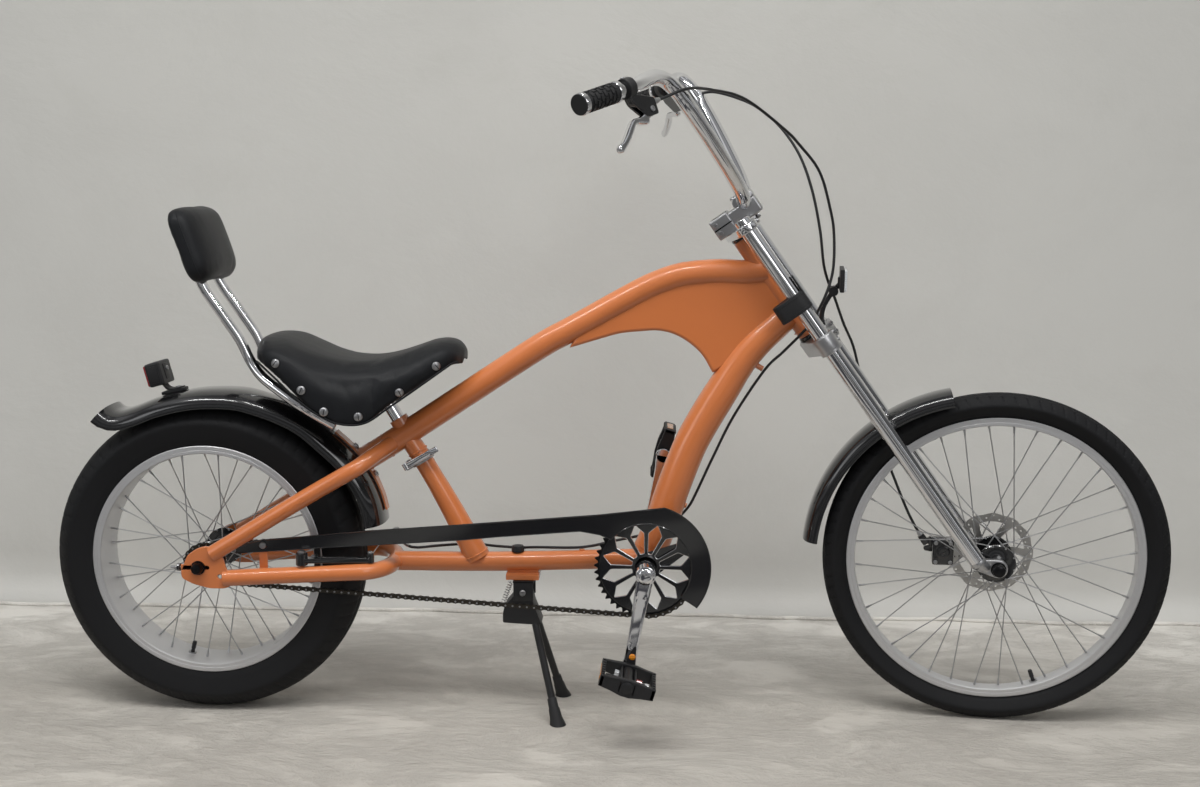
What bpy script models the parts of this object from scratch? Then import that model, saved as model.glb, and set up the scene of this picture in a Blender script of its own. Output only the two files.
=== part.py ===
"""Chopper bicycle with a springer-length raked fork, ape hanger bar, fat rear wheel, solo seat and sissy bar.

Metres, +Z up. The bicycle heads +X, its chain side faces -Y, and it stands on z = 0.
The fork is turned a little to the rider's right, by STEER_REST.
"""

import math

import bpy
import bmesh
from mathutils import Matrix, Vector

# Driving sizes
WHEELBASE = 1.4085
REAR_AXLE_X = -0.7141
STEER_REST = math.radians(6.5)
HEAD_LEAN = math.radians(35.75)
AXLE_OFFSET = 0.0434
CLEARANCE = 0.0003

REAR_TYRE_RADIUS = 0.2820
REAR_TYRE_HALF = 0.0485
REAR_TYRE_DEPTH = 0.0730
REAR_RIM_RADIUS = REAR_TYRE_RADIUS - REAR_TYRE_DEPTH
REAR_RIM_HALF = 0.0405
FRONT_TYRE_RADIUS = 0.3017
FRONT_TYRE_HALF = 0.0250
FRONT_TYRE_DEPTH = 0.0422
FRONT_RIM_RADIUS = FRONT_TYRE_RADIUS - FRONT_TYRE_DEPTH
FRONT_RIM_HALF = 0.0140
RIM_DEPTH = 0.0150
WHEEL_STEPS = 28
SPOKES = 36
SPOKE_RADIUS = 0.0010
SPOKE_LACE = 0.00125
HUB_FLANGE_HALF = 0.0026
VALVE_RADIUS = 0.0032
REAR_VALVE_TURN = math.radians(14)
FRONT_VALVE_TURN = math.radians(-19.7)
VALVE_REACH = 0.022

FRONT_AXLE_X = REAR_AXLE_X + WHEELBASE

# Where the axles and the head tube's root were when the frame's points were drawn
DRAWN_REAR_AXLE = Vector((-0.7141, 0, 0.2820))
DRAWN_FRONT_AXLE = Vector((0.6944, 0, 0.3017))
DRAWN_HEAD_X = 0.2000


def placed(x, z):
    """A drawn x, z of the frame, moved with the two axles when a wheel or the wheelbase changes."""
    back = Vector((REAR_AXLE_X, 0, REAR_TYRE_RADIUS)) - DRAWN_REAR_AXLE
    front = Vector((FRONT_AXLE_X, 0, FRONT_TYRE_RADIUS)) - DRAWN_FRONT_AXLE
    share = (x - DRAWN_REAR_AXLE.x) / (DRAWN_HEAD_X - DRAWN_REAR_AXLE.x)
    shift = back.lerp(front, min(max(share, 0), 1))
    return x + shift.x, z + shift.z


def placed_point(x, y, z):
    there, height = placed(x, z)
    return Vector((there, y, height))


def placed_points(points):
    return [placed_point(*p) for p in points]


def placed_outline(outline):
    return [placed(*p) for p in outline]


BRACKET_X, BRACKET_Z = placed(0.0753, 0.2883)
BRACKET_HALF = 0.0500
BRACKET_SHELL_RADIUS = 0.0225
BRACKET_BORE = 0.0180
SPINDLE_RADIUS = 0.0085
CRANK_LENGTH = 0.170
CRANK_BACK = math.radians(9.7)
CRANK_INNER = 0.1070
CRANK_THICKNESS = 0.0135
PEDAL_TILT = math.radians(16)
PEDAL_LENGTH = 0.096
PEDAL_WIDTH = 0.088
PEDAL_DEPTH = 0.027

CHAIN_PLANE = 0.0600
CHAIN_PITCH = 0.0127
RING_TEETH = 44
COG_TEETH = 16
CHAIN_HALF_WIDTH = 0.0038
CHAIN_HALF_HEIGHT = 0.0043
CHAIN_WAIST = 0.0033
RING_THICKNESS = 0.0032
COG_THICKNESS = 0.0030
TOOTH_TIP = 0.0030

DROPOUT_INNER = 0.0850
DROPOUT_THICKNESS = 0.0060
STAY_RADIUS = 0.0145
STAY_Y = 0.0850
AXLE_RADIUS = 0.0047
HUB_FLANGE_RADIUS = 0.0340
HUB_SPOKE_RADIUS = 0.0325

HEAD_TUBE_RADIUS = 0.0180
HEAD_TUBE_BOTTOM = 0.5220
HEAD_TUBE_TOP = 0.7240
HEADSET_RING = 0.0067
STEERER_RADIUS = 0.0127
LEG_RADIUS = 0.0143
LEG_WALL = 0.0022
LEG_SPREAD = 0.0625
LEG_AHEAD = 0.0216
LEG_BOTTOM = 0.0340
FORK_END_INNER = 0.0505
FORK_END_THICKNESS = 0.0120
CROWN_THICKNESS = 0.0300
PLATE_THICKNESS = 0.0150
BAR_RADIUS = 0.0111
BAR_AHEAD = 0.0400
UPPER_CROWN_BOTTOM = HEAD_TUBE_TOP + HEADSET_RING + 2 * CLEARANCE
STEM_HEIGHT = 0.0294
BAR_HEIGHT = UPPER_CROWN_BOTTOM + PLATE_THICKNESS + CLEARANCE + STEM_HEIGHT
LEG_PROUD = 0.0107
LEG_TOP = UPPER_CROWN_BOTTOM + PLATE_THICKNESS + LEG_PROUD
GRIP_RADIUS = 0.0165

SEATPOST_RADIUS = 0.0127
SEATPOST_FOOT = placed_point(-0.3330, 0, 0.4750)
SEATPOST_HEAD = placed_point(-0.3900, 0, 0.5680)

ROTOR_RADIUS = 0.0740
ROTOR_Y = 0.0334
ROTOR_THICKNESS = 0.0018

STAND_X, STAND_Z = placed(-0.1460, 0.2280)
STAND_FOOT_AHEAD = 0.0665
STAND_FOOT_X = STAND_X + STAND_FOOT_AHEAD
STAND_PLATE_RISE = 0.0273
STAND_FOOT_Y = 0.0734
STAND_LEG_RADIUS = 0.0085



def pitch_radius(teeth):
    return CHAIN_PITCH / (2 * math.sin(math.pi / teeth))


RING_PITCH_RADIUS = pitch_radius(RING_TEETH)
COG_PITCH_RADIUS = pitch_radius(COG_TEETH)

# Collections and the empties that carry moving pieces

for old in list(bpy.data.objects):
    bpy.data.objects.remove(old, do_unlink=True)
PARTS = bpy.data.collections.new("chopper_bike")
TOOLS = bpy.data.collections.new("cutters_and_operands")
bpy.context.scene.collection.children.link(PARTS)
bpy.context.scene.collection.children.link(TOOLS)


def axis_empty(name, matrix, parent=None):
    empty = bpy.data.objects.new(name, None)
    PARTS.objects.link(empty)
    empty.empty_display_size = 0.05
    empty.parent = parent
    empty.matrix_local = matrix
    return empty


def turn(angle, axis):
    return Matrix.Rotation(angle, 4, axis)


def move(x, y, z):
    return Matrix.Translation(Vector((x, y, z)))


def steering_frame():
    """Local x points ahead of the steering axis, local z up along it; the origin is level with the front axle."""
    flop = math.sin(HEAD_LEAN) * math.sin(STEER_REST)
    crown = FRONT_TYRE_RADIUS - FRONT_TYRE_HALF
    axle_height = crown * math.sqrt(1 - flop * flop) + FRONT_TYRE_HALF
    x = FRONT_AXLE_X - AXLE_OFFSET * math.cos(HEAD_LEAN)
    z = axle_height - AXLE_OFFSET * math.sin(HEAD_LEAN) * math.cos(STEER_REST)
    return move(x, 0, z) @ turn(-HEAD_LEAN, "Y")


HEAD = steering_frame()
STEERING = axis_empty("steering_axis", HEAD @ turn(-STEER_REST, "Z"))
WHEEL_LEAN = math.atan2(math.sin(HEAD_LEAN) * math.cos(STEER_REST), math.cos(HEAD_LEAN))
FRONT_WHEEL = axis_empty("front_wheel_axis", move(AXLE_OFFSET, 0, 0) @ turn(WHEEL_LEAN, "Y"), STEERING)
REAR_WHEEL = axis_empty("rear_wheel_axis", move(REAR_AXLE_X, 0, REAR_TYRE_RADIUS))
COG_AXIS = axis_empty("cog_axis", move(REAR_AXLE_X, 0, REAR_TYRE_RADIUS))
CRANK_AXIS = axis_empty("crank_axis", move(BRACKET_X, 0, BRACKET_Z) @ turn(CRANK_BACK, "Y"))
PEDAL_TURN = turn(PEDAL_TILT - CRANK_BACK, "Y")
RIGHT_PEDAL = axis_empty("right_pedal_axis", move(0, 0, -CRANK_LENGTH) @ PEDAL_TURN, CRANK_AXIS)
LEFT_PEDAL = axis_empty("left_pedal_axis", move(0, 0, CRANK_LENGTH) @ PEDAL_TURN, CRANK_AXIS)
STAND_AXIS = axis_empty("stand_axis", move(STAND_X, 0, STAND_Z))

ALONG_Y = turn(math.radians(-90), "X")
UPRIGHT = turn(math.radians(90), "X")


# Making and joining shapes


def material(name, colour, roughness, metallic=0.0):
    made = bpy.data.materials.new(name)
    made.use_nodes = True
    shader = made.node_tree.nodes["Principled BSDF"]
    shader.inputs["Base Color"].default_value = (*colour, 1)
    shader.inputs["Roughness"].default_value = roughness
    shader.inputs["Metallic"].default_value = metallic
    return made


def add_mesh(name, mesh, home=None, place=None):
    obj = bpy.data.objects.new(name, mesh)
    PARTS.objects.link(obj)
    obj.parent = home
    obj.matrix_local = place if place else Matrix()
    return obj


def add_bmesh(name, bm, home=None, place=None):
    mesh = bpy.data.meshes.new(name)
    bm.to_mesh(mesh)
    bm.free()
    return add_mesh(name, mesh, home, place)


def cylinder(name, start, end, radius, home=None, sides=16, end_radius=None):
    start = Vector(start)
    end = Vector(end)
    bm = bmesh.new()
    bmesh.ops.create_cone(
        bm,
        cap_ends=True,
        segments=sides,
        radius1=radius,
        radius2=radius if end_radius is None else end_radius,
        depth=(end - start).length,
    )
    aim = (end - start).to_track_quat("Z", "Y").to_matrix().to_4x4()
    return add_bmesh(name, bm, home, Matrix.Translation((start + end) / 2) @ aim)


def box(name, centre, size, home=None, aim=None, bevel=0.0):
    bm = bmesh.new()
    bmesh.ops.create_cube(bm, size=1)
    bmesh.ops.scale(bm, vec=Vector(size), verts=bm.verts)
    obj = add_bmesh(name, bm, home, Matrix.Translation(Vector(centre)) @ (aim if aim else Matrix()))
    if bevel:
        rounded(obj, bevel)
    return obj


def rounded(obj, width, segments=1, angle=40):
    bevel = obj.modifiers.new("rounded edges", "BEVEL")
    bevel.width = width
    bevel.segments = segments
    bevel.limit_method = "ANGLE"
    bevel.angle_limit = math.radians(angle)
    return obj


def turned(name, profile, home=None, place=None, steps=24, closed=False):
    """Turns (radius, height) points about local z; the profile runs down its outer side."""
    bm = bmesh.new()
    rows = [bm.verts.new((r, 0, h)) for r, h in profile]
    for first, second in zip(rows, rows[1:]):
        bm.edges.new((first, second))
    if closed:
        bm.edges.new((rows[-1], rows[0]))
    obj = add_bmesh(name, bm, home, place)
    screw = obj.modifiers.new("turned", "SCREW")
    screw.steps = steps
    screw.render_steps = steps
    screw.use_merge_vertices = True
    screw.merge_threshold = 1e-5
    return obj


def around(radius, sides):
    """Radius of a hole of this many flats that clears a shaft of this radius."""
    return (radius + CLEARANCE) / math.cos(math.pi / sides)


def ring(name, inner, outer, bottom, top, home=None, place=None, steps=24):
    return turned(
        name, [(outer, top), (outer, bottom), (inner, bottom), (inner, top)], home, place, steps, True,
    )


def settle(obj):
    """Replaces a curve, or an object with modifiers, by its evaluated mesh with the loose caps welded."""
    bpy.context.view_layer.update()
    graph = bpy.context.evaluated_depsgraph_get()
    mesh = bpy.data.meshes.new_from_object(obj.evaluated_get(graph))
    bm = bmesh.new()
    bm.from_mesh(mesh)
    bmesh.ops.remove_doubles(bm, verts=bm.verts, dist=1e-6)
    bmesh.ops.recalc_face_normals(bm, faces=bm.faces)
    bm.to_mesh(mesh)
    bm.free()
    name, home, place = obj.name, obj.parent, obj.matrix_local.copy()
    bpy.data.objects.remove(obj, do_unlink=True)
    mesh.name = name
    return add_mesh(name, mesh, home, place)


def smooth_route(points, spacing):
    """Points about spacing apart on the Catmull-Rom curve through the given ones."""
    points = [Vector(p) for p in points]
    ends = [points[0] * 2 - points[1], *points, points[-1] * 2 - points[-2]]
    found = [points[0]]
    for a, b, c, d in zip(ends, ends[1:], ends[2:], ends[3:]):
        steps = max(1, round((c - b).length / spacing))
        for i in range(1, steps + 1):
            t = i / steps
            found.append(
                0.5 * (
                    2 * b + (c - a) * t + (2 * a - 5 * b + 4 * c - d) * t * t + (3 * b - a - 3 * c + d) * t**3
                )
            )
    return found


def tube(name, points, radius, home=None, detail=4, radii=None):
    """A round tube through the points; detail 4 gives 12 sides, and radii are shares of the radius."""
    data = bpy.data.curves.new(name, "CURVE")
    data.dimensions = "3D"
    data.bevel_depth = radius
    data.bevel_resolution = detail
    data.use_fill_caps = True
    spline = data.splines.new("POLY")
    spline.points.add(len(points) - 1)
    for i, point in enumerate(points):
        spline.points[i].co = (*point, 1)
        spline.points[i].radius = radii[i] if radii else 1
    obj = bpy.data.objects.new(name, data)
    PARTS.objects.link(obj)
    obj.parent = home
    return settle(obj)


def plate(name, outlines, thickness, home=None, place=None):
    """Flat plate from closed outlines in local x, y, centred on its thickness; inner outlines are holes."""
    data = bpy.data.curves.new(name, "CURVE")
    data.dimensions = "2D"
    data.fill_mode = "BOTH"
    data.extrude = thickness / 2
    for outline in outlines:
        spline = data.splines.new("POLY")
        spline.points.add(len(outline) - 1)
        spline.use_cyclic_u = True
        for point, (x, y) in zip(spline.points, outline):
            point.co = (x, y, 0, 1)
    obj = bpy.data.objects.new(name, data)
    PARTS.objects.link(obj)
    obj.parent = home
    obj.matrix_local = place if place else Matrix()
    return settle(obj)


def side_plate(name, outlines, thickness, y, home=None):
    """Plate whose outline is in x, z, centred at y."""
    return plate(name, outlines, thickness, home, move(0, y, 0) @ UPRIGHT)


def arc(x, y, radius, start, end, steps):
    """Points on an arc, from start to end in degrees."""
    angles = [math.radians(start + (end - start) * i / steps) for i in range(steps + 1)]
    return [(x + radius * math.cos(a), y + radius * math.sin(a)) for a in angles]


def circle(x, y, radius, steps=16):
    return arc(x, y, radius, 0, 360, steps)[:-1]


def capsule(first, first_radius, second, second_radius, steps=8):
    """Outline around two circles, joined by their outer tangents."""
    run = Vector(second) - Vector(first)
    heading = math.degrees(math.atan2(run.y, run.x))
    splay = math.degrees(math.acos((first_radius - second_radius) / run.length))
    ahead = arc(*second, second_radius, heading - splay, heading + splay, steps)
    return ahead + arc(*first, first_radius, heading + splay, heading + 360 - splay, steps)


def shell(name, route, section, thickness, home=None):
    """Sheet swept along a route in x, z. The section holds (y, height above the route) points."""
    bm = bmesh.new()
    rows = []
    for i, (x, z) in enumerate(route):
        before = Vector(route[max(i - 1, 0)])
        after = Vector(route[min(i + 1, len(route) - 1)])
        along = (after - before).normalized()
        rows.append([bm.verts.new((x - along.y * h, y, z + along.x * h)) for y, h in section])
    for first, second in zip(rows, rows[1:]):
        for j in range(len(section) - 1):
            bm.faces.new((first[j], second[j], second[j + 1], first[j + 1]))
    obj = add_bmesh(name, bm, home)
    wall = obj.modifiers.new("sheet", "SOLIDIFY")
    wall.thickness = thickness
    wall.offset = 0
    wall.use_even_offset = True
    return settle(obj)


def loft(name, rings, home=None):
    """Closed body through rings of equally many points, with capped ends."""
    bm = bmesh.new()
    rows = [[bm.verts.new(p) for p in points] for points in rings]
    count = len(rows[0])
    for first, second in zip(rows, rows[1:]):
        for j in range(count):
            k = (j + 1) % count
            bm.faces.new((first[j], first[k], second[k], second[j]))
    bm.faces.new(rows[0][::-1])
    bm.faces.new(rows[-1])
    bmesh.ops.recalc_face_normals(bm, faces=bm.faces)
    return add_bmesh(name, bm, home)


def as_tool(obj):
    PARTS.objects.unlink(obj)
    TOOLS.objects.link(obj)
    obj.hide_render = True
    obj.display_type = "WIRE"
    return obj


def combine(obj, others, operation):
    for other in others:
        boolean = obj.modifiers.new(f"{operation.lower()} {other.name}", "BOOLEAN")
        boolean.operation = operation
        boolean.solver = "EXACT"
        boolean.object = as_tool(other)
    return obj


def fuse(obj, *others):
    return combine(obj, others, "UNION")


def cut(obj, *cutters):
    return combine(obj, cutters, "DIFFERENCE")


def simplify(obj):
    """Drops points that lie on straight edges, and joins faces in one plane."""
    planar = obj.modifiers.new("planar", "DECIMATE")
    planar.decimate_type = "DISSOLVE"
    planar.angle_limit = math.radians(0.3)
    return obj


def finish(obj, made_of, smooth_angle=35):
    if obj.modifiers:
        simplify(obj)
    obj.data.materials.clear()
    obj.data.materials.append(made_of)
    obj.data.shade_smooth()
    obj.data.set_sharp_from_angle(angle=math.radians(smooth_angle))
    return obj


# Materials, from the photograph
ORANGE = material("orange_paint", (0.50, 0.15, 0.05), 0.28)
CHROME = material("chrome", (0.80, 0.80, 0.82), 0.08, 1.0)
SATIN = material("satin_aluminium", (0.62, 0.62, 0.63), 0.35, 1.0)
STEEL = material("steel", (0.45, 0.45, 0.46), 0.35, 1.0)
CHAIN_STEEL = material("chain_steel", (0.10, 0.09, 0.07), 0.45, 0.9)
BLACK_PAINT = material("gloss_black", (0.01, 0.01, 0.012), 0.15)
BLACK_PLASTIC = material("black_plastic", (0.02, 0.02, 0.02), 0.5)
RUBBER = material("rubber", (0.015, 0.015, 0.016), 0.8)
LEATHER = material("black_leather", (0.012, 0.012, 0.013), 0.45)
RED_LENS = material("red_lens", (0.5, 0.01, 0.01), 0.2)
WHITE_LENS = material("white_lens", (0.8, 0.8, 0.8), 0.2)


# Wheels


def wheel_ring(name, outer, inner, home):
    """Turns one half of a ring's section, given as (radius, distance from the middle), and its mirror."""
    top_down = outer + [(r, -w) for r, w in reversed(outer) if w > 0]
    back_up = [(r, -w) for r, w in inner] + [(r, w) for r, w in reversed(inner) if w > 0]
    return turned(name, top_down + back_up, home, ALONG_Y, WHEEL_STEPS, True)


def tyre(name, radius, half, rim_radius, rim_half, lip, wall, home):
    seat = rim_radius - RIM_DEPTH * 0.4
    bulge = (radius + rim_radius) / 2
    outer = [
        (seat, lip),
        (rim_radius + 0.0025, rim_half - 0.001),
        (bulge, half),
        (radius - 0.18 * half, half * 0.62),
        (radius, 0),
    ]
    inner = [
        (seat, lip - wall),
        (bulge, half - wall),
        (radius - wall, 0),
    ]
    return finish(wheel_ring(name, outer, inner, home), RUBBER)


def rim(name, radius, half, well, valve_turn, home):
    wall = 0.0022
    outer = [(radius, half), (radius, half - wall), (well + wall, half * 0.6)]
    inner = [(radius - RIM_DEPTH, half), (well, half * 0.55)]
    made = wheel_ring(name, outer, inner, home)
    down = turn(valve_turn, "Y") @ Vector((0, 0, -1))
    hole = cylinder(
        name + "_valve_hole", down * radius, down * (well - 0.01), around(VALVE_RADIUS, 8), home, 8,
    )
    return finish(cut(made, hole), SATIN)


def inner_tube(name, radius, depth, half, valve_foot, valve_turn, home):
    middle = radius - depth
    section = [(radius, 0), (middle, -half), (radius - 2 * depth, 0), (middle, half)]
    ring_body = turned(name, section, home, ALONG_Y, WHEEL_STEPS, True)
    down = turn(valve_turn, "Y") @ Vector((0, 0, -1))
    stem = cylinder(name + "_valve", down * middle, down * valve_foot, VALVE_RADIUS, home, 8)
    return finish(fuse(ring_body, stem), RUBBER)


def spokes(name, flanges, hub_radius, rim_inner, rim_offset, home):
    """Crossed spokes: each leaves its flange at a slant, and meets the rim's inner face square to it."""
    made = []
    for i in range(SPOKES):
        side = 1 if i % 2 else -1
        lead = 1 if (i // 2) % 2 else -1
        at_rim = 2 * math.pi * (i + 0.5) / SPOKES
        at_hub = at_rim + lead * math.radians(62)
        y = flanges[1] if side > 0 else flanges[0]
        lace = lead * SPOKE_LACE
        foot = (hub_radius * math.cos(at_hub), y + lace, hub_radius * math.sin(at_hub))
        tip = (rim_inner * math.cos(at_rim), side * rim_offset + lace, rim_inner * math.sin(at_rim))
        made.append(cylinder(f"{name}_{i}", foot, tip, SPOKE_RADIUS, home, 3))
    return made


def rear_hub():
    near = -0.0400
    far = 0.0650
    profile = [
        (AXLE_RADIUS + CLEARANCE, 0.0790),
        (0.0140, 0.0790),
        (0.0140, far + 0.0030),
        (HUB_FLANGE_RADIUS, far + HUB_FLANGE_HALF),
        (HUB_FLANGE_RADIUS, far - HUB_FLANGE_HALF),
        (0.0210, far - 0.0040),
        (0.0210, near + 0.0040),
        (HUB_FLANGE_RADIUS, near + HUB_FLANGE_HALF),
        (HUB_FLANGE_RADIUS, near - HUB_FLANGE_HALF),
        (0.0185, near - 0.0030),
        (0.0185, -0.0790),
        (AXLE_RADIUS + CLEARANCE, -0.0790),
    ]
    hub = turned("rear_hub", profile, REAR_WHEEL, ALONG_Y, 12, True)
    reach = REAR_RIM_WELL * math.cos(math.pi / WHEEL_STEPS) - 0.0008
    return finish(
        fuse(
            hub, *spokes("rear_spoke", (near, far), HUB_SPOKE_RADIUS, reach, 0.010, REAR_WHEEL),
        ), BLACK_PAINT,
    )


def front_hub():
    near = -0.0310
    far = 0.0220
    profile = [
        (AXLE_RADIUS + CLEARANCE, 0.0490),
        (0.0110, 0.0490),
        (0.0110, ROTOR_Y - ROTOR_THICKNESS / 2 - CLEARANCE),
        (0.0190, ROTOR_Y - ROTOR_THICKNESS / 2 - CLEARANCE),
        (0.0190, far + 0.0030),
        (HUB_FLANGE_RADIUS, far + HUB_FLANGE_HALF),
        (HUB_FLANGE_RADIUS, far - HUB_FLANGE_HALF),
        (0.0170, far - 0.0040),
        (0.0170, near + 0.0040),
        (HUB_FLANGE_RADIUS, near + HUB_FLANGE_HALF),
        (HUB_FLANGE_RADIUS, near - HUB_FLANGE_HALF),
        (0.0120, near - 0.0030),
        (0.0120, -0.0490),
        (AXLE_RADIUS + CLEARANCE, -0.0490),
    ]
    hub = turned("front_hub", profile, FRONT_WHEEL, ALONG_Y, 12, True)
    reach = FRONT_RIM_WELL * math.cos(math.pi / WHEEL_STEPS) - 0.0008
    return finish(
        fuse(hub, *spokes("front_spoke", (near, far), HUB_SPOKE_RADIUS, reach, 0.002, FRONT_WHEEL)),
        BLACK_PAINT,
    )


def brake_rotor():
    """Wavy rim on six slanted arms, with one vent between each pair."""
    waves = 12
    outline = []
    for i in range(waves * 2):
        angle = 2 * math.pi * i / (waves * 2)
        r = ROTOR_RADIUS - 0.0018 * (1 - math.cos(waves * angle)) / 2
        outline.append((r * math.cos(angle), r * math.sin(angle)))
    holes = [circle(0, 0, 0.0113, 16)]
    for i in range(6):
        start = 60 * i
        outer = arc(0, 0, 0.0590, start + 6, start + 54, 4)
        inner = arc(0, 0, 0.0240, start + 44 + 16, start + 16 + 16, 2)
        holes.append(outer + inner)
    rotor = plate(
        "brake_rotor", [outline, *holes], ROTOR_THICKNESS, FRONT_WHEEL, move(0, ROTOR_Y, 0) @ UPRIGHT,
    )
    return finish(rotor, STEEL)


REAR_WELL_DEPTH = 0.0165
REAR_RIM_WELL = REAR_RIM_RADIUS - REAR_WELL_DEPTH
FRONT_WELL_DEPTH = 0.0155
FRONT_RIM_WELL = FRONT_RIM_RADIUS - FRONT_WELL_DEPTH


def wheels():
    tyre(
        "rear_tyre", REAR_TYRE_RADIUS, REAR_TYRE_HALF, REAR_RIM_RADIUS, REAR_RIM_HALF, 0.0312, 0.0035,
        REAR_WHEEL,
    )
    rim("rear_rim", REAR_RIM_RADIUS, REAR_RIM_HALF, REAR_RIM_WELL, REAR_VALVE_TURN, REAR_WHEEL)
    inner_tube(
        "rear_inner_tube", REAR_TYRE_RADIUS - 0.0060, 0.0330, 0.0400, REAR_RIM_WELL - VALVE_REACH,
        REAR_VALVE_TURN, REAR_WHEEL,
    )
    rear_hub()
    tyre(
        "front_tyre", FRONT_TYRE_RADIUS, FRONT_TYRE_HALF, FRONT_RIM_RADIUS, FRONT_RIM_HALF, 0.0084, 0.0022,
        FRONT_WHEEL,
    )
    rim("front_rim", FRONT_RIM_RADIUS, FRONT_RIM_HALF, FRONT_RIM_WELL, FRONT_VALVE_TURN, FRONT_WHEEL)
    inner_tube(
        "front_inner_tube", FRONT_TYRE_RADIUS - 0.0050, 0.0190, 0.0180, FRONT_RIM_WELL - VALVE_REACH,
        FRONT_VALVE_TURN, FRONT_WHEEL,
    )
    front_hub()
    brake_rotor()


# Drivetrain


def toothed_outline(teeth, phase):
    """A valley point and a tip point for each tooth."""
    r = pitch_radius(teeth)
    points = []
    for i in range(teeth):
        for share, height in ((0, -0.0038), (0.50, TOOTH_TIP)):
            angle = 2 * math.pi * (i + share + phase) / teeth
            points.append(((r + height) * math.cos(angle), (r + height) * math.sin(angle)))
    return points


def rear_cog():
    outline = toothed_outline(COG_TEETH, 0.5)
    cog = plate(
        "rear_cog", [outline, circle(0, 0, around(0.0185, 16), 16)], COG_THICKNESS, COG_AXIS,
        move(0, -CHAIN_PLANE, 0) @ UPRIGHT,
    )
    return finish(cog, STEEL)


def chainring():
    """Disc with twelve pointed windows around a swaged boss."""
    disc = RING_PITCH_RADIUS - 0.0065
    windows = []
    for i in range(12):
        a = 30 * i + 15
        corners = (
            (0.0235, -9), (0.0235, 9), (disc - 0.0220, 11.5), (disc - 0.0045, 0), (disc - 0.0220, -11.5),
        )
        windows.append(
            [(r * math.cos(math.radians(a + d)), r * math.sin(math.radians(a + d))) for r, d in corners]
        )
    outlines = [toothed_outline(RING_TEETH, 0.5), circle(0, 0, 0.0190, 16), *windows]
    made = plate("chainring", outlines, RING_THICKNESS, CRANK_AXIS, move(0, -CHAIN_PLANE, 0) @ UPRIGHT)
    return finish(made, BLACK_PAINT)


def chain_path():
    """(x, z) of every pin around both pitch circles, with the outward normal of each."""
    big = Vector((BRACKET_X, BRACKET_Z))
    small = Vector((REAR_AXLE_X, REAR_TYRE_RADIUS))
    run = small - big
    heading = math.atan2(run.y, run.x)
    splay = math.acos((RING_PITCH_RADIUS - COG_PITCH_RADIUS) / run.length)
    straight = math.sqrt(run.length**2 - (RING_PITCH_RADIUS - COG_PITCH_RADIUS) ** 2)
    big_wrap = 2 * math.pi - 2 * splay
    small_wrap = 2 * splay
    lengths = [straight, small_wrap * COG_PITCH_RADIUS, straight, big_wrap * RING_PITCH_RADIUS]
    links = 2 * round(sum(lengths) / (2 * CHAIN_PITCH))
    found = []
    for i in range(links):
        s = sum(lengths) * i / links
        if s < lengths[0]:
            normal = heading - splay
            start = big + RING_PITCH_RADIUS * Vector((math.cos(normal), math.sin(normal)))
            along = Vector((-math.sin(normal), math.cos(normal)))
            point = start + along * s
        elif s < lengths[0] + lengths[1]:
            normal = heading - splay + (s - lengths[0]) / COG_PITCH_RADIUS
            point = small + COG_PITCH_RADIUS * Vector((math.cos(normal), math.sin(normal)))
        elif s < sum(lengths[:3]):
            normal = heading + splay
            start = small + COG_PITCH_RADIUS * Vector((math.cos(normal), math.sin(normal)))
            along = Vector((-math.sin(normal), math.cos(normal)))
            point = start + along * (s - lengths[0] - lengths[1])
        else:
            normal = heading + splay + (s - sum(lengths[:3])) / RING_PITCH_RADIUS
            point = big + RING_PITCH_RADIUS * Vector((math.cos(normal), math.sin(normal)))
        found.append((point, Vector((math.cos(normal), math.sin(normal)))))
    return found


def drive_chain():
    """The chain as one band with a waist at every second pin, slotted where the teeth run."""
    outer = []
    inner = []
    for i, (point, normal) in enumerate(chain_path()):
        height = CHAIN_WAIST if i % 2 else CHAIN_HALF_HEIGHT
        outer.append(tuple(point + normal * height))
        if i % 2 == 0:
            inner.append(tuple(point - normal * CHAIN_HALF_HEIGHT))
    chain = side_plate("drive_chain", [outer, inner], 2 * CHAIN_HALF_WIDTH, -CHAIN_PLANE)
    slots = []
    for name, x, z, teeth, thickness in (
        ("ring", BRACKET_X, BRACKET_Z, RING_TEETH, RING_THICKNESS),
        ("cog", REAR_AXLE_X, REAR_TYRE_RADIUS, COG_TEETH, COG_THICKNESS),
    ):
        reach = thickness / 2 + CLEARANCE
        start = (x, -CHAIN_PLANE - reach, z)
        end = (x, -CHAIN_PLANE + reach, z)
        slots.append(
            cylinder(f"{name}_slot", start, end, pitch_radius(teeth) + TOOTH_TIP + CLEARANCE, None, 44)
        )
    return finish(cut(chain, *slots), CHAIN_STEEL)


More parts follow.
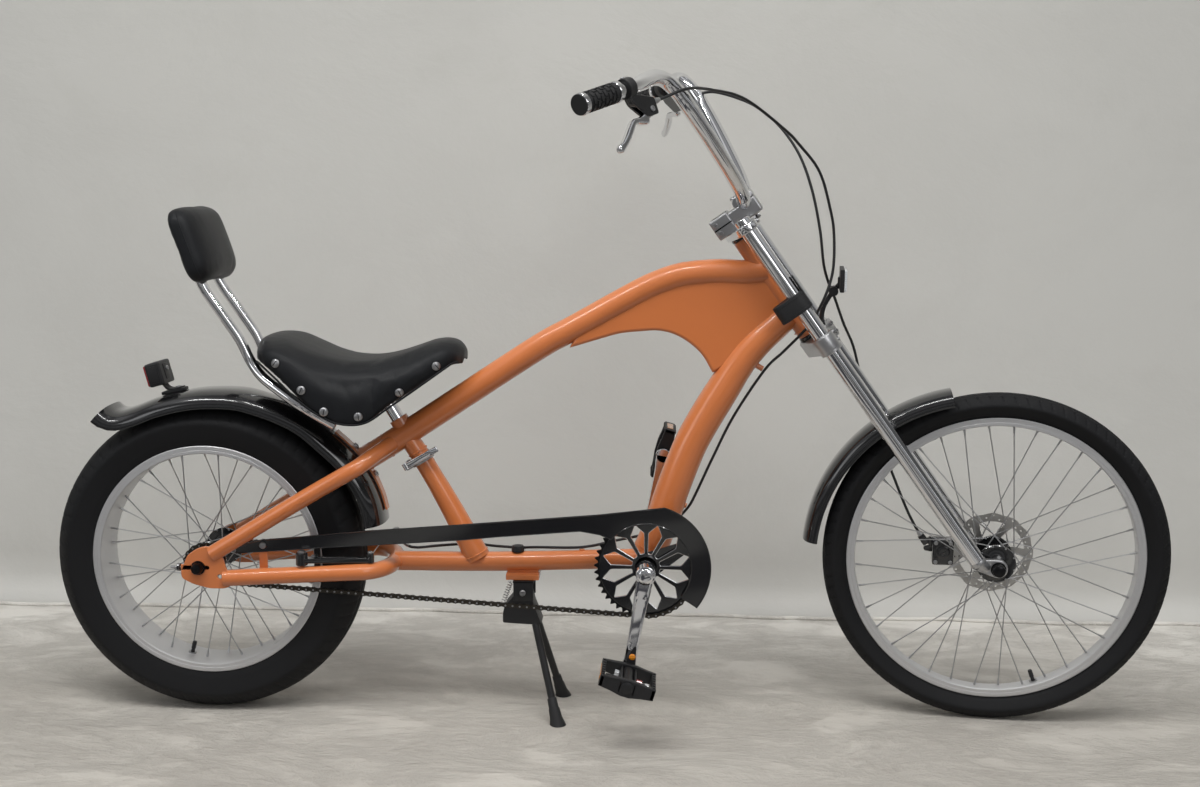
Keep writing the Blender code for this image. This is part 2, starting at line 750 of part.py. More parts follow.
def crank_arm(name, side):
    """A square-taper arm: a round boss on the spindle, a tapered bar with a sunk panel, an eye for the pedal."""
    inner = side * CRANK_INNER
    outer = side * (CRANK_INNER + CRANK_THICKNESS)
    middle = (inner + outer) / 2
    reach = CRANK_LENGTH * side
    outline = capsule((0, 0), 0.0165, (0, reach), 0.0130, 4)
    arm = side_plate(name, [outline], CRANK_THICKNESS, middle, CRANK_AXIS)
    panel_outline = capsule((0, reach * 0.20), 0.0075, (0, reach * 0.72), 0.0060, 3)
    panel = side_plate(name + "_panel", [panel_outline], 0.0050, outer, CRANK_AXIS)
    axle = cylinder(
        name + "_pedal_axle", (0, inner, reach), (0, outer + side * 0.078, reach), 0.0055, CRANK_AXIS, 8,
    )
    boss_inner = side * (CHAIN_PLANE - 0.0030) if side < 0 else side * (BRACKET_HALF + 0.0060)
    boss = cylinder(name + "_boss", (0, boss_inner, 0), (0, middle, 0), 0.0185, CRANK_AXIS, 16)
    cap = cylinder(
        name + "_cap", (0, middle, 0), (0, outer + side * 0.0035, 0), 0.0125, CRANK_AXIS, 12, 0.0095,
    )
    bore = cylinder(
        name + "_bore", (
            0, boss_inner - side * 0.01, 0,
        ), (0, inner + side * 0.0060, 0), around(SPINDLE_RADIUS, 12), CRANK_AXIS, 12
    )
    return finish(cut(fuse(arm, boss, cap, axle), panel, bore), CHROME)


def crank_spindle():
    end = CRANK_INNER + 0.0055
    return finish(cylinder("crank_spindle", (0, -end, 0), (0, end, 0), SPINDLE_RADIUS, CRANK_AXIS, 12), STEEL)


def bracket_cup(name, side):
    """Threaded cup: a skirt inside the shell and a collar outside it."""
    face = BRACKET_HALF + CLEARANCE
    profile = [
        (BRACKET_SHELL_RADIUS - 0.0015, face + 0.0030),
        (BRACKET_SHELL_RADIUS - 0.0015, face),
        (BRACKET_BORE * math.cos(math.pi / 12) - CLEARANCE, face),
        (BRACKET_BORE * math.cos(math.pi / 12) - CLEARANCE, face - 0.0160),
        (around(SPINDLE_RADIUS, 12), face - 0.0160),
        (around(SPINDLE_RADIUS, 12), face + 0.0030),
    ]
    place = move(BRACKET_X, 0, BRACKET_Z) @ turn(math.radians(-90 * side), "X")
    return finish(turned(name, profile, None, place, 12, True), STEEL)


def pedal(name, side, home):
    """Platform pedal: a block with two open windows beside its axle barrel."""
    inner = CRANK_INNER + CRANK_THICKNESS + 0.0030
    middle = side * (inner + PEDAL_WIDTH / 2)
    half = PEDAL_LENGTH / 2
    outline = [
        (-half, -0.35 * PEDAL_DEPTH),
        (-half * 0.12, -PEDAL_DEPTH * 0.62),
        (half * 0.12, -PEDAL_DEPTH * 0.62),
        (half, -0.35 * PEDAL_DEPTH),
        (half, 0.35 * PEDAL_DEPTH),
        (half * 0.25, PEDAL_DEPTH * 0.50),
        (-half * 0.25, PEDAL_DEPTH * 0.50),
        (-half, 0.35 * PEDAL_DEPTH),
    ]
    body = side_plate(name, [outline], PEDAL_WIDTH, middle, home)
    windows = []
    for end in (-1, 1):
        centre = (end * half * 0.54, middle, 0)
        size = (half * 0.52, PEDAL_WIDTH * 0.72, PEDAL_DEPTH * 2)
        windows.append(box(f"{name}_window_{end}", centre, size, home))
    bore = cylinder(
        name + "_bore", (0, side * (inner - 0.01), 0), (0, side * (inner + 0.080), 0), around(0.0055, 8),
        home, 8,
    )
    return finish(cut(body, *windows, bore), BLACK_PLASTIC)


def drivetrain():
    rear_cog()
    chainring()
    drive_chain()
    crank_spindle()
    crank_arm("right_crank", -1)
    crank_arm("left_crank", 1)
    bracket_cup("bb_cup_right", -1)
    bracket_cup("bb_cup_left", 1)
    pedal("right_pedal", -1, RIGHT_PEDAL)
    pedal("left_pedal", 1, LEFT_PEDAL)


# Frame


def head_point(ahead, up):
    """A place beside the head tube, in world x, z, from the steering frame at rest straight ahead."""
    return HEAD @ Vector((ahead, 0, up))


def both_sides(make):
    return [make(side) for side in (-1, 1)]


def stay_route():
    """The chain stays are one tube bent into a U ahead of the wheel; this is its right half."""
    return placed_points([
        (-0.6700, -STAY_Y, 0.2622),
        (-0.6000, -STAY_Y, 0.2668),
        (-0.4500, -STAY_Y, 0.2762),
        (-0.4180, -0.0810, 0.2772),
        (-0.3950, -0.0620, 0.2772),
        (-0.3830, -0.0330, 0.2768),
        (-0.3800, 0.0, 0.2765),
    ])


def seat_stay(side):
    """Straight from the dropout, then drawn in to the side of the top tube."""
    route = [
        (-0.6900, side * STAY_Y, 0.3060),
        (-0.5300, side * STAY_Y, 0.4050),
        (-0.4550, side * STAY_Y, 0.4495),
        (-0.4300, side * 0.0790, 0.4640),
        (-0.4080, side * 0.0560, 0.4790),
        (-0.3900, side * 0.0270, 0.4900),
        (-0.3800, side * 0.0100, 0.4960),
    ]
    return tube(f"seat_stay_{side}", smooth_route(placed_points(route), 0.08), STAY_RADIUS, None, 2)


def dropout(side):
    """Plate with a slot open to the rear and a small hole ahead of it."""
    outline = [
        (-0.7460, 0.2740),
        (-0.7330, 0.3040),
        (-0.7180, 0.3150),
        (-0.7030, 0.3205),
        (-0.6840, 0.3185),
        (-0.6700, 0.3000),
        (-0.6650, 0.2800),
        (-0.6560, 0.2700),
        (-0.6560, 0.2500),
        (-0.6680, 0.2445),
        (-0.6950, 0.2445),
        (-0.7240, 0.2520),
        (-0.7440, 0.2620),
    ]
    middle = side * (DROPOUT_INNER + DROPOUT_THICKNESS / 2)
    return side_plate(f"dropout_{side}", [placed_outline(outline)], DROPOUT_THICKNESS, middle)


def axle_slot(side):
    half = AXLE_RADIUS + CLEARANCE
    front = REAR_AXLE_X + 0.0210
    back = REAR_AXLE_X - 0.0459
    centre = ((front + back) / 2, side * (DROPOUT_INNER + DROPOUT_THICKNESS / 2), REAR_TYRE_RADIUS)
    return box(f"axle_slot_{side}", centre, (front - back, DROPOUT_THICKNESS * 2, 2 * half))


def brake_stud(side):
    top = BRAKE_PIVOT_Z + 0.0250
    foot = BRAKE_PIVOT_Z - 0.0120
    return cylinder(
        f"brake_stud_{side}", (BRAKE_PIVOT_X, side * STAY_Y, foot), (BRAKE_PIVOT_X, side * STAY_Y, top),
        0.0040, None, 10,
    )


BRAKE_PIVOT_X, BRAKE_PIVOT_Z = placed(-0.5308, 0.2860)
GUARD_TAB_X, GUARD_TAB_Z = placed(-0.6036, 0.3193)
GUARD_Y = 0.0692
GUARD_THICKNESS = 0.0012


def guard_tab():
    thickness = 0.0030
    y = -(GUARD_Y - GUARD_THICKNESS / 2 - CLEARANCE - thickness / 2)
    tab = box("guard_tab", (GUARD_TAB_X, y, GUARD_TAB_Z - 0.0233), (0.0150, thickness, 0.0560))
    foot = box("guard_tab_foot", (GUARD_TAB_X, -0.0720, GUARD_TAB_Z - 0.0453), (0.0150, 0.0140, 0.0090))
    return [tab, foot]


def fender_strap():
    """Flat strap along the rear fender's crown, welded to the end of the top tube, with a bolt boss at its foot."""
    route = [(x + 0.0024, z + 0.0024) for x, z in REAR_FENDER_ROUTE[-6:-1]]
    section = [(-0.0110, 0), (0.0110, 0)]
    return shell("fender_strap", route, section, 0.0030)


REAR_FENDER_ROUTE = placed_outline([
    (-0.8859, 0.5562),
    (-0.8620, 0.5640),
    (-0.8250, 0.5760),
    (-0.7842, 0.5870),
    (-0.7400, 0.5920),
    (-0.7000, 0.5930),
    (-0.6600, 0.5910),
    (-0.6206, 0.5840),
    (-0.5700, 0.5670),
    (-0.5250, 0.5440),
    (-0.4862, 0.5118),
    (-0.4516, 0.4793),
    (-0.4238, 0.4425),
    (-0.4053, 0.4037),
    (-0.3964, 0.3712),
    (-0.3935, 0.3527),
])


CABLE_CLIPS = [
    ((0.2400, 0, 0.6560), (0.2766, 0, 0.6356)),
    ((0.1150, 0, 0.3980), (0.1462, 0, 0.3868)),
    ((-0.0409, 0, 0.2860), (-0.0409, 0, 0.3041)),
]


def frame():
    """All welded tubes, plates and bosses, then the bores and slots through them."""
    top_route = placed_points([
        (-0.4325, 0, 0.4640),
        (-0.3740, 0, 0.5010),
        (-0.2500, 0, 0.5835),
        (-0.1171, 0, 0.6715),
        (-0.0551, 0, 0.7060),
        (0.0456, 0, 0.7630),
        (0.0900, 0, 0.7850),
        (0.1357, 0, 0.8000),
        (0.1979, 0, 0.8060),
        (0.2400, 0, 0.8045),
    ])
    top_route.append(head_point(0.004, 0.655))
    down_route = [(BRACKET_X + 0.004, 0, BRACKET_Z + 0.010)]
    down_route += placed_points([
        (0.0960, 0, 0.3400),
        (0.1080, 0, 0.3750),
        (0.1250, 0, 0.4280),
        (0.1560, 0, 0.5080),
        (0.2050, 0, 0.5950),
        (0.2500, 0, 0.6650),
    ])
    down_route.append(head_point(-0.010, 0.570))
    body = tube("frame", smooth_route(top_route, 0.1), 0.0225, None, 4)
    down_points = smooth_route(down_route, 0.1)
    last = len(down_points) - 1
    down = tube(
        "down_tube", down_points, 0.0300, None, 4,
        [1 - 0.18 * max(0, i / last - 0.6) / 0.4 for i in range(last + 1)],
    )
    seat = tube(
        "seat_tube",
        placed_points(
            [(-0.3520, 0, 0.5020), (-0.3205, 0, 0.4520), (-0.2760, 0, 0.3740), (-0.2300, 0, 0.2850)]
        ),
        0.0175,
        None,
        4,
        [1, 1, 1.15, 1.3],
    )
    head = cylinder(
        "head_tube", head_point(0, HEAD_TUBE_BOTTOM), head_point(0, HEAD_TUBE_TOP), HEAD_TUBE_RADIUS, None, 14,
    )
    lower_route = placed_points([(-0.3800, 0, 0.2765), (-0.1900, 0, 0.2785)])
    lower = tube("lower_tube", lower_route + [(BRACKET_X, 0, BRACKET_Z + 0.0005)], 0.0177, None, 4)
    shell_start = (BRACKET_X, -BRACKET_HALF, BRACKET_Z)
    bracket = cylinder(
        "bracket_shell", shell_start, (BRACKET_X, BRACKET_HALF, BRACKET_Z), BRACKET_SHELL_RADIUS, None, 14,
    )
    half_stay = smooth_route(stay_route(), 0.05)
    stays = tube(
        "chain_stays", half_stay + [Vector((p.x, -p.y, p.z)) for p in reversed(half_stay[:-1])], STAY_RADIUS,
        None, 2,
    )
    boss = cylinder(
        "seat_boss", placed_point(-0.3560, 0, 0.5130), SEATPOST_HEAD - POST_AXIS * 0.0340, 0.0170, None, 16,
    )
    stand_plate = box(
        "stand_plate", (STAND_X - 0.001, 0, STAND_Z + STAND_PLATE_RISE), (0.0600, 0.0460, 0.0110),
    )
    stand_web = box(
        "stand_web", (STAND_X - 0.001, 0, STAND_Z + STAND_PLATE_RISE + 0.0077), (0.0560, 0.0200, 0.0160),
    )
    clips = [
        cylinder(f"cable_clip_{i}", start, end, 0.0050, None, 8)
        for i, (start, end) in enumerate(map(placed_points, CABLE_CLIPS))
    ]
    fuse(
        body, down, seat, head, lower, bracket, stays, boss, stand_plate, stand_web, gusset(), fender_strap(),
        *clips,
    )
    fuse(body, *both_sides(seat_stay), *both_sides(dropout), *both_sides(brake_stud), *guard_tab())
    bracket_bore = cylinder(
        "bracket_bore", (
            BRACKET_X, -BRACKET_HALF - 0.02, BRACKET_Z,
        ), (BRACKET_X, BRACKET_HALF + 0.02, BRACKET_Z), BRACKET_BORE, None, 12
    )
    head_bore = cylinder(
        "head_bore", head_point(
            0, HEAD_TUBE_BOTTOM - 0.02,
        ), head_point(0, HEAD_TUBE_TOP + 0.02), HEAD_TUBE_RADIUS - 0.0020, None, 12
    )
    post_bore = cylinder(
        "post_bore", SEATPOST_FOOT - POST_AXIS * 0.0050, SEATPOST_HEAD + POST_AXIS * 0.02, around(SEATPOST_RADIUS, 16), None, 16
    )
    bolt_hole = cylinder(
        "bolt_hole", (STAND_BOLT_X, 0, STAND_Z + 0.0120), (STAND_BOLT_X, 0, STAND_Z + 0.0820),
        around(STAND_BOLT_RADIUS, 10), None, 10,
    )
    cut(body, bracket_bore, head_bore, post_bore, bolt_hole, *both_sides(axle_slot))
    return finish(body, ORANGE)


def gusset():
    """Hollow-looking web between the top tube, the down tube and the head, with a bowed lower edge."""
    outline = [
        (-0.0639, 0.6700),
        (-0.0110, 0.6863),
        (0.0244, 0.6964),
        (0.0596, 0.7004),
        (0.0948, 0.7020),
        (0.1302, 0.6914),
        (0.1658, 0.6643),
        (0.1880, 0.6290),
        (0.2300, 0.6500),
        (0.2850, 0.7300),
        (0.2650, 0.7950),
        (0.1600, 0.8000),
        (0.0900, 0.7800),
        (0.0400, 0.7550),
        (-0.0500, 0.7000),
    ]
    return side_plate("gusset", [placed_outline(outline)], 0.0280, 0)


POST_AXIS = (SEATPOST_HEAD - SEATPOST_FOOT).normalized()
STAND_BOLT_X = STAND_X - 0.0110
STAND_BOLT_RADIUS = 0.0040


def aimed(origin, direction):
    return Matrix.Translation(origin) @ direction.to_track_quat("Z", "Y").to_matrix().to_4x4()


CLAMP_CENTRE = placed_point(-0.3296, 0, 0.4668)
LEVER_PIVOT = placed_point(-0.3547, -0.0240, 0.4561)
CLAMP_LEVER_RUN = Vector((0.8610, 0, 0.5086)).normalized()


def seat_clamp():
    """Collar round the seat tube with an ear block behind it, and the skewer that the lever's pin crosses."""
    back = Vector((-POST_AXIS.z, 0, POST_AXIS.x))
    place = Matrix.Translation(CLAMP_CENTRE) @ Matrix(
        (back, POST_AXIS.cross(back), POST_AXIS)
    ).transposed().to_4x4()
    collar = ring("seat_clamp", 0.0186, 0.0222, -0.0070, 0.0070, None, place, 16)
    ears = box("seat_clamp_ears", (0, 0, 0), (0.0140, 0.0200, 0.0120))
    ears.matrix_local = place @ move(0.0262, 0, 0)
    skewer = cylinder("skewer", (LEVER_PIVOT.x, 0.0180, LEVER_PIVOT.z), LEVER_PIVOT, 0.0022, None, 8)
    cap = cylinder(
        "skewer_nut", (LEVER_PIVOT.x, 0.0080, LEVER_PIVOT.z), (LEVER_PIVOT.x, 0.0160, LEVER_PIVOT.z), 0.0056,
        None, 8,
    )
    along = aimed(LEVER_PIVOT, lever_hinge())
    pin = cylinder(
        "lever_pin", along @ Vector((0, 0, -0.0058)), along @ Vector((0, 0, 0.0058)), 0.0015, None, 8,
    )
    return finish(fuse(collar, ears, skewer, cap, pin), STEEL)


def lever_hinge():
    """The seat clamp lever's axis: square to the lever, in the bike's middle plane."""
    return Vector((-CLAMP_LEVER_RUN.z, 0, CLAMP_LEVER_RUN.x))


def seat_clamp_lever():
    """Cam barrel on the skewer's pin with a flat handle."""
    turned_home = Matrix(
        (CLAMP_LEVER_RUN, lever_hinge().cross(CLAMP_LEVER_RUN), lever_hinge())
    ).transposed().to_4x4()
    home = axis_empty("seat_clamp_lever_axis", Matrix.Translation(LEVER_PIVOT) @ turned_home)
    barrel = cylinder("seat_clamp_lever", (0, 0, -0.0062), (0, 0, 0.0062), 0.0058, home, 12)
    handle = plate(
        "clamp_handle",
        [[(0, -0.0056), (0.0520, -0.0090), (0.0670, -0.0065), (0.0670, -0.0025), (0, 0.0004)]], 0.0110, home,
    )
    slot = box("skewer_slot", (-0.0020, 0, 0), (0.0098, 0.0160, 0.0052), home)
    bore = cylinder("lever_bore", (0, 0, -0.01), (0, 0, 0.01), around(0.0015, 8), home, 8)
    return finish(cut(fuse(barrel, handle), slot, bore), CHROME)


def headset(name, low, high, side):
    """Ring outside the head tube and a skirt inside it; side 1 points up."""
    inner = around(STEERER_RADIUS, 12)
    skirt = (HEAD_TUBE_RADIUS - 0.0020) * math.cos(math.pi / 12) - CLEARANCE
    if side > 0:
        profile = [
            (0.0188, high), (0.0188, low), (skirt, low), (skirt, low - 0.008), (inner, low - 0.008),
            (inner, high),
        ]
    else:
        profile = [
            (skirt, high + 0.008), (skirt, high), (0.0188, high), (0.0188, low), (inner, low),
            (inner, high + 0.008),
        ]
    return finish(turned(name, profile, None, HEAD, 12, True), BLACK_PLASTIC)


def axle(name, half, lock, end, home, place):
    """Threaded axle with a locknut inside each end plate."""
    profile = [
        (0, end),
        (AXLE_RADIUS, end),
        (AXLE_RADIUS, half),
        (0.0092, half),
        (0.0092, lock),
        (AXLE_RADIUS, lock),
    ]
    return turned(name, profile + [(r, -h) for r, h in reversed(profile)], home, place, 8)


def axle_nut(name, side, x, z, seat, radius, home=None):
    """Domed nut on a washer face."""
    reach = 0.0135
    profile = [
        (0, reach + 0.0020),
        (radius * 0.70, reach),
        (radius * 0.92, 0.0026),
        (radius * 1.15, 0.0026),
        (radius * 1.15, 0),
        (0, 0),
    ]
    place = move(x, side * seat, z) @ turn(math.radians(-90 * side), "X")
    return turned(name, profile, home, place, 10)


def rear_axle():
    """Axle, its two domed nuts, and the tensioner whose threaded tail leaves the right slot."""
    place = move(REAR_AXLE_X, 0, REAR_TYRE_RADIUS) @ ALONG_Y
    seat = DROPOUT_INNER + DROPOUT_THICKNESS + CLEARANCE
    body = axle("rear_axle", DROPOUT_INNER - CLEARANCE, 0.0795, seat + 0.0080, None, place)
    nuts = [
        axle_nut(f"rear_nut_{side}", side, REAR_AXLE_X, REAR_TYRE_RADIUS, seat, 0.0100) for side in (-1, 1)
    ]
    tail_y = -(DROPOUT_INNER + DROPOUT_THICKNESS / 2)
    tail = cylinder(
        "tensioner_tail", (REAR_AXLE_X, tail_y, REAR_TYRE_RADIUS),
        (REAR_AXLE_X - 0.0499, tail_y, REAR_TYRE_RADIUS), 0.0022, None, 8,
    )
    thumb = cylinder(
        "tensioner_nut", (
            REAR_AXLE_X - 0.0329, tail_y, REAR_TYRE_RADIUS,
        ), (REAR_AXLE_X - 0.0379, tail_y, REAR_TYRE_RADIUS), 0.0075, None, 12
    )
    return finish(fuse(body, *nuts, tail, thumb), STEEL)


def chain_guard():
    """Thin painted sheet beside the chain's upper run, hooked round the chainring, on a bracket from the cup."""
    x, z = BRACKET_X, BRACKET_Z
    upper = [
        (-0.6521, 0.3167), (-0.6051, 0.3284), (-0.5370, 0.3350), (-0.4156, 0.3479), (-0.2523, 0.3615),
        (-0.0061, 0.3835),
    ]
    lower = [
        (-0.0058, 0.3490), (-0.0410, 0.3524), (-0.1818, 0.3419), (-0.2526, 0.3344), (-0.5375, 0.3132),
        (-0.6525, 0.3039),
    ]
    outline = placed_outline(upper)
    outline += arc(x, z, 0.1135, 74, -38, 10)
    outline += [(x + 0.0745, z - 0.0610)]
    outline += arc(x, z, 0.0905, -30, 112, 11)
    outline += placed_outline(lower)
    sheet = side_plate("chain_guard", [outline], GUARD_THICKNESS, -GUARD_Y)
    bolt = cylinder(
        "guard_bolt", (GUARD_TAB_X, -GUARD_Y, GUARD_TAB_Z), (GUARD_TAB_X, -GUARD_Y - 0.0045, GUARD_TAB_Z),
        0.0060, None, 8,
    )
    inner_y = -(BRACKET_HALF + 0.0034 + CLEARANCE)
    angle = math.radians(28)
    reach = 0.1030
    corner = (x + reach * math.cos(angle), z + reach * math.sin(angle))
    eye_outline = capsule((x, z), 0.0240, corner, 0.0060, 5)
    eye = side_plate("guard_eye", [eye_outline, circle(x, z, 0.0200, 14)], 0.0016, inner_y - 0.0008)
    bridge = cylinder(
        "guard_bridge", (corner[0], inner_y, corner[1]), (corner[0], -GUARD_Y, corner[1]), 0.0045, None, 8,
    )
    return finish(fuse(sheet, bolt, eye, bridge), BLACK_PAINT)


def fender_section(half, drop):
    """Crown and one rolled skirt on each side, as (y, height)."""
    right = [(-half, -drop), (-half * 0.94, -drop * 0.34), (-half * 0.45, 0)]
    return right + [(-y, h) for y, h in reversed(right)]


def rear_fender():
    skin = shell(
        "rear_fender", [
            (x, z - 0.0012) for x, z in REAR_FENDER_ROUTE
        ], fender_section(0.0570, 0.0300), 0.0018,
    )
    return finish(skin, BLACK_PAINT)


def rear_reflector():
    """Tilted lens box on a curved foot bolted to the fender's crown."""
    aim = turn(math.radians(-15), "Y")
    lens = box("rear_reflector", placed_point(-0.8062, 0, 0.6145), (0.0400, 0.0900, 0.0380), None, aim, 0.003)
    foot = box(
        "reflector_foot", placed_point(-0.7790, 0, 0.5932), (0.0480, 0.0220, 0.0106), None,
        turn(math.radians(-6), "Y"),
    )
    return finish(fuse(lens, foot), RED_LENS)


def stand_bracket():
    """Channel under the frame's plate, held by a bolt through the lower tube."""
    top = STAND_Z + STAND_PLATE_RISE - 0.0055 - CLEARANCE
    roof = box("stand_bracket", (STAND_X + 0.001, 0, top - 0.0020), (0.0380, 0.0560, 0.0040))
    cheeks = [
        box(
            f"stand_cheek_{side}", (STAND_X + 0.001, side * 0.0262, top - 0.0185), (0.0360, 0.0036, 0.0370),
        ) for side in (-1, 1)
    ]
    bolt = cylinder(
        "stand_bolt", (STAND_BOLT_X, 0, top - 0.0030), (STAND_BOLT_X, 0, STAND_Z + 0.0740), STAND_BOLT_RADIUS,
        None, 10,
    )
    cap = cylinder(
        "stand_cap", (STAND_BOLT_X, 0, STAND_Z + 0.0701), (STAND_BOLT_X, 0, STAND_Z + 0.0810), 0.0115, None,
        10, 0.0100,
    )
    return finish(fuse(roof, *cheeks, bolt, cap), BLACK_PLASTIC)


def kickstand():
    """Rocking block on a cross pin, with two splayed legs on rubber feet."""
    x, z = STAND_X, STAND_Z
    outline = [
        (0.0115, 0.0090),
        (0.0060, 0.0125),
        (-0.0060, 0.0125),
        (-0.0140, 0.0060),
        (-0.0170, -0.0080),
        (-0.0330, -0.0260),
        (-0.0365, -0.0400),
        (-0.0365, -0.0575),
        (0.0100, -0.0600),
        (0.0340, -0.0600),
        (0.0200, -0.0250),
    ]
    body = side_plate("kickstand", [outline], 0.0470, 0, STAND_AXIS)
    legs = []
    for side in (-1, 1):
        hip = (0.0200, side * 0.0150, -0.0520)
        foot = Vector((STAND_FOOT_X - x, side * STAND_FOOT_Y, -z))
        run = (foot - Vector(hip)).normalized()
        legs.append(cylinder(f"stand_leg_{side}", hip, foot - run * 0.010, STAND_LEG_RADIUS, STAND_AXIS, 10))
        legs.append(
            cylinder(
                f"stand_foot_{side}", foot - run * 0.048, foot + run * 0.010, 0.0100, STAND_AXIS, 10, 0.0150,
            )
        )
    floor = box("floor_cut", (0, 0, -z - 0.05), (0.4, 0.4, 0.1), STAND_AXIS)
    return finish(cut(fuse(body, *legs), floor), BLACK_PLASTIC)


# Seat, sissy bar and backrest


def seat_pad():
    """Saddle-shaped cushion with drawn-in sides; each station is (x, top, skirt bottom, half width)."""
    stations = [
        (-0.6120, 0.6790, 0.6550, 0.050),
        (-0.6030, 0.6850, 0.6500, 0.085),
        (-0.5860, 0.6895, 0.6420, 0.108),
        (-0.5560, 0.6850, 0.6180, 0.122),
        (-0.5200, 0.6700, 0.5830, 0.125),
        (-0.4850, 0.6560, 0.5560, 0.122),
        (-0.4500, 0.6480, 0.5400, 0.115),
        (-0.4100, 0.6470, 0.5410, 0.105),
        (-0.3700, 0.6540, 0.5680, 0.096),
        (-0.3250, 0.6690, 0.6000, 0.086),
        (-0.2850, 0.6850, 0.6290, 0.072),
        (-0.2620, 0.6830, 0.6450, 0.055),
        (-0.2480, 0.6700, 0.6420, 0.034),
    ]
    rings = []
    for drawn_x, drawn_top, drawn_bottom, half in stations:
        x, top = placed(drawn_x, drawn_top)
        bottom = top - drawn_top + drawn_bottom
        side = top - 0.22 * (top - bottom) - 0.008
        belly = bottom + 0.35 * (top - bottom)
        right = [(0, top), (-half * 0.45, top - 0.002), (-half * 0.80, top - 0.009), (-half * 0.985, side)]
        right += [
            (-half * 0.96, belly), (-half, bottom), (-half * 0.80, bottom), (-half * 0.45, belly - 0.004),
            (0, belly),
        ]
        rings.append([(x, y, z) for y, z in right] + [(x, -y, z) for y, z in reversed(right[1:-1])])
    return finish(loft("seat_pad", rings), LEATHER, 60)


def seatpost():
    """Post with the flat plate that the seat's pan is bolted to."""
    post = cylinder("seatpost", SEATPOST_FOOT, SEATPOST_HEAD + POST_AXIS * 0.0050, SEATPOST_RADIUS, None, 16)
    head_plate = box("seat_plate", placed_point(-0.4145, 0, 0.5720), (0.0610, 0.0600, 0.0060))
    return finish(fuse(post, head_plate), CHROME)


SISSY_RADIUS = 0.0092


def sissy_route():
    """Up the near side, over inside the pad, and down the far side."""
    half = [
        (-0.4760, -0.0600, 0.5350),
        (-0.5200, -0.0860, 0.5660),
        (-0.5800, -0.0960, 0.6130),
        (-0.6230, -0.0960, 0.6560),
        (-0.6480, -0.0940, 0.7000),
        (-0.6900, -0.0900, 0.7730),
        (-0.7300, -0.0850, 0.8420),
        (-0.7440, -0.0600, 0.8560),
        (-0.7480, 0.0, 0.8600),
    ]
    run = smooth_route(placed_points(half), 0.055)
    return run + [Vector((p.x, -p.y, p.z)) for p in reversed(run[:-1])]


def sissy_bar():
    """One chrome tube with a tab up to the seat's base at each foot."""
    bar = tube("sissy_bar", sissy_route(), SISSY_RADIUS, None, 2)
    tabs = [
        box(f"sissy_tab_{side}", placed_point(-0.4840, side * 0.06125, 0.5581), (0.0080, 0.0025, 0.0402))
        for side in (-1, 1)
    ]
    return finish(fuse(bar, *tabs), CHROME)


def backrest_pad():
    """Pillow-edged cushion whose side outline leans back."""
    outline = [
        (-0.7955, 0.8970),
        (-0.7826, 0.9077),
        (-0.7537, 0.9131),
        (-0.7325, 0.9071),
        (-0.7135, 0.8889),
        (-0.6847, 0.8434),
        (-0.6643, 0.8083),
        (-0.6631, 0.7924),
        (-0.6723, 0.7835),
        (-0.6959, 0.7779),
        (-0.7214, 0.7670),
        (-0.7320, 0.7714),
        (-0.7524, 0.8040),
        (-0.7775, 0.8533),
    ]
    outline = placed_outline(outline)
    x0 = sum(x for x, z in outline) / len(outline)
    z0 = sum(z for x, z in outline) / len(outline)
    rings = []
    for y, share in (
        (-0.140, 0.62), (-0.134, 0.86), (-0.118, 0.97), (-0.060, 1.0), (0, 1.01), (0.060, 1.0), (0.118, 0.97),
        (0.134, 0.86), (0.140, 0.62),
    ):
        rings.append([(x0 + (x - x0) * share, y, z0 + (z - z0) * share) for x, z in outline])
    pad = loft("backrest_pad", rings)
    sleeve = tube("backrest_sleeve", sissy_route(), SISSY_RADIUS + 0.0015, None, 1)
    return finish(cut(pad, sleeve), LEATHER, 60)


# Fork, bar and what rides on them


def crown(name, bottom, thickness, steerer_fits):
    """Plate with an ear round each leg."""
    ear = LEG_RADIUS + 0.0075
    hub = STEERER_RADIUS + 0.0120
    half = move(0, 0, bottom + thickness / 2)
    body = plate(name, [capsule((0, 0), hub, (LEG_AHEAD, -LEG_SPREAD), ear, 3)], thickness, STEERING, half)
    other = plate(
        name + "_left", [capsule((0, 0), hub, (LEG_AHEAD, LEG_SPREAD), ear, 3)], thickness, STEERING, half,
    )
    holes = []
    for side in (-1, 1):
        start = (LEG_AHEAD, side * LEG_SPREAD, bottom - 0.01)
        end = (LEG_AHEAD, side * LEG_SPREAD, bottom + thickness + 0.01)
        holes.append(cylinder(f"{name}_leg_hole_{side}", start, end, around(LEG_RADIUS, 12), STEERING, 12))
    if steerer_fits:
        holes.append(
            cylinder(
                name + "_hole", (0, 0, bottom - 0.01), (0, 0, bottom + thickness + 0.01),
                around(STEERER_RADIUS, 12), STEERING, 12,
            )
        )
    return cut(fuse(body, other), *holes)


LOWER_CROWN_TOP = HEAD_TUBE_BOTTOM - HEADSET_RING - 2 * CLEARANCE
STEERER_TOP = BAR_HEIGHT - 0.0120


def lower_crown():
    body = crown("lower_crown", LOWER_CROWN_TOP - CROWN_THICKNESS, CROWN_THICKNESS, False)
    steerer = cylinder(
        "steerer", (0, 0, LOWER_CROWN_TOP - 0.010), (0, 0, STEERER_TOP), STEERER_RADIUS, STEERING, 12,
    )
    return finish(fuse(body, steerer), SATIN)


def upper_crown():
    return finish(crown("upper_crown", UPPER_CROWN_BOTTOM, PLATE_THICKNESS, True), SATIN)


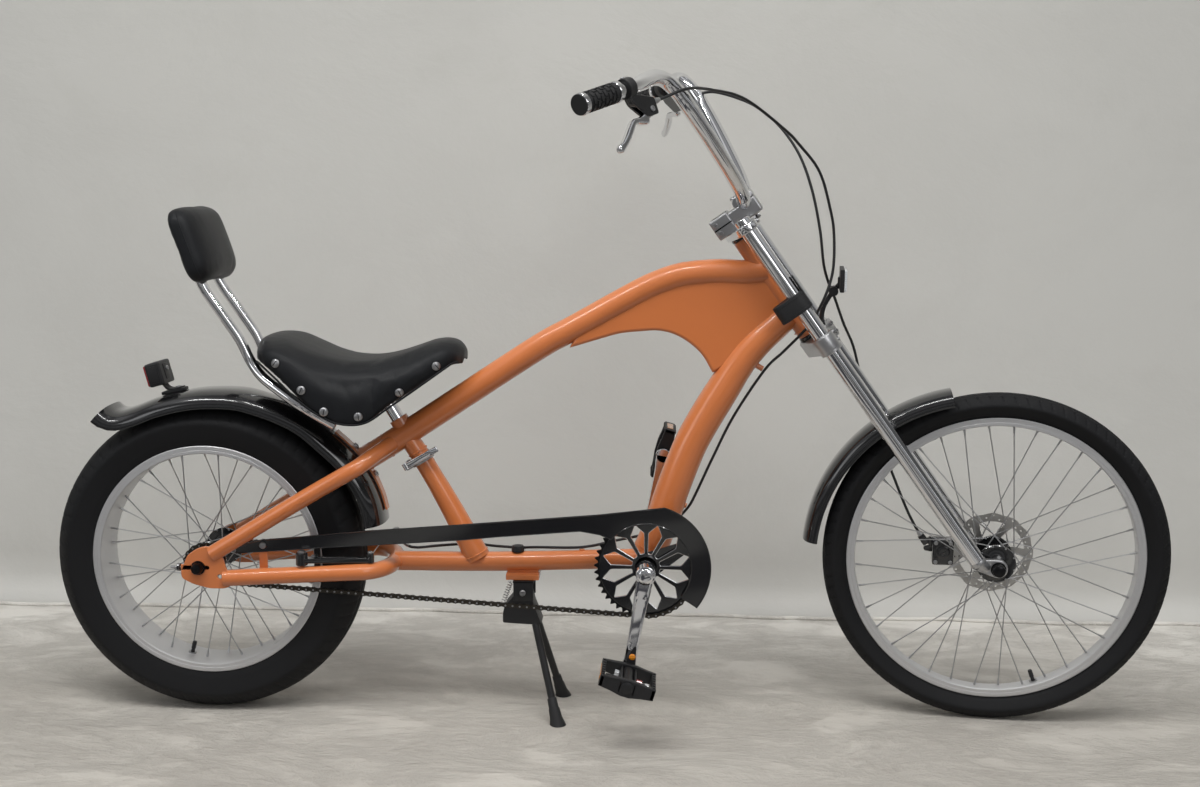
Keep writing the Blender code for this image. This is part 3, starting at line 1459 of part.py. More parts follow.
def stem():
    bottom = UPPER_CROWN_BOTTOM + PLATE_THICKNESS + CLEARANCE
    top = BAR_HEIGHT - CLEARANCE / 2
    body = box("stem", (0.0160, 0, (bottom + top) / 2), (0.0880, 0.0420, top - bottom), STEERING, None, 0.004)
    hole = cylinder(
        "stem_hole", (0, 0, bottom - 0.01), (0, 0, STEERER_TOP + 0.0010), around(STEERER_RADIUS, 16),
        STEERING, 16,
    )
    groove = cylinder(
        "stem_groove", (BAR_AHEAD, -0.05, BAR_HEIGHT), (BAR_AHEAD, 0.05, BAR_HEIGHT), around(BAR_RADIUS, 12),
        STEERING, 12,
    )
    return finish(cut(body, hole, groove), SATIN)


def bar_clamp_cap():
    bottom = BAR_HEIGHT + CLEARANCE / 2
    body = box(
        "bar_clamp_cap", (BAR_AHEAD, 0, bottom + 0.0078), (0.0400, 0.0420, 0.0156), STEERING, None, 0.004,
    )
    groove = cylinder(
        "cap_groove", (BAR_AHEAD, -0.05, BAR_HEIGHT), (BAR_AHEAD, 0.05, BAR_HEIGHT), around(BAR_RADIUS, 12),
        STEERING, 12,
    )
    return finish(cut(body, groove), SATIN)


def fork_leg(name, side):
    """Tube closed at the top, with a wall and an open foot."""
    bore = LEG_RADIUS - LEG_WALL
    profile = [
        (0, LEG_TOP),
        (LEG_RADIUS - 0.002, LEG_TOP),
        (LEG_RADIUS, LEG_TOP - 0.002),
        (LEG_RADIUS, LEG_BOTTOM),
        (bore, LEG_BOTTOM),
        (bore, LEG_TOP - 0.004),
        (0, LEG_TOP - 0.004),
    ]
    return finish(turned(name, profile, STEERING, move(LEG_AHEAD, side * LEG_SPREAD, 0), 14), CHROME)


def fork_end(name, side):
    """Cast end: a plug inside the leg, a shoulder under it and a flat eye on the axle."""
    middle = side * (FORK_END_INNER + FORK_END_THICKNESS / 2)
    outline = capsule((AXLE_OFFSET, 0), 0.0165, (LEG_AHEAD + 0.001, LEG_BOTTOM - 0.013), 0.0115, 4)
    body = side_plate(name, [outline], FORK_END_THICKNESS, middle, STEERING)
    leg = (LEG_AHEAD, side * LEG_SPREAD)
    shoulder = cylinder(
        name + "_shoulder", (LEG_AHEAD + 0.006, side * (LEG_SPREAD - 0.003), 0.010), (*leg, 0.0275), 0.0090,
        STEERING, 12, 0.0136,
    )
    collar = cylinder(
        name + "_collar", (*leg, 0.0250), (*leg, LEG_BOTTOM - CLEARANCE), LEG_RADIUS, STEERING, 12,
    )
    plug_radius = (LEG_RADIUS - LEG_WALL) * math.cos(math.pi / 14) - CLEARANCE
    plug = cylinder(name + "_plug", (*leg, 0.0300), (*leg, 0.0600), plug_radius, STEERING, 12)
    hole = cylinder(
        name + "_eye", (AXLE_OFFSET, side * 0.03, 0), (AXLE_OFFSET, side * 0.09, 0), around(AXLE_RADIUS, 10),
        STEERING, 10,
    )
    return fuse(body, shoulder, collar, plug), hole


def fork_ends():
    right, right_hole = fork_end("right_fork_end", -1)
    finish(cut(right, right_hole), SATIN)
    left, left_hole = fork_end("left_fork_end", 1)
    tab = box("caliper_tab", (0.0020, 0.0585, 0.0210), (0.0360, 0.0080, 0.0200), STEERING)
    finish(cut(fuse(left, tab), left_hole), SATIN)


def bar_at(ahead, across, up):
    """A place on the bar, from the middle of its clamp."""
    return Vector((BAR_AHEAD + ahead, across, BAR_HEIGHT + up))


GRIP_OUTER = bar_at(-0.0870, -0.4000, 0.2690)
BAR_BEND = bar_at(-0.0150, -0.2900, 0.2510)
BAR_END_AXIS = (GRIP_OUTER - BAR_BEND).normalized()
GRIP_LENGTH = 0.0900


def handlebar():
    """Ape hanger: level through the clamp, up and out, then swept back to the grips."""
    half = [
        BAR_BEND,
        bar_at(0.0000, -0.2550, 0.2500),
        bar_at(0.0100, -0.2250, 0.2480),
        bar_at(0.0190, -0.2000, 0.2370),
        bar_at(0.0240, -0.1860, 0.2110),
        bar_at(0.0240, -0.1750, 0.1810),
        bar_at(0.0210, -0.1400, 0.1260),
        bar_at(0.0140, -0.0850, 0.0530),
        bar_at(0.0080, -0.0560, 0.0190),
        bar_at(0.0020, -0.0380, 0.0030),
        bar_at(0, -0.0280, 0),
    ]
    run = [GRIP_OUTER] + smooth_route(half, 0.042)
    across = run + [Vector((BAR_AHEAD, 0, BAR_HEIGHT))] + [Vector((p.x, -p.y, p.z)) for p in reversed(run)]
    return finish(tube("handlebar", across, BAR_RADIUS, STEERING, 2), CHROME)


def grip(name, side):
    """Ribbed rubber sleeve, closed over the end of the bar."""
    outer = GRIP_OUTER + BAR_END_AXIS * 0.0040
    inner = GRIP_OUTER - BAR_END_AXIS * GRIP_LENGTH
    start = Vector((inner.x, side * -inner.y, inner.z))
    end = Vector((outer.x, side * -outer.y, outer.z))
    length = (end - start).length
    ribs = 5
    profile = [(0, length), (GRIP_RADIUS * 0.94, length), (GRIP_RADIUS, length - 0.003)]
    for i in range(ribs):
        top = length - 0.008 - i * (length - 0.014) / ribs
        profile += [(GRIP_RADIUS, top), (GRIP_RADIUS - 0.0018, top - 0.0035)]
    profile += [
        (GRIP_RADIUS, 0.0), (around(BAR_RADIUS, 10), 0.0), (around(BAR_RADIUS, 10), length - 0.0036),
        (0, length - 0.0036),
    ]
    return finish(turned(name, profile, STEERING, aimed(start, end - start), 10), RUBBER)


def bar_point(back, side):
    """A place on the bar's end stretch, this far inboard of the grip."""
    start = GRIP_OUTER - BAR_END_AXIS * (GRIP_LENGTH + back)
    return Vector((start.x, -side * start.y, start.z))


def bar_along(side):
    return Vector((BAR_END_AXIS.x, -side * BAR_END_AXIS.y, BAR_END_AXIS.z))


def lever_frame(side):
    """Local x runs out along the bar, local y from the bar to the lever, local z along the lever's pin."""
    out = bar_along(side)
    centre = bar_point(0.0200, side)
    drop = Vector((-0.200, side * 0.029, -0.979))
    drop = (drop - out * drop.dot(out)).normalized()
    pin = out.cross(drop)
    return Matrix.Translation(centre) @ Matrix((out, drop, pin)).transposed().to_4x4()


LEVER_PIN = (-0.0290, 0.0420)


def lever_body(name, side):
    """Clamp ring, a block down to the pin with a slot for the blade, and the cable's adjuster barrel."""
    place = lever_frame(side)
    sleeve = ring(
        name, around(BAR_RADIUS, 14), BAR_RADIUS + 0.0050, -0.0080, 0.0080, STEERING,
        place @ turn(math.radians(90), "Y"), 14,
    )
    outline = [
        (-0.0080, 0.0130), (0.0080, 0.0130), (0.0060, 0.0260), (-0.0160, 0.0520), (-0.0400, 0.0520),
        (-0.0440, 0.0260), (-0.0260, 0.0200),
    ]
    block = plate(name + "_block", [outline], 0.0150, STEERING, place)
    barrel = cylinder(
        name + "_barrel", place @ Vector((-0.0400, 0.0320, 0)), place @ Vector((-0.0600, 0.0320, 0)), 0.0045,
        STEERING, 10,
    )
    slot = box(name + "_slot", (0, 0, 0), (0.0700, 0.0360, LEVER_BLADE + 2 * CLEARANCE), STEERING)
    slot.matrix_local = place @ move(-0.0180, 0.0520, 0)
    return finish(cut(fuse(sleeve, block, barrel), slot), BLACK_PLASTIC)


LEVER_BLADE = 0.0060


def brake_lever(name, side):
    """Blade with a bent tip, turning on the pin in the lever body."""
    home = axis_empty(name + "_axis", lever_frame(side) @ move(*LEVER_PIN, 0), STEERING)
    outline = [
        (-0.0060, -0.0020),
        (0.0000, -0.0052),
        (0.0200, 0.0020),
        (0.0480, 0.0150),
        (0.0760, 0.0300),
        (0.0960, 0.0370),
        (0.1010, 0.0440),
        (0.0970, 0.0500),
        (0.0900, 0.0470),
        (0.0730, 0.0400),
        (0.0440, 0.0270),
        (0.0160, 0.0130),
        (-0.0030, 0.0080),
    ]
    blade = plate(name, [outline], LEVER_BLADE, home)
    return finish(blade, BLACK_PLASTIC)


def front_fender():
    """Short fender whose arc opens towards the rear, on two bosses between the legs."""
    x, z = AXLE_OFFSET - 0.0219, 0.0158
    reach = FRONT_TYRE_RADIUS + 0.0105
    height = reach + 0.0048
    route = arc(x, z, reach, 139.5, 66, 10)
    skin = shell("front_fender", route, fender_section(0.0370, 0.0240), 0.0018, STEERING)
    bosses = []
    for side in (-1, 1):
        start = (LEG_AHEAD, side * 0.0330, height)
        end = (LEG_AHEAD, side * (LEG_SPREAD - LEG_RADIUS - CLEARANCE), height)
        bosses.append(cylinder(f"fender_boss_{side}", start, end, 0.0060, STEERING, 10))
    return finish(fuse(skin, *bosses), BLACK_PAINT)


def front_reflector():
    """Upright lens ahead of the head tube, on a bent wire from the lower crown."""
    route = [
        (0.0300, 0, LOWER_CROWN_TOP + 0.0030), (0.0340, 0, 0.5300), (0.0480, 0, 0.5450), (0.0700, 0, 0.5560),
        (0.0960, 0, 0.5640),
    ]
    wire = tube("front_reflector", smooth_route(route, 0.012), 0.0028, STEERING, 2)
    foot = cylinder(
        "reflector_base", (0.0300, 0, LOWER_CROWN_TOP + CLEARANCE), (0.0300, 0, LOWER_CROWN_TOP + 0.0050),
        0.0070, STEERING, 12,
    )
    lens = box("reflector_lens", (0, 0, 0), (0.0120, 0.0560, 0.0400), STEERING, None, 0.002)
    lens.matrix_local = move(0.1030, 0, 0.5665) @ turn(HEAD_LEAN, "Y")
    return finish(fuse(wire, foot, lens), WHITE_LENS)


def leg_band():
    """Strap round the right leg with a cable guide behind it."""
    strap = ring(
        "leg_band", around(LEG_RADIUS, 16), LEG_RADIUS + 0.0042, 0.5670, 0.6000, STEERING,
        move(LEG_AHEAD, -LEG_SPREAD, 0), 16,
    )
    guide = box("leg_band_guide", (-0.0080, -LEG_SPREAD - 0.0090, 0.5835), (0.0250, 0.0180, 0.0290), STEERING)
    tail = box(
        "leg_band_tail", (LEG_AHEAD + LEG_RADIUS + 0.0025, -LEG_SPREAD - 0.0020, 0.6130),
        (0.0040, 0.0120, 0.0330), STEERING,
    )
    return finish(fuse(strap, guide, tail), BLACK_PLASTIC)


CALIPER = (-0.0270, 0.0490)


def front_caliper():
    """Housing across the rotor, an ear on the left fork end's tab, and the cable's stop."""
    x, z = CALIPER
    inner = 0.0222
    outer = 0.0480
    aim = turn(math.radians(35), "Y")
    body = box(
        "front_caliper", (x, (inner + outer) / 2, z), (0.0400, outer - inner, 0.0500), STEERING, aim, 0.004,
    )
    ear = box("caliper_ear", (-0.0080, 0.0480, 0.0300), (0.0180, 0.0124, 0.0200), STEERING)
    stop = box("caliper_stop", (-0.0440, 0.0425, 0.0830), (0.0130, 0.0105, 0.0200), STEERING)
    neck = box("caliper_neck", (-0.0360, 0.0420, 0.0720), (0.0120, 0.0090, 0.0200), STEERING)
    slot = cylinder(
        "rotor_slot", (AXLE_OFFSET, ROTOR_Y - 0.0018, 0), (AXLE_OFFSET, ROTOR_Y + 0.0018, 0),
        ROTOR_RADIUS + 0.0012, STEERING, 40,
    )
    return finish(cut(fuse(body, ear, stop, neck), slot), BLACK_PAINT)


def caliper_arm():
    home = axis_empty("caliper_arm_axis", move(CALIPER[0], 0, CALIPER[1]), STEERING)
    outline = capsule((0, 0), 0.0100, (-0.0230, 0.0150), 0.0050, 6)
    return finish(
        side_plate("caliper_arm", [outline], 0.0036, 0.0480 + CLEARANCE + 0.0018, home), BLACK_PAINT,
    )


def front_axle():
    """Axle with a domed nut outside each fork end."""
    seat = FORK_END_INNER + FORK_END_THICKNESS + CLEARANCE
    place = move(AXLE_OFFSET, 0, 0) @ ALONG_Y
    body = axle("front_axle", FORK_END_INNER - CLEARANCE, 0.0493, seat + 0.0080, STEERING, place)
    nuts = [axle_nut(f"front_nut_{side}", side, AXLE_OFFSET, 0, seat, 0.0115, STEERING) for side in (-1, 1)]
    return finish(fuse(body, *nuts), STEEL)


# Rear brake arms and both cables


def brake_arm(name, side):
    """Sleeve on the stud, a flat arm forward to the cable, and a block facing the rim."""
    home = axis_empty(name + "_axis", move(BRAKE_PIVOT_X, side * STAY_Y, BRAKE_PIVOT_Z))
    low = 0.0025
    sleeve = cylinder(name, (0, 0, low), (0, 0, 0.0245), 0.0105, home, 12)
    bar_outline = capsule((0, 0), 0.0090, (0.1196, -side * 0.0090), 0.0060, 3)
    arm = plate(name + "_bar", [bar_outline], 0.0090, home, move(0, 0, low + 0.0090))
    boss = cylinder(
        name + "_boss", (0.1196, -side * 0.0090, low + 0.0040), (0.1196, -side * 0.0090, 0.0240), 0.0072,
        home, 9,
    )
    pad_y = REAR_RIM_HALF + 0.0020 - STAY_Y
    post = cylinder(
        name + "_post", (0.0182, 0, 0.0115), (0.0182, side * (pad_y + 0.0060), 0.0115), 0.0030, home, 6,
    )
    pad = box(name + "_pad", (0.0182, side * (pad_y + 0.0045), 0.0115), (0.0100, 0.0090, 0.0460), home)
    stud_hole = cylinder(name + "_stud_hole", (0, 0, -0.01), (0, 0, 0.04), around(0.0040, 10), home, 10)
    passing = NOODLE_RADIUS if side > 0 else WIRE_RADIUS
    cable_hole = cylinder(
        name + "_cable_hole", (0.1196, -0.03, 0.0175), (0.1196, 0.03, 0.0175), around(passing, 8), home, 8,
    )
    return finish(cut(fuse(sleeve, arm, boss, post, pad), stud_hole, cable_hole), BLACK_PAINT)


NOODLE_RADIUS = 0.0027
WIRE_RADIUS = 0.0009
CABLE_RADIUS = 0.0025


def lever_cable_start(side):
    place = lever_frame(side)
    return [place @ Vector((-0.0600 - CLEARANCE, 0.0320, 0)), place @ Vector((-0.0720, 0.0320, 0))]


def rear_brake_cable():
    """From the right lever, ahead of the bar and the head tube, down the frame to the brake.

    The housing ends in a bent guide tube through the left arm, and the bare wire goes on to the right arm.
    """
    start = lever_cable_start(-1) + [Vector((0.0820, -0.2150, 0.9800)), Vector((0.0890, -0.1800, 0.9700))]
    route = [STEERING.matrix_world @ p for p in start] + [
        (0.1620, -0.1350, 1.1080),
        (0.1950, -0.0900, 1.1120),
        (0.2380, -0.0400, 1.0980),
        (0.3000, 0.0050, 1.0500),
        (0.3450, 0.0120, 1.0000),
        (0.3750, 0.0080, 0.9500),
        (0.3920, 0.0000, 0.9000),
        (0.3960, -0.0080, 0.8600),
        (0.3920, -0.0200, 0.8100),
        (0.3760, -0.0300, 0.7600),
        (0.3520, -0.0260, 0.7150),
        (0.3120, -0.0080, 0.6680),
        (0.2800, 0.0, 0.6336),
        (0.2270, 0.0, 0.5500),
        (0.1920, 0.0, 0.4760),
        (0.1620, 0.0, 0.4080),
        (0.1500, 0.0, 0.3850),
        (0.1330, 0.0220, 0.3600),
        (0.1080, 0.0390, 0.3350),
        (0.0700, 0.0410, 0.3220),
        (0.0200, 0.0260, 0.3140),
        (-0.0409, 0.0, 0.3072),
        (-0.1200, 0.0030, 0.3050),
        (-0.1570, 0.0180, 0.3000),
        (-0.2000, 0.0260, 0.3000),
        (-0.2400, 0.0310, 0.3020),
        (-0.2900, 0.0240, 0.3010),
        (-0.3400, 0.0020, 0.3010),
        (-0.3560, 0.0030, 0.3030),
    ]
    noodle_route = [
        (-0.3660, 0.0130, 0.3060),
        (-0.3780, 0.0400, 0.3150),
        (-0.3880, 0.0750, 0.3170),
        (-0.3980, 0.0980, 0.3120),
        (-0.4090, 0.1010, 0.3050),
        (-0.4112, 0.0930, 0.3035),
        (-0.4112, 0.0650, 0.3035),
    ]
    housing = smooth_route(route, 0.052)
    noodle = smooth_route(noodle_route, 0.016)
    wire = [Vector((-0.4112, 0.0640, 0.3035)), Vector((-0.4112, -0.0930, 0.3035))]
    shares = [1] * len(housing) + [
        NOODLE_RADIUS / CABLE_RADIUS
    ] * len(noodle) + [WIRE_RADIUS / CABLE_RADIUS] * 2
    made = tube("rear_brake_cable", housing + noodle + wire, CABLE_RADIUS, None, 2, shares)
    return finish(made, BLACK_PLASTIC)


def front_brake_cable():
    """From the left lever, ahead of the crowns and round the left leg to the caliper."""
    route = lever_cable_start(1) + [
        (0.0840, 0.2150, 0.9850),
        (0.1000, 0.1700, 0.9950),
        (0.1180, 0.1250, 1.0060),
        (0.1380, 0.0800, 0.9990),
        (0.1600, 0.0450, 0.9500),
        (0.1690, 0.0250, 0.8900),
        (0.1650, 0.0150, 0.8200),
        (0.1480, 0.0100, 0.7500),
        (0.1240, 0.0120, 0.6700),
        (0.0950, 0.0200, 0.6000),
        (0.0700, 0.0420, 0.5400),
        (0.0560, 0.0700, 0.4900),
        (0.0450, 0.0920, 0.4400),
        (0.0180, 0.0960, 0.3700),
        (-0.0080, 0.0870, 0.2900),
        (-0.0240, 0.0700, 0.2150),
        (-0.0380, 0.0520, 0.1500),
        (-0.0430, 0.0445, 0.1150),
        (-0.0440, 0.0430, 0.0938),
    ]
    return finish(
        tube("front_brake_cable", smooth_route(route, 0.052), CABLE_RADIUS, STEERING, 2), BLACK_PLASTIC,
    )


def stand_spring():
    """Coil from the bracket's rear edge to the block's lobe, as one unbroken wire with straight tails."""
    start = placed_point(-0.1691, 0, 0.2435)
    end = placed_point(-0.1874, 0, 0.1937)
    run = end - start
    aim = aimed(start, run)
    curls = 3
    radius = 0.0040
    length = run.length
    points = [Vector((radius, 0, 0.001))]
    for i in range(curls * 8 + 1):
        angle = 2 * math.pi * i / 8
        points.append(
            Vector(
                (
                    radius * math.cos(angle), radius * math.sin(angle),
                    0.004 + (length - 0.008) * i / (curls * 8),
                )
            )
        )
    points.append(Vector((radius, 0, length - 0.001)))
    pitch = (length - 0.008) / curls
    print(f"stand spring: least gap between turns {1000 * (pitch - 2 * 0.0008):.2f} mm")
    return finish(tube("stand_spring", [aim @ p for p in points], 0.0008, None, 1), STEEL)


def build_frame_body():
    frame()
    seat_clamp()
    seat_clamp_lever()
    headset("headset_upper", HEAD_TUBE_TOP + CLEARANCE, HEAD_TUBE_TOP + CLEARANCE + HEADSET_RING, 1)
    headset("headset_lower", HEAD_TUBE_BOTTOM - CLEARANCE - HEADSET_RING, HEAD_TUBE_BOTTOM - CLEARANCE, -1)
    rear_axle()
    chain_guard()
    rear_fender()
    rear_reflector()
    stand_bracket()
    kickstand()
    stand_spring()


def build_seat_body():
    seat_pad()
    seatpost()
    sissy_bar()
    backrest_pad()


def build_fork_body():
    lower_crown()
    upper_crown()
    stem()
    bar_clamp_cap()
    fork_leg("right_leg", -1)
    fork_leg("left_leg", 1)
    fork_ends()
    handlebar()
    grip("right_grip", -1)
    grip("left_grip", 1)
    lever_body("right_lever_body", -1)
    lever_body("left_lever_body", 1)
    brake_lever("right_brake_lever", -1)
    brake_lever("left_brake_lever", 1)
    front_fender()
    front_reflector()
    leg_band()
    front_caliper()
    caliper_arm()
    front_axle()


def build_rear_brake():
    brake_arm("rear_brake_arm_right", -1)
    brake_arm("rear_brake_arm_left", 1)


bpy.context.view_layer.update()
wheels()
drivetrain()
build_frame_body()
build_seat_body()
build_fork_body()
build_rear_brake()
rear_brake_cable()
front_brake_cable()
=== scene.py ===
"""Looks for a chopper bicycle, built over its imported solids.

Every piece is made where its solid lies, in metres, and moves with the body that carries it.
"""

import math

import bmesh
import bpy
from mathutils import Matrix, Vector
from mathutils.bvhtree import BVHTree


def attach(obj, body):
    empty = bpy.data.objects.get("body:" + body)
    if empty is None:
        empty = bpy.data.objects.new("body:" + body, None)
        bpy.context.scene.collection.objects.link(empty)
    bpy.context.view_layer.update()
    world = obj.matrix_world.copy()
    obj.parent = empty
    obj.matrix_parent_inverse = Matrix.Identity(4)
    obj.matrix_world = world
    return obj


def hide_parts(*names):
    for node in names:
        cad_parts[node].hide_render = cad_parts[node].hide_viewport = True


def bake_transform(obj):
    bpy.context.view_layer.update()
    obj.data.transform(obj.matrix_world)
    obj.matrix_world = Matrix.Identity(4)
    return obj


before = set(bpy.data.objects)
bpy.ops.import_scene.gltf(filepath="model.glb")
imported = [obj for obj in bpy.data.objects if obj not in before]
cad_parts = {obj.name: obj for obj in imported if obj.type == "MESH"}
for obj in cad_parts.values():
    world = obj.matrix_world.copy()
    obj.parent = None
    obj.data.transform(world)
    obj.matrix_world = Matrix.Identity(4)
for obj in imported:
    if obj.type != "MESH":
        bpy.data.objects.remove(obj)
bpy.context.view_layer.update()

# Sizes shared with the solids
REAR_AXLE = Vector((-0.7141, 0, 0.282))
BRACKET = Vector((0.0753, 0, 0.2883))
SEAT_FOOT, SEAT_HEAD = Vector((-0.333, 0, 0.475)), Vector((-0.39, 0, 0.568))
SEAT_ALONG = (SEAT_HEAD - SEAT_FOOT).normalized()
STEER_REST = math.radians(6.5)
HEAD_LEAN = math.radians(35.75)
AXLE_AHEAD = 0.0434
LEG_AHEAD = 0.0216
LEG_SPREAD = 0.0625
STAY_SPREAD = 0.085
CRANK_LENGTH = 0.17
CRANK_TURN = 9.7
CHAIN_PLANE = 0.06
CHAIN_PITCH = 0.0127
RING_TEETH = 44
COG_TEETH = 16
BRAKE_POST = -0.5308
GUARD_TAB = -0.6036
BAR_AHEAD = 0.04
BAR_HEIGHT = 0.776


def turn(degrees, axis):
    return Matrix.Rotation(math.radians(degrees), 4, axis)


def move(x, y, z):
    return Matrix.Translation((x, y, z))


def aimed(origin, direction):
    return Matrix.Translation(origin) @ Vector(direction).to_track_quat("Z", "Y").to_matrix().to_4x4()


def axes(origin, *directions):
    """Local x, y and z along three directions."""
    return Matrix.Translation(origin) @ Matrix(directions).transposed().to_4x4()


def full_turn(count):
    """Even angles round a circle."""
    return [2 * math.pi * i / count for i in range(count)]


def polar(radius, angle):
    return radius * math.cos(angle), radius * math.sin(angle)


ALONG_Y = turn(-90, "X")
UPRIGHT = turn(90, "X")
HEAD = move(0.65918, 0, 0.2759) @ Matrix.Rotation(-HEAD_LEAN, 4, "Y")
STEERING = HEAD @ Matrix.Rotation(-STEER_REST, 4, "Z")
WHEEL_LEAN = math.atan2(math.sin(HEAD_LEAN) * math.cos(STEER_REST), math.cos(HEAD_LEAN))
FRONT_WHEEL = STEERING @ move(AXLE_AHEAD, 0, 0) @ Matrix.Rotation(WHEEL_LEAN, 4, "Y")
REAR_WHEEL = Matrix.Translation(REAR_AXLE)
CRANKS = Matrix.Translation(BRACKET) @ turn(CRANK_TURN, "Y")
STAND = move(-0.146, 0, 0.228)

# Effects that several finishes share


def effect(name, inputs, outputs):
    """An empty shader group with plain number inputs, and the place in the object's own space."""
    made = bpy.data.node_groups.new(name, "ShaderNodeTree")
    for label, value in inputs.items():
        made.interface.new_socket(label, in_out="INPUT", socket_type="NodeSocketFloat").default_value = value
    for label in outputs:
        made.interface.new_socket(label, in_out="OUTPUT", socket_type="NodeSocketFloat")
    where = made.nodes.new("ShaderNodeTexCoord").outputs["Object"]
    return made, made.nodes.new("NodeGroupInput").outputs, made.nodes.new("NodeGroupOutput").inputs, where


def linked(tree, kind, links=None, **values):
    """A node whose sockets take numbers, or the sockets of other nodes."""
    node = tree.nodes.new(kind)
    for key, value in values.items():
        setattr(node, key, value)
    for key, value in (links or {}).items():
        if isinstance(value, bpy.types.NodeSocket):
            tree.links.new(value, node.inputs[key])
        else:
            node.inputs[key].default_value = value
    return node


def sums(tree, operation, first, second=0.0, clamp=False):
    return linked(tree, "ShaderNodeMath", {0: first, 1: second}, operation=operation, use_clamp=clamp).outputs[0]


def noise(tree, where, scale, detail, roughness=0.5, distortion=0.0):
    values = {"Vector": where, "Scale": scale, "Detail": detail, "Roughness": roughness, "Distortion": distortion}
    return linked(tree, "ShaderNodeTexNoise", values).outputs


def spread(tree, value, low=0.0, high=1.0, to_low=0.0, to_high=1.0):
    """Maps low to to_low and high to to_high, and clamps."""
    values = {"Value": value, "From Min": low, "From Max": high, "To Min": to_low, "To Max": to_high}
    return linked(tree, "ShaderNodeMapRange", values).outputs[0]


def stretched(tree, where, scale):
    return linked(tree, "ShaderNodeVectorMath", {0: where, 1: scale}, operation="MULTIPLY").outputs[0]


def stretched_along(tree, where, given):
    scale = linked(tree, "ShaderNodeCombineXYZ", {i: given[f"Along {axis}"] for i, axis in enumerate("XYZ")})
    return stretched(tree, where, scale.outputs[0])


def grain_effect():
    """Fine even relief with slow blotches, for paint, plastic, rubber and cast metal."""
    tree, given, result, where = effect("fine_grain", {"Scale": 400, "Blotch Scale": 9}, ["Height", "Blotches"])
    tree.links.new(noise(tree, where, given["Scale"], 2)[0], result["Height"])
    tree.links.new(noise(tree, where, given["Blotch Scale"], 5)[0], result["Blotches"])
    return tree


def dust_and_top_light_effect():
    """A lighter colour on what faces up, broken by noise: settled dust, and a painted highlight from the light above.
    """
    tree, given, result, where = effect("dust_and_top_light", {"Amount": 0.3}, ["Dust"])
    normal = tree.nodes.new("ShaderNodeNewGeometry").outputs["Normal"]
    up = linked(tree, "ShaderNodeSeparateXYZ", {0: normal}).outputs["Z"]
    patches = spread(tree, noise(tree, where, 34, 8, 0.7)[0], 0.35, 0.75)
    both = sums(tree, "MULTIPLY", spread(tree, up, 0.1), patches)
    tree.links.new(sums(tree, "MULTIPLY", both, given["Amount"], True), result["Dust"])
    return tree


def leather_effect():
    """Small rounded cells parted by creases, as on coated seat leather."""
    tree, given, result, where = effect("leather_cells", {"Scale": 420}, ["Height", "Creases"])
    bent = stretched(tree, noise(tree, where, 60, 3)["Color"], (0.012, 0.012, 0.012))
    there = linked(tree, "ShaderNodeVectorMath", {0: where, 1: bent}, operation="ADD").outputs[0]
    values = {"Vector": there, "Scale": given["Scale"]}
    cells = linked(tree, "ShaderNodeTexVoronoi", values, feature="DISTANCE_TO_EDGE")
    crease = spread(tree, cells.outputs["Distance"], 0, 0.22)
    tree.links.new(crease, result["Height"])
    # Creases is 1 along the creases, where the seat's finish paints shade.
    tree.links.new(sums(tree, "SUBTRACT", 1, crease), result["Creases"])
    return tree


def brushing_effect():
    """Long fine scratches; each of the three scales gives how short they are along that axis."""
    tree, given, result, where = effect("brushing", {"Along X": 8, "Along Y": 900, "Along Z": 8}, ["Height", "Streaks"])
    streaks = noise(tree, stretched_along(tree, where, given), 1, 3)[0]
    for label in ("Height", "Streaks"):
        tree.links.new(streaks, result[label])
    return tree


def prism_effect():
    """A grid of small pyramids, as moulded inside a reflector."""
    tree, given, result, where = effect("prisms", {"Scale": 420}, ["Height"])
    parts = linked(tree, "ShaderNodeSeparateXYZ", {0: where}).outputs
    waves = [sums(tree, "PINGPONG", sums(tree, "MULTIPLY", parts[axis], given["Scale"]), 1) for axis in "XYZ"]
    total = sums(tree, "ADD", sums(tree, "ADD", waves[0], waves[1]), waves[2])
    tree.links.new(sums(tree, "MULTIPLY", total, 0.33), result["Height"])
    return tree


GRAIN = grain_effect()
DUST_AND_TOP_LIGHT = dust_and_top_light_effect()
LEATHER_CELLS = leather_effect()
BRUSHING = brushing_effect()
PRISMS = prism_effect()

# Finishes


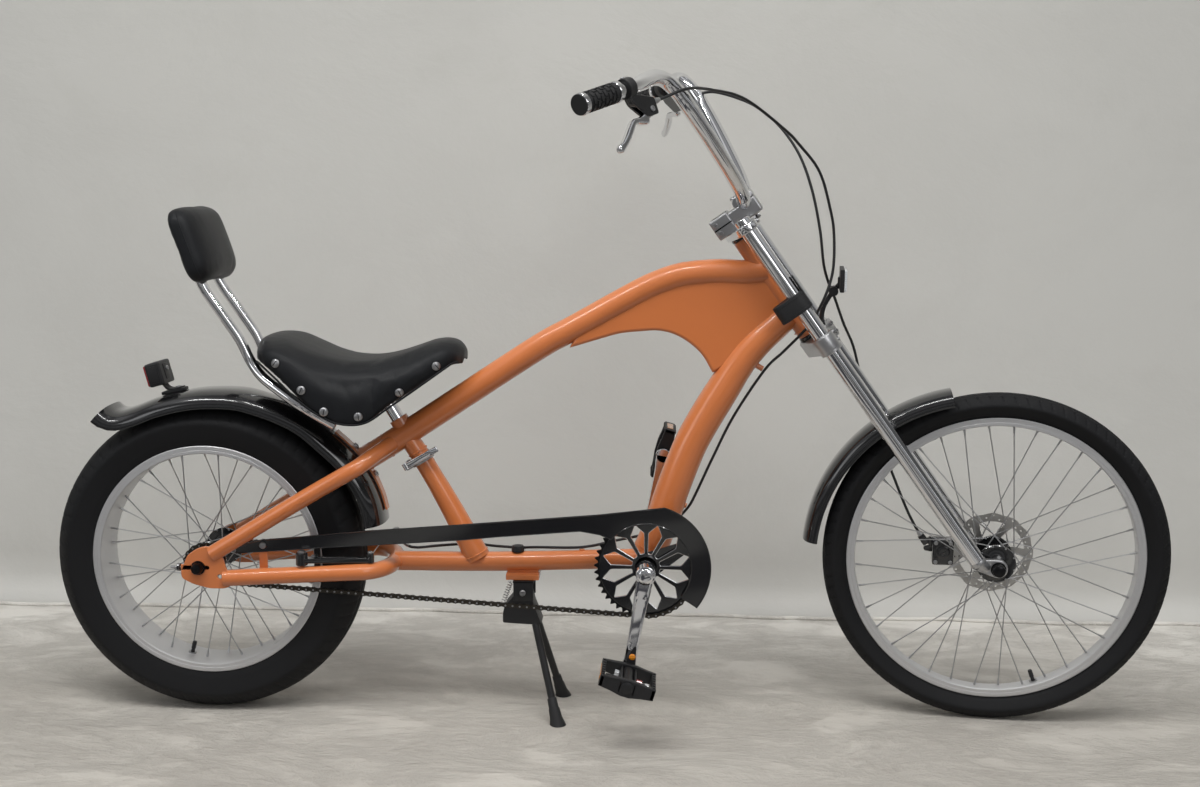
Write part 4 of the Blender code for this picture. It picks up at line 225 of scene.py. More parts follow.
class Finish:
    """A material with its Principled shader, and short ways to feed it from the shared effects."""

    def __init__(self, name, colour, roughness, metallic=0.0, **plain):
        self.material = bpy.data.materials.new(name)
        self.material.use_nodes = True
        self.tree = self.material.node_tree
        self.shader = self.tree.nodes["Principled BSDF"]
        self.colour = colour
        plain.update({"Base Color": (*colour, 1), "Roughness": roughness, "Metallic": metallic})
        for key, value in plain.items():
            self.shader.inputs[key.replace("_", " ")].default_value = value
        self.tint = None
        self.bumps = None

    def use(self, effect_tree, **values):
        node = self.tree.nodes.new("ShaderNodeGroup")
        node.node_tree = effect_tree
        for key, value in values.items():
            node.inputs[key.replace("_", " ")].default_value = value
        return node.outputs

    def blend_colour(self, share, colour, amount=None):
        """Lays another colour over what is there, where share is 1, as far as amount says."""
        if amount is not None:
            share = sums(self.tree, "MULTIPLY", share, amount)
        under = self.tint or (*self.colour, 1)
        values = {"Factor": share, 6: under, 7: (*colour, 1)}
        self.tint = linked(self.tree, "ShaderNodeMix", values, data_type="RGBA").outputs[2]
        self.tree.links.new(self.tint, self.shader.inputs["Base Color"])

    def vary_roughness(self, share, low, high):
        self.tree.links.new(spread(self.tree, share, 0, 1, low, high), self.shader.inputs["Roughness"])

    def bump(self, height, depth, strength):
        values = {"Height": height, "Distance": depth, "Strength": strength}
        if self.bumps is not None:
            values["Normal"] = self.bumps
        self.bumps = linked(self.tree, "ShaderNodeBump", values).outputs[0]
        self.tree.links.new(self.bumps, self.shader.inputs["Normal"])

    def dusted_and_top_lit(self, amount, colour):
        # Lighter colour on upward faces: dust, and painted light from above.
        self.blend_colour(self.use(DUST_AND_TOP_LIGHT, Amount=amount)["Dust"], colour)


def grained(name, colour, roughness, metallic, scales, gloss, relief, blotch=None, dust=None, **plain):
    """One grain gives gloss and relief; blotch and dust each hold an amount and a colour, and the dust pair also paints
    the upward faces lighter as a painted highlight from above.
    """
    finish = Finish(name, colour, roughness, metallic, **plain)
    skin = finish.use(GRAIN, Scale=scales[0], Blotch_Scale=scales[1])
    if blotch:
        finish.blend_colour(skin["Blotches"], blotch[1], blotch[0])
    finish.vary_roughness(skin["Blotches"], *gloss)
    finish.bump(skin["Height"], *relief)
    if dust:
        finish.dusted_and_top_lit(*dust)
    return finish.material


def chrome(name, gloss):
    return grained(name, (0.8, 0.8, 0.815), 0.06, 1, (260, 16), gloss, (0.00003, 0.35), (0.25, (0.66, 0.66, 0.68)))


def steel(name, colour, gloss):
    return grained(name, colour, 0.36, 1, (900, 60), gloss, (0.00008, 0.4), (0.5, [c * 0.7 for c in colour]))


def plastic(name, gloss):
    dust = (0.07, (0.1, 0.095, 0.09))
    return grained(name, (0.009, 0.009, 0.01), 0.46, 0, (1100, 18), gloss, (0.00014, 0.55), None, dust)


def rim_alloy():
    finish = Finish("brushed_rim_alloy", (0.66, 0.66, 0.67), 0.42, 0.75)
    lines = finish.use(BRUSHING, Along_X=30, Along_Y=1500, Along_Z=30)
    finish.blend_colour(finish.use(GRAIN, Scale=700, Blotch_Scale=14)["Blotches"], (0.49, 0.49, 0.5), 0.35)
    finish.vary_roughness(lines["Streaks"], 0.34, 0.52)
    finish.bump(lines["Height"], 0.00006, 0.35)
    return finish.material


def seat_leather():
    finish = Finish("black_seat_leather", (0.0058, 0.0066, 0.0086), 0.44, Specular_IOR_Level=0.36)
    cells = finish.use(LEATHER_CELLS, Scale=520)
    slow = finish.use(GRAIN, Scale=120, Blotch_Scale=8)
    # Darker colour in the creases between cells: painted shade.
    finish.blend_colour(cells["Creases"], (0.0032, 0.0032, 0.0036), 0.55)
    finish.vary_roughness(slow["Blotches"], 0.34, 0.56)
    finish.bump(cells["Height"], 0.00016, 0.5)
    finish.bump(slow["Height"], 0.0003, 0.25)
    finish.dusted_and_top_lit(0.04, (0.08, 0.078, 0.075))
    return finish.material


def lens(name, colour):
    finish = Finish(name, colour, 0.12, Coat_Weight=1, Coat_Roughness=0.03)
    finish.bump(finish.use(PRISMS, Scale=520)["Height"], 0.0012, 0.9)
    cloud = finish.use(GRAIN, Scale=300, Blotch_Scale=30)["Blotches"]
    finish.blend_colour(cloud, [c * 0.55 for c in colour], 0.4)
    return finish.material


# The last pair lightens the upward faces: dust, and a painted highlight from above.
ORANGE = grained(
    "orange_paint", (0.6, 0.178, 0.05), 0.34, 0, (520, 7), (0.26, 0.42), (0.00012, 0.5),
    (0.42, (0.5, 0.132, 0.034)), (0.12, (0.66, 0.42, 0.28)), Coat_Weight=0.9, Coat_Roughness=0.08,
)
BLACK = grained(
    "gloss_black_paint", (0.0055, 0.0055, 0.0062), 0.16, 0, (420, 11), (0.1, 0.26), (0.0001, 0.4),
    None, (0.05, (0.06, 0.06, 0.06)), Coat_Weight=1, Coat_Roughness=0.04,
)
CHROME = chrome("polished_chrome", (0.035, 0.14))
CAST = grained(
    "cast_alloy", (0.56, 0.56, 0.57), 0.36, 1, (700, 24), (0.24, 0.46), (0.00012, 0.5), (0.5, (0.42, 0.42, 0.43))
)
RIM = rim_alloy()
STEEL = steel("zinc_steel", (0.5, 0.5, 0.51), (0.26, 0.48))
BRIGHT = chrome("bright_machined_edge", (0.14, 0.3))
DARK_STEEL = steel("blackened_steel", (0.03, 0.03, 0.032), (0.22, 0.42))
ROTOR_STEEL = steel("rotor_steel", (0.56, 0.55, 0.53), (0.26, 0.44))
CHAIN = grained(
    "oiled_chain", (0.085, 0.078, 0.066), 0.38, 0.9, (800, 130), (0.22, 0.62), (0.0001, 0.5),
    (0.8, (0.035, 0.03, 0.024)),
)
PLASTIC = plastic("moulded_black_plastic", (0.36, 0.58))
CABLE_SKIN = plastic("cable_housing", (0.28, 0.46))
TYRE = grained(
    "tyre_rubber", (0.006, 0.0062, 0.0072), 0.66, 0, (900, 10), (0.52, 0.8), (0.00018, 0.6),
    (0.5, (0.0105, 0.0105, 0.0115)), (0.1, (0.06, 0.057, 0.053)), Specular_IOR_Level=0.28,
)
GRIP = grained("grip_rubber", (0.01, 0.01, 0.011), 0.58, 0, (1400, 40), (0.45, 0.68), (0.0002, 0.6))
LEATHER = seat_leather()
RED_LENS = lens("red_lens", (0.3, 0.006, 0.008))
CLEAR_LENS = lens("clear_lens", (0.62, 0.64, 0.66))
AMBER_LENS = lens("amber_lens", (0.7, 0.24, 0.012))

# Building blocks


class Body:
    """Collects shapes, each with its finish, into one mesh piece; base is the space in which they are given."""

    def __init__(self, name, *finishes, base=None):
        self.name, self.finishes = name, finishes
        self.base = base or Matrix()
        self.bm = bmesh.new()

    def aim(self, foot, direction):
        """Local z along a direction, turned about it as it would be in the world."""
        there = aimed(self.base @ Vector(foot), self.base.to_3x3() @ Vector(direction))
        return self.base.inverted() @ there

    def paint(self, faces, finish):
        index = self.finishes.index(finish) if finish else 0
        for face in faces:
            face.material_index = index
        return faces

    def take(self, mesh, place=None, finish=None):
        """Adds a mesh and clears it away."""
        mesh.transform(self.base @ (place or Matrix()))
        before = len(self.bm.faces)
        self.bm.from_mesh(mesh)
        self.bm.faces.ensure_lookup_table()
        bpy.data.meshes.remove(mesh)
        return self.paint(self.bm.faces[before:], finish)

    def grid(self, rows, finish=None, around=True, loop=False):
        """Skins rows of points in the world; around closes each row, loop joins the last row to the first."""
        rings = [[self.bm.verts.new(p) for p in row] for row in rows]
        faces = []
        count = len(rings[0])
        for first, second in list(zip(rings, rings[1:])) + ([(rings[-1], rings[0])] if loop else []):
            for j in range(count if around else count - 1):
                k = (j + 1) % count
                faces.append(self.bm.faces.new((first[j], first[k], second[k], second[j])))
        if around and not loop:
            faces.append(self.bm.faces.new(rings[0][::-1]))
            faces.append(self.bm.faces.new(rings[-1]))
        return self.paint(faces, finish)

    def turned(self, profile, place=None, steps=48, finish=None, closed=False):
        """Turns (radius, height) points about local z."""
        place = self.base @ (place or Matrix())
        rows = [[place @ Vector((*polar(r, a), h)) for r, h in profile] for a in full_turn(steps)]
        faces = self.grid(rows, finish, closed, True)
        doubles = {v for f in faces for v in f.verts}
        bmesh.ops.remove_doubles(self.bm, verts=list(doubles), dist=1e-6)

    def rod(self, start, end, radius, sides=20, finish=None, end_radius=None, soft=0):
        start, end = Vector(start), Vector(end)
        far = radius if end_radius is None else end_radius
        length = (end - start).length
        profile = [(0, 0), (radius, 0), (far, length), (0, length)]
        if soft:
            profile[1:3] = [(radius - soft, 0), (radius, soft), (far, length - soft), (far - soft, length)]
        self.turned(profile, self.aim(start, end - start), sides, finish)

    def tube(self, points, radius, sides=24, finish=None, shares=None):
        """A round tube whose rings don't twist."""
        points = [self.base @ Vector(p) for p in points]
        last = len(points) - 1
        rows = []
        across = None
        for i, point in enumerate(points):
            along = (points[min(i + 1, last)] - points[max(i - 1, 0)]).normalized()
            across = across or along.orthogonal().normalized()
            across = (across - along * across.dot(along)).normalized()
            up = along.cross(across)
            r = radius * (shares[i] if shares else 1)
            rows.append([point + across * r * math.cos(a) + up * r * math.sin(a) for a in full_turn(sides)])
        self.grid(rows, finish)

    def block(self, centre, size, soft=0.001, finish=None, place=None, segments=2):
        """A box with rounded edges."""
        made = bmesh.new()
        bmesh.ops.create_cube(made, size=1)
        bmesh.ops.scale(made, vec=Vector(size), verts=made.verts)
        if soft:
            bmesh.ops.bevel(made, geom=made.edges[:], offset=soft, segments=segments, affect="EDGES", profile=0.6)
        mesh = bpy.data.meshes.new("block")
        made.to_mesh(mesh)
        made.free()
        self.take(mesh, (place or Matrix()) @ Matrix.Translation(centre), finish)

    def plate(self, outlines, thickness, edge=0.0, finish=None, place=None, rounds=2):
        """Flat plate from closed outlines in x, y with eased edges; inner outlines are holes."""
        data = bpy.data.curves.new("plate", "CURVE")
        data.dimensions = "2D"
        data.fill_mode = "BOTH"
        data.extrude = thickness / 2 - edge
        data.bevel_depth = edge
        data.bevel_resolution = rounds
        data.offset = -edge
        for outline in outlines:
            spline = data.splines.new("POLY")
            spline.points.add(len(outline) - 1)
            spline.use_cyclic_u = True
            for point, (x, y) in zip(spline.points, outline):
                point.co = (x, y, 0, 1)
        obj = bpy.data.objects.new("plate", data)
        bpy.context.scene.collection.objects.link(obj)
        mesh = settled_mesh(obj)
        bpy.data.objects.remove(obj)
        bpy.data.curves.remove(data)
        mesh.materials.clear()
        return self.take(mesh, place, finish)

    def side_plate(self, outlines, thickness, y, edge=0.0, finish=None, place=None, rounds=2):
        there = (place or Matrix()) @ move(0, y, 0) @ UPRIGHT
        return self.plate(outlines, thickness, edge, finish, there, rounds)

    def bolt(self, foot, direction, radius, height, finish=None):
        """Round head with a sunk hexagon."""
        deep = height * 0.45
        profile = [(radius, 0), (radius, height * 0.7), (radius * 0.82, height)]
        profile += [(radius * 0.52, height), (radius * 0.48, deep), (0, deep)]
        self.turned(profile, self.aim(foot, direction), 18, finish)

    def done(self, body, *nodes, smooth=38, home=None, bend=None):
        """Turns the collected shapes into a piece that rides on a body and stands for the given solids.

        bend names a second body and the two points where the piece passes to it; when given, the piece is left in place
        on no body, and that body and those points are not used.
        """
        bmesh.ops.recalc_face_normals(self.bm, faces=self.bm.faces)
        obj = self.drawn(home)
        obj.data.set_sharp_from_angle(angle=math.radians(smooth))
        if bend:
            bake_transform(obj)
        else:
            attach(obj, body)
        if nodes:
            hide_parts(*nodes)
        return obj

    def drawn(self, home=None):
        """The collected shapes as a linked object with its finishes."""
        mesh = bpy.data.meshes.new(self.name)
        self.bm.to_mesh(mesh)
        self.bm.free()
        if home is not None:
            mesh.transform(home)
        for finish in self.finishes:
            mesh.materials.append(finish)
        mesh.shade_smooth()
        obj = bpy.data.objects.new(self.name, mesh)
        bpy.context.scene.collection.objects.link(obj)
        return obj


def settled_mesh(obj):
    """The object's mesh with its modifiers applied."""
    graph = bpy.context.evaluated_depsgraph_get()
    graph.update()
    return bpy.data.meshes.new_from_object(obj.evaluated_get(graph))


def smooth_route(points, spacing):
    """Points about spacing apart on the Catmull-Rom curve through the given ones."""
    points = [Vector(p) for p in points]
    ends = [points[0] * 2 - points[1], *points, points[-1] * 2 - points[-2]]
    found = [points[0]]
    for a, b, c, d in zip(ends, ends[1:], ends[2:], ends[3:]):
        steps = max(1, round((c - b).length / spacing))
        for i in range(1, steps + 1):
            t = i / steps
            p = 2 * b + (c - a) * t + (2 * a - 5 * b + 4 * c - d) * t * t + (3 * b - a - 3 * c + d) * t**3
            found.append(0.5 * p)
    return found


def flat_route(points, spacing):
    """The same through (x, z) points."""
    return smooth_route([(x, z, 0) for x, z in points], spacing)


def arc(x, y, radius, start, end, steps):
    angles = [math.radians(start + (end - start) * i / steps) for i in range(steps + 1)]
    return [(x + radius * math.cos(a), y + radius * math.sin(a)) for a in angles]


def circle(x, y, radius, steps=28):
    return arc(x, y, radius, 0, 360, steps)[:-1]


def capsule(first, first_radius, second, second_radius, steps=14):
    """Outline around two circles, joined by their outer tangents."""
    run = Vector(second) - Vector(first)
    heading = math.degrees(math.atan2(run.y, run.x))
    splay = math.degrees(math.acos((first_radius - second_radius) / run.length))
    ahead = arc(*second, second_radius, heading - splay, heading + splay, steps)
    return ahead + arc(*first, first_radius, heading + splay, heading + 360 - splay, steps)


def collar(inner, outer, low, high, inset, rise):
    """Profile of a ring whose outer corners are cut."""
    cut = [(outer - inset, low), (outer, low + rise), (outer, high - rise), (outer - inset, high)]
    return [(inner, low), *cut, (inner, high)]


def sleeve(inner, outer, low, high):
    """Profile of a plain ring."""
    return [(inner, low), (outer, low), (outer, high), (inner, high)]


def dome(radius, rise, top_radius, height):
    """Profile of a cap with a cut edge."""
    return [(radius, 0), (radius, rise), (top_radius, height), (0, height)]


def mirrored(points):
    """The same points and, after the middle one, their mirror images across the bicycle."""
    return points + [Vector((p[0], -p[1], p[2])) for p in reversed(points[:-1])]


def curved(first, middle, last, t):
    """A point on the curve from first to last that middle pulls toward itself."""
    return first * (1 - t) ** 2 + middle * 2 * t * (1 - t) + last * t * t


def eased(outline, radius, steps=5):
    """Rounds the corners of a closed outline."""
    found = []
    for i, corner in enumerate(outline):
        here = Vector(corner)
        before = Vector(outline[i - 1]) - here
        after = Vector(outline[(i + 1) % len(outline)]) - here
        reach = min(radius, before.length * 0.45, after.length * 0.45)
        start = here + before.normalized() * reach
        end = here + after.normalized() * reach
        found += [tuple(curved(start, here, end, s / steps)) for s in range(steps + 1)]
    return found


# Wheels


def wheel_point(angle, radius, y):
    return Vector((radius * math.cos(angle), y, radius * math.sin(angle)))


def wheel_rows(section, steps):
    return [[wheel_point(a, r, y) for r, y in section] for a in full_turn(steps)]


def tyre(word, home, radius, half, rim_radius, rim_half, lip, cuts):
    """Round carcass with a raised bead line, a rib on the shoulder and slanted cuts across the tread."""
    foot = rim_radius - 0.006
    quarter = [
        (foot, lip), (rim_radius + 0.0025, rim_half - 0.001), (radius * 0.45 + rim_radius * 0.55, half * 0.985),
        (radius * 0.62 + rim_radius * 0.38, half * 0.985), (radius - 0.18 * half, half * 0.62),
        (radius - 0.045 * half, half * 0.32), (radius, 0),
    ]
    curve = flat_route(quarter, half * 0.085)
    section = [(p.x, p.y) for p in curve] + [(p.x, -p.y) for p in reversed(curve[:-1])]
    rows = []
    for i, angle in enumerate(full_turn(cuts * 8)):
        row = []
        for r, y in section:
            share = abs(y) / half
            height = (r - rim_radius) / (radius - rim_radius)
            depth = 0.0
            if height > 0.62:
                phase = (i + round(share * 5) + (0 if y > 0 else 4)) % 8
                depth = 0.0017 if phase == 0 and share > 0.22 else 0.0
                if share < 0.03 or abs(share - 0.3) < 0.035:
                    depth = max(depth, 0.0013)
            elif 0.05 < height < 0.1 or 0.56 < height < 0.6:
                depth = -0.0007
            row.append(wheel_point(angle, r - depth, y - math.copysign(depth * 0.4, y) if y else 0))
        rows.append(row)
    made = Body(word + "_tyre_cut", TYRE)
    made.grid(rows, None, False, True)
    made.grid(wheel_rows([(foot, lip), (foot + 0.0002, -lip)], 96), None, False, True)
    made.done(word + "_wheel", word + "_tyre", smooth=32, home=home)


def rim(word, home, radius, half, well, valve_turn):
    """Rolled side walls with a turned line, a dropped well and an eyelet for the valve."""
    wall = [(0.015, 0.0022), (0.0136, 0), (0.0088, 0), (0.0082, 0.0005), (0.0076, 0), (0.0014, 0), (0, 0.001)]
    wall = [(radius - drop, half - inset) for drop, inset in [*wall, (0.0006, 0.0022)]]
    section = [(well, half * 0.55), *wall, (well + 0.003, half * 0.6)]
    made = Body(word + "_rim_turned", RIM, STEEL, PLASTIC)
    made.grid(wheel_rows(section + [(r, -y) for r, y in reversed(section)], 192), loop=True)
    down = turn(valve_turn, "Y") @ Vector((0, 0, -1))
    made.turned(sleeve(0.0044, 0.0072, 0, 0.0022), aimed(down * (well + 0.0002), -down), 24, STEEL)
    made.done(word + "_wheel", word + "_rim", smooth=24, home=home)


def valve(word, home, foot, valve_turn):
    """Rubber stem with a ribbed dust cap."""
    reach = 0.022
    down = turn(valve_turn, "Y") @ Vector((0, 0, -1))
    place = aimed(down * foot, -down)
    made = Body(word + "_valve", PLASTIC, STEEL)
    made.turned([(0.0036, 0), (0.0032, 0.007), (0.0031, reach * 0.42), (0.0028, reach * 0.42)], place, 20)
    cap = [(0.0026, 0.38), (0.004, 0.4)]
    for i in range(4):
        cap += [(0.004, 0.46 + i * 0.11), (0.0036, 0.5 + i * 0.11), (0.004, 0.54 + i * 0.11)]
    cap = [(r, reach * share) for r, share in [*cap, (0.0034, 1)]]
    made.turned([*cap, (0, reach + 0.0004)], place, 20)
    made.done(word + "_wheel", word + "_inner_tube", smooth=30, home=home)


def laced_wheel(made, flanges, rim_inner, rim_offset):
    """Crossed spokes, each with a bent head at the flange and a nipple at the rim."""
    for i in range(36):
        side = 1 if i % 2 else -1
        lead = 1 if (i // 2) % 2 else -1
        at_rim = 2 * math.pi * (i + 0.5) / 36
        lace = lead * 0.00125
        foot = wheel_point(at_rim + lead * math.radians(62), 0.0325, flanges[i % 2] + lace)
        tip = wheel_point(at_rim, rim_inner, side * rim_offset + lace)
        along = (tip - foot).normalized()
        made.rod(foot, tip, 0.00105, 8, STEEL)
        made.rod(tip - along * 0.0125, tip - along * 0.0005, 0.0015, 10, STEEL, 0.0021)
        head = aimed(foot + Vector((0, lead * 0.0018, 0)), (0, lead, 0))
        made.turned([(0, 0.0012), (0.0018, 0.0008), (0.0018, 0), (0, 0)], head, 10, STEEL)


def flange(y, rim_half, lip_half):
    """Profile of a hub's drilled flange, from its far side to its near side."""
    return [(0.033, y + rim_half), (0.0342, y + lip_half), (0.0342, y - lip_half), (0.033, y - rim_half)]


def rear_hub():
    """Black shell between drilled flanges, with a freewheel body beside the cog."""
    made = Body("rear_hub_and_spokes", BLACK, STEEL, DARK_STEEL)
    near, far = -0.04, 0.065
    shell = [(0.0052, 0.079), (0.011, 0.079), (0.0135, 0.077), (0.014, 0.071), (0.017, 0.068)]
    shell += flange(far, 0.0026, 0.0016) + [(0.0225, 0.0618), (0.019, 0.057), (0.018, 0.02), (0.018, 0)]
    shell += [(0.0195, -0.031), (0.023, -0.0368)] + flange(near, 0.0026, 0.0016) + [(0.0185, -0.043), (0.0185, -0.07)]
    made.turned(shell, ALONG_Y, 64)
    body = [(0.0185, -0.069), (0.0178, -0.07), (0.0178, -0.078), (0.012, -0.079), (0.0052, -0.079)]
    made.turned(body, ALONG_Y, 48, DARK_STEEL)
    laced_wheel(made, (near, far), 0.1918, 0.01)
    made.done("rear_wheel", "rear_hub", smooth=34, home=REAR_WHEEL)


def front_hub():
    """Black shell whose left flange carries the rotor on six bolts."""
    made = Body("front_hub_and_spokes", BLACK, STEEL)
    near, far = -0.031, 0.022
    shell = [(0.0052, 0.049), (0.0104, 0.049), (0.011, 0.0482), (0.011, 0.0325), (0.0184, 0.0322), (0.019, 0.0314)]
    shell += [(0.019, 0.0254)] + flange(far, 0.0026, 0.0014) + [(0.019, 0.018), (0.016, 0.012), (0.0158, -0.021)]
    shell += [(0.019, -0.027)] + flange(near, 0.0026, 0.0014)
    shell += [(0.018, -0.0346), (0.0122, -0.038), (0.012, -0.0484), (0.0052, -0.049)]
    made.turned(shell, ALONG_Y, 64)
    laced_wheel(made, (near, far), 0.2434, 0.002)
    made.done("front_wheel", "front_hub", smooth=34, home=FRONT_WHEEL)


def bowed(first, last, bow):
    """Three points on a shallow curve between two points."""
    first, last = Vector(first), Vector(last)
    run = last - first
    middle = (first + last) / 2 + Vector((-run.y, run.x)) * bow
    return [tuple(curved(first, middle, last, t)) for t in (0.25, 0.5, 0.75)]


def brake_rotor():
    """Wavy drilled band on six swept arms."""
    outline = [polar(0.074 - 0.0011 * (1 - math.cos(12 * a)), a) for a in full_turn(240)]
    holes = [circle(0, 0, 0.0113, 40)]
    for start in range(0, 360, 60):
        outer = arc(0, 0, 0.0582, start + 8, start + 54, 12)
        inner = arc(0, 0, 0.0232, start + 62, start + 30, 8)
        window = outer + bowed(outer[-1], inner[0], -0.1) + inner + bowed(inner[-1], outer[0], 0.1)
        holes.append(eased(window, 0.003, 3))
        for j in range(6):
            spot = polar((0.07, 0.0652, 0.0625)[j % 3], math.radians(start + j * 10))
            holes.append(circle(*spot, 0.0017 if j % 3 else 0.0022, 12))
    made = Body("drilled_rotor", ROTOR_STEEL, STEEL)
    made.side_plate([outline, *holes], 0.0018, 0.0334, 0.0002, rounds=1)
    for i in range(6):
        made.bolt(wheel_point(math.radians(60 * i + 15), 0.0165, 0.0343), (0, 1, 0), 0.003, 0.0022, STEEL)
    made.done("front_wheel", "brake_rotor", smooth=30, home=FRONT_WHEEL)


def wheels():
    rear_rim, front_rim = (0.209, 0.0405), (0.2595, 0.014)
    rear_valve, front_valve = (0.1925, 14), (0.244, -19.7)
    tyre("rear", REAR_WHEEL, 0.282, 0.0485, *rear_rim, 0.0312, 64)
    tyre("front", FRONT_WHEEL, 0.3017, 0.025, *front_rim, 0.0084, 88)
    rim("rear", REAR_WHEEL, *rear_rim, *rear_valve)
    rim("front", FRONT_WHEEL, *front_rim, *front_valve)
    valve("rear", REAR_WHEEL, *rear_valve)
    valve("front", FRONT_WHEEL, *front_valve)
    rear_hub()
    front_hub()
    brake_rotor()


# Chain drive


def pitch_radius(teeth):
    return CHAIN_PITCH / (2 * math.sin(math.pi / teeth))


def chain_pins():
    """Every pin of the chain in x, z, in the order in which it runs round both sprockets."""
    big, small = Vector((BRACKET.x, BRACKET.z)), Vector((REAR_AXLE.x, REAR_AXLE.z))
    ring_radius, cog_radius = pitch_radius(RING_TEETH), pitch_radius(COG_TEETH)
    run = small - big
    heading = math.atan2(run.y, run.x)
    splay = math.acos((ring_radius - cog_radius) / run.length)
    straight = math.sqrt(run.length**2 - (ring_radius - cog_radius) ** 2)
    lengths = [straight, 2 * splay * cog_radius, straight, (2 * math.pi - 2 * splay) * ring_radius]
    links = 2 * round(sum(lengths) / (2 * CHAIN_PITCH))
    first, second = heading - splay, heading + splay
    found = []
    for i in range(links):
        s = sum(lengths) * i / links
        if s < lengths[0]:
            foot, radius, angle, along = big, ring_radius, first, s
        elif s < lengths[0] + lengths[1]:
            foot, radius, angle, along = small, cog_radius, first + (s - lengths[0]) / cog_radius, 0
        elif s < sum(lengths[:3]):
            foot, radius, angle, along = small, cog_radius, second, s - lengths[0] - lengths[1]
        else:
            foot, radius, angle, along = big, ring_radius, second + (s - sum(lengths[:3])) / ring_radius, 0
        out = Vector(polar(1, angle))
        found.append(foot + out * radius + Vector((-out.y, out.x)) * along)
    return found


def chain_link(made, start, end, outer):
    """Two waisted side plates on their pins, with a roller between them."""
    run = end - start
    half = run.length / 2
    waist, eye = (0.0027, 0.0043) if outer else (0.0025, 0.0041)
    outline = arc(half, 0, eye, -118, 118, 5) + [(0, waist)] + arc(-half, 0, eye, 62, 298, 5) + [(0, -waist)]
    middle = (start + end) / 2
    place = move(middle.x, -CHAIN_PLANE, middle.y) @ Matrix.Rotation(-math.atan2(run.y, run.x), 4, "Y") @ UPRIGHT
    offset = 0.0031 if outer else 0.002
    for side in (-1, 1):
        made.grid([[place @ Vector((x, y, side * offset + h)) for x, y in outline] for h in (-0.0005, 0.0005)])
    reach, radius, sides, finish = (0.004, 0.0017, 8, STEEL) if outer else (0.0014, 0.0036, 10, CHAIN)
    for p in (start, end):
        made.rod((p.x, -CHAIN_PLANE - reach, p.y), (p.x, -CHAIN_PLANE + reach, p.y), radius, sides, finish)


def drive_chain():
    made = Body("roller_chain", CHAIN, STEEL)
    pins = chain_pins()
    for i, pin in enumerate(pins):
        chain_link(made, pin, pins[(i + 1) % len(pins)], i % 2 == 0)
    made.done("frame", "drive_chain", smooth=30)


def toothed_outline(teeth):
    rise = ((0, -0.0036), (0.14, -0.0032), (0.36, 0.0012), (0.44, 0.0028))
    rise += tuple((1 - share, height) for share, height in reversed(rise[1:]))
    r = pitch_radius(teeth)
    return [polar(r + height, 2 * math.pi * (i + share + 0.5) / teeth) for i in range(teeth) for share, height in rise]


def rear_cog():
    made = Body("rear_cog_teeth", DARK_STEEL)
    made.side_plate([toothed_outline(COG_TEETH), circle(0, 0, 0.019, 40)], 0.0026, -CHAIN_PLANE, 0.0005, rounds=1)
    made.done("cog", "rear_cog", smooth=30, home=REAR_WHEEL)


def chainring():
    """Black disc on a toothed ring, with twelve pointed windows whose edges are machined bright."""
    disc = pitch_radius(RING_TEETH) - 0.0065
    shoulder = disc - 0.0205
    corners = ((0.0255, -7.5), (0.0255, 7.5), (shoulder, 11), (disc - 0.0048, 0), (shoulder, -11))
    windows = []
    for i in range(12):
        shape = [polar(r, math.radians(30 * i + 24.7 + d)) for r, d in corners]
        windows.append(eased(shape, 0.0016, 2))
    made = Body("chainring_disc", BLACK, BRIGHT, DARK_STEEL)
    toothed = [toothed_outline(RING_TEETH), circle(0, 0, disc - 0.001, 96)]
    made.side_plate(toothed, 0.0026, -CHAIN_PLANE, 0.0005, DARK_STEEL, None, 1)
    outlines = [circle(0, 0, disc, 120), circle(0, 0, 0.019, 48), *windows]
    for face in made.side_plate(outlines, 0.0034, -CHAIN_PLANE, 0.001, rounds=1):
        centre = face.calc_center_median()
        face.normal_update()
        if abs(face.normal.y) < 0.97 and 0.0205 < math.hypot(centre.x, centre.z) < disc - 0.0022:
            face.material_index = 1
    made.done("crankset", "chainring", smooth=24, home=CRANKS)


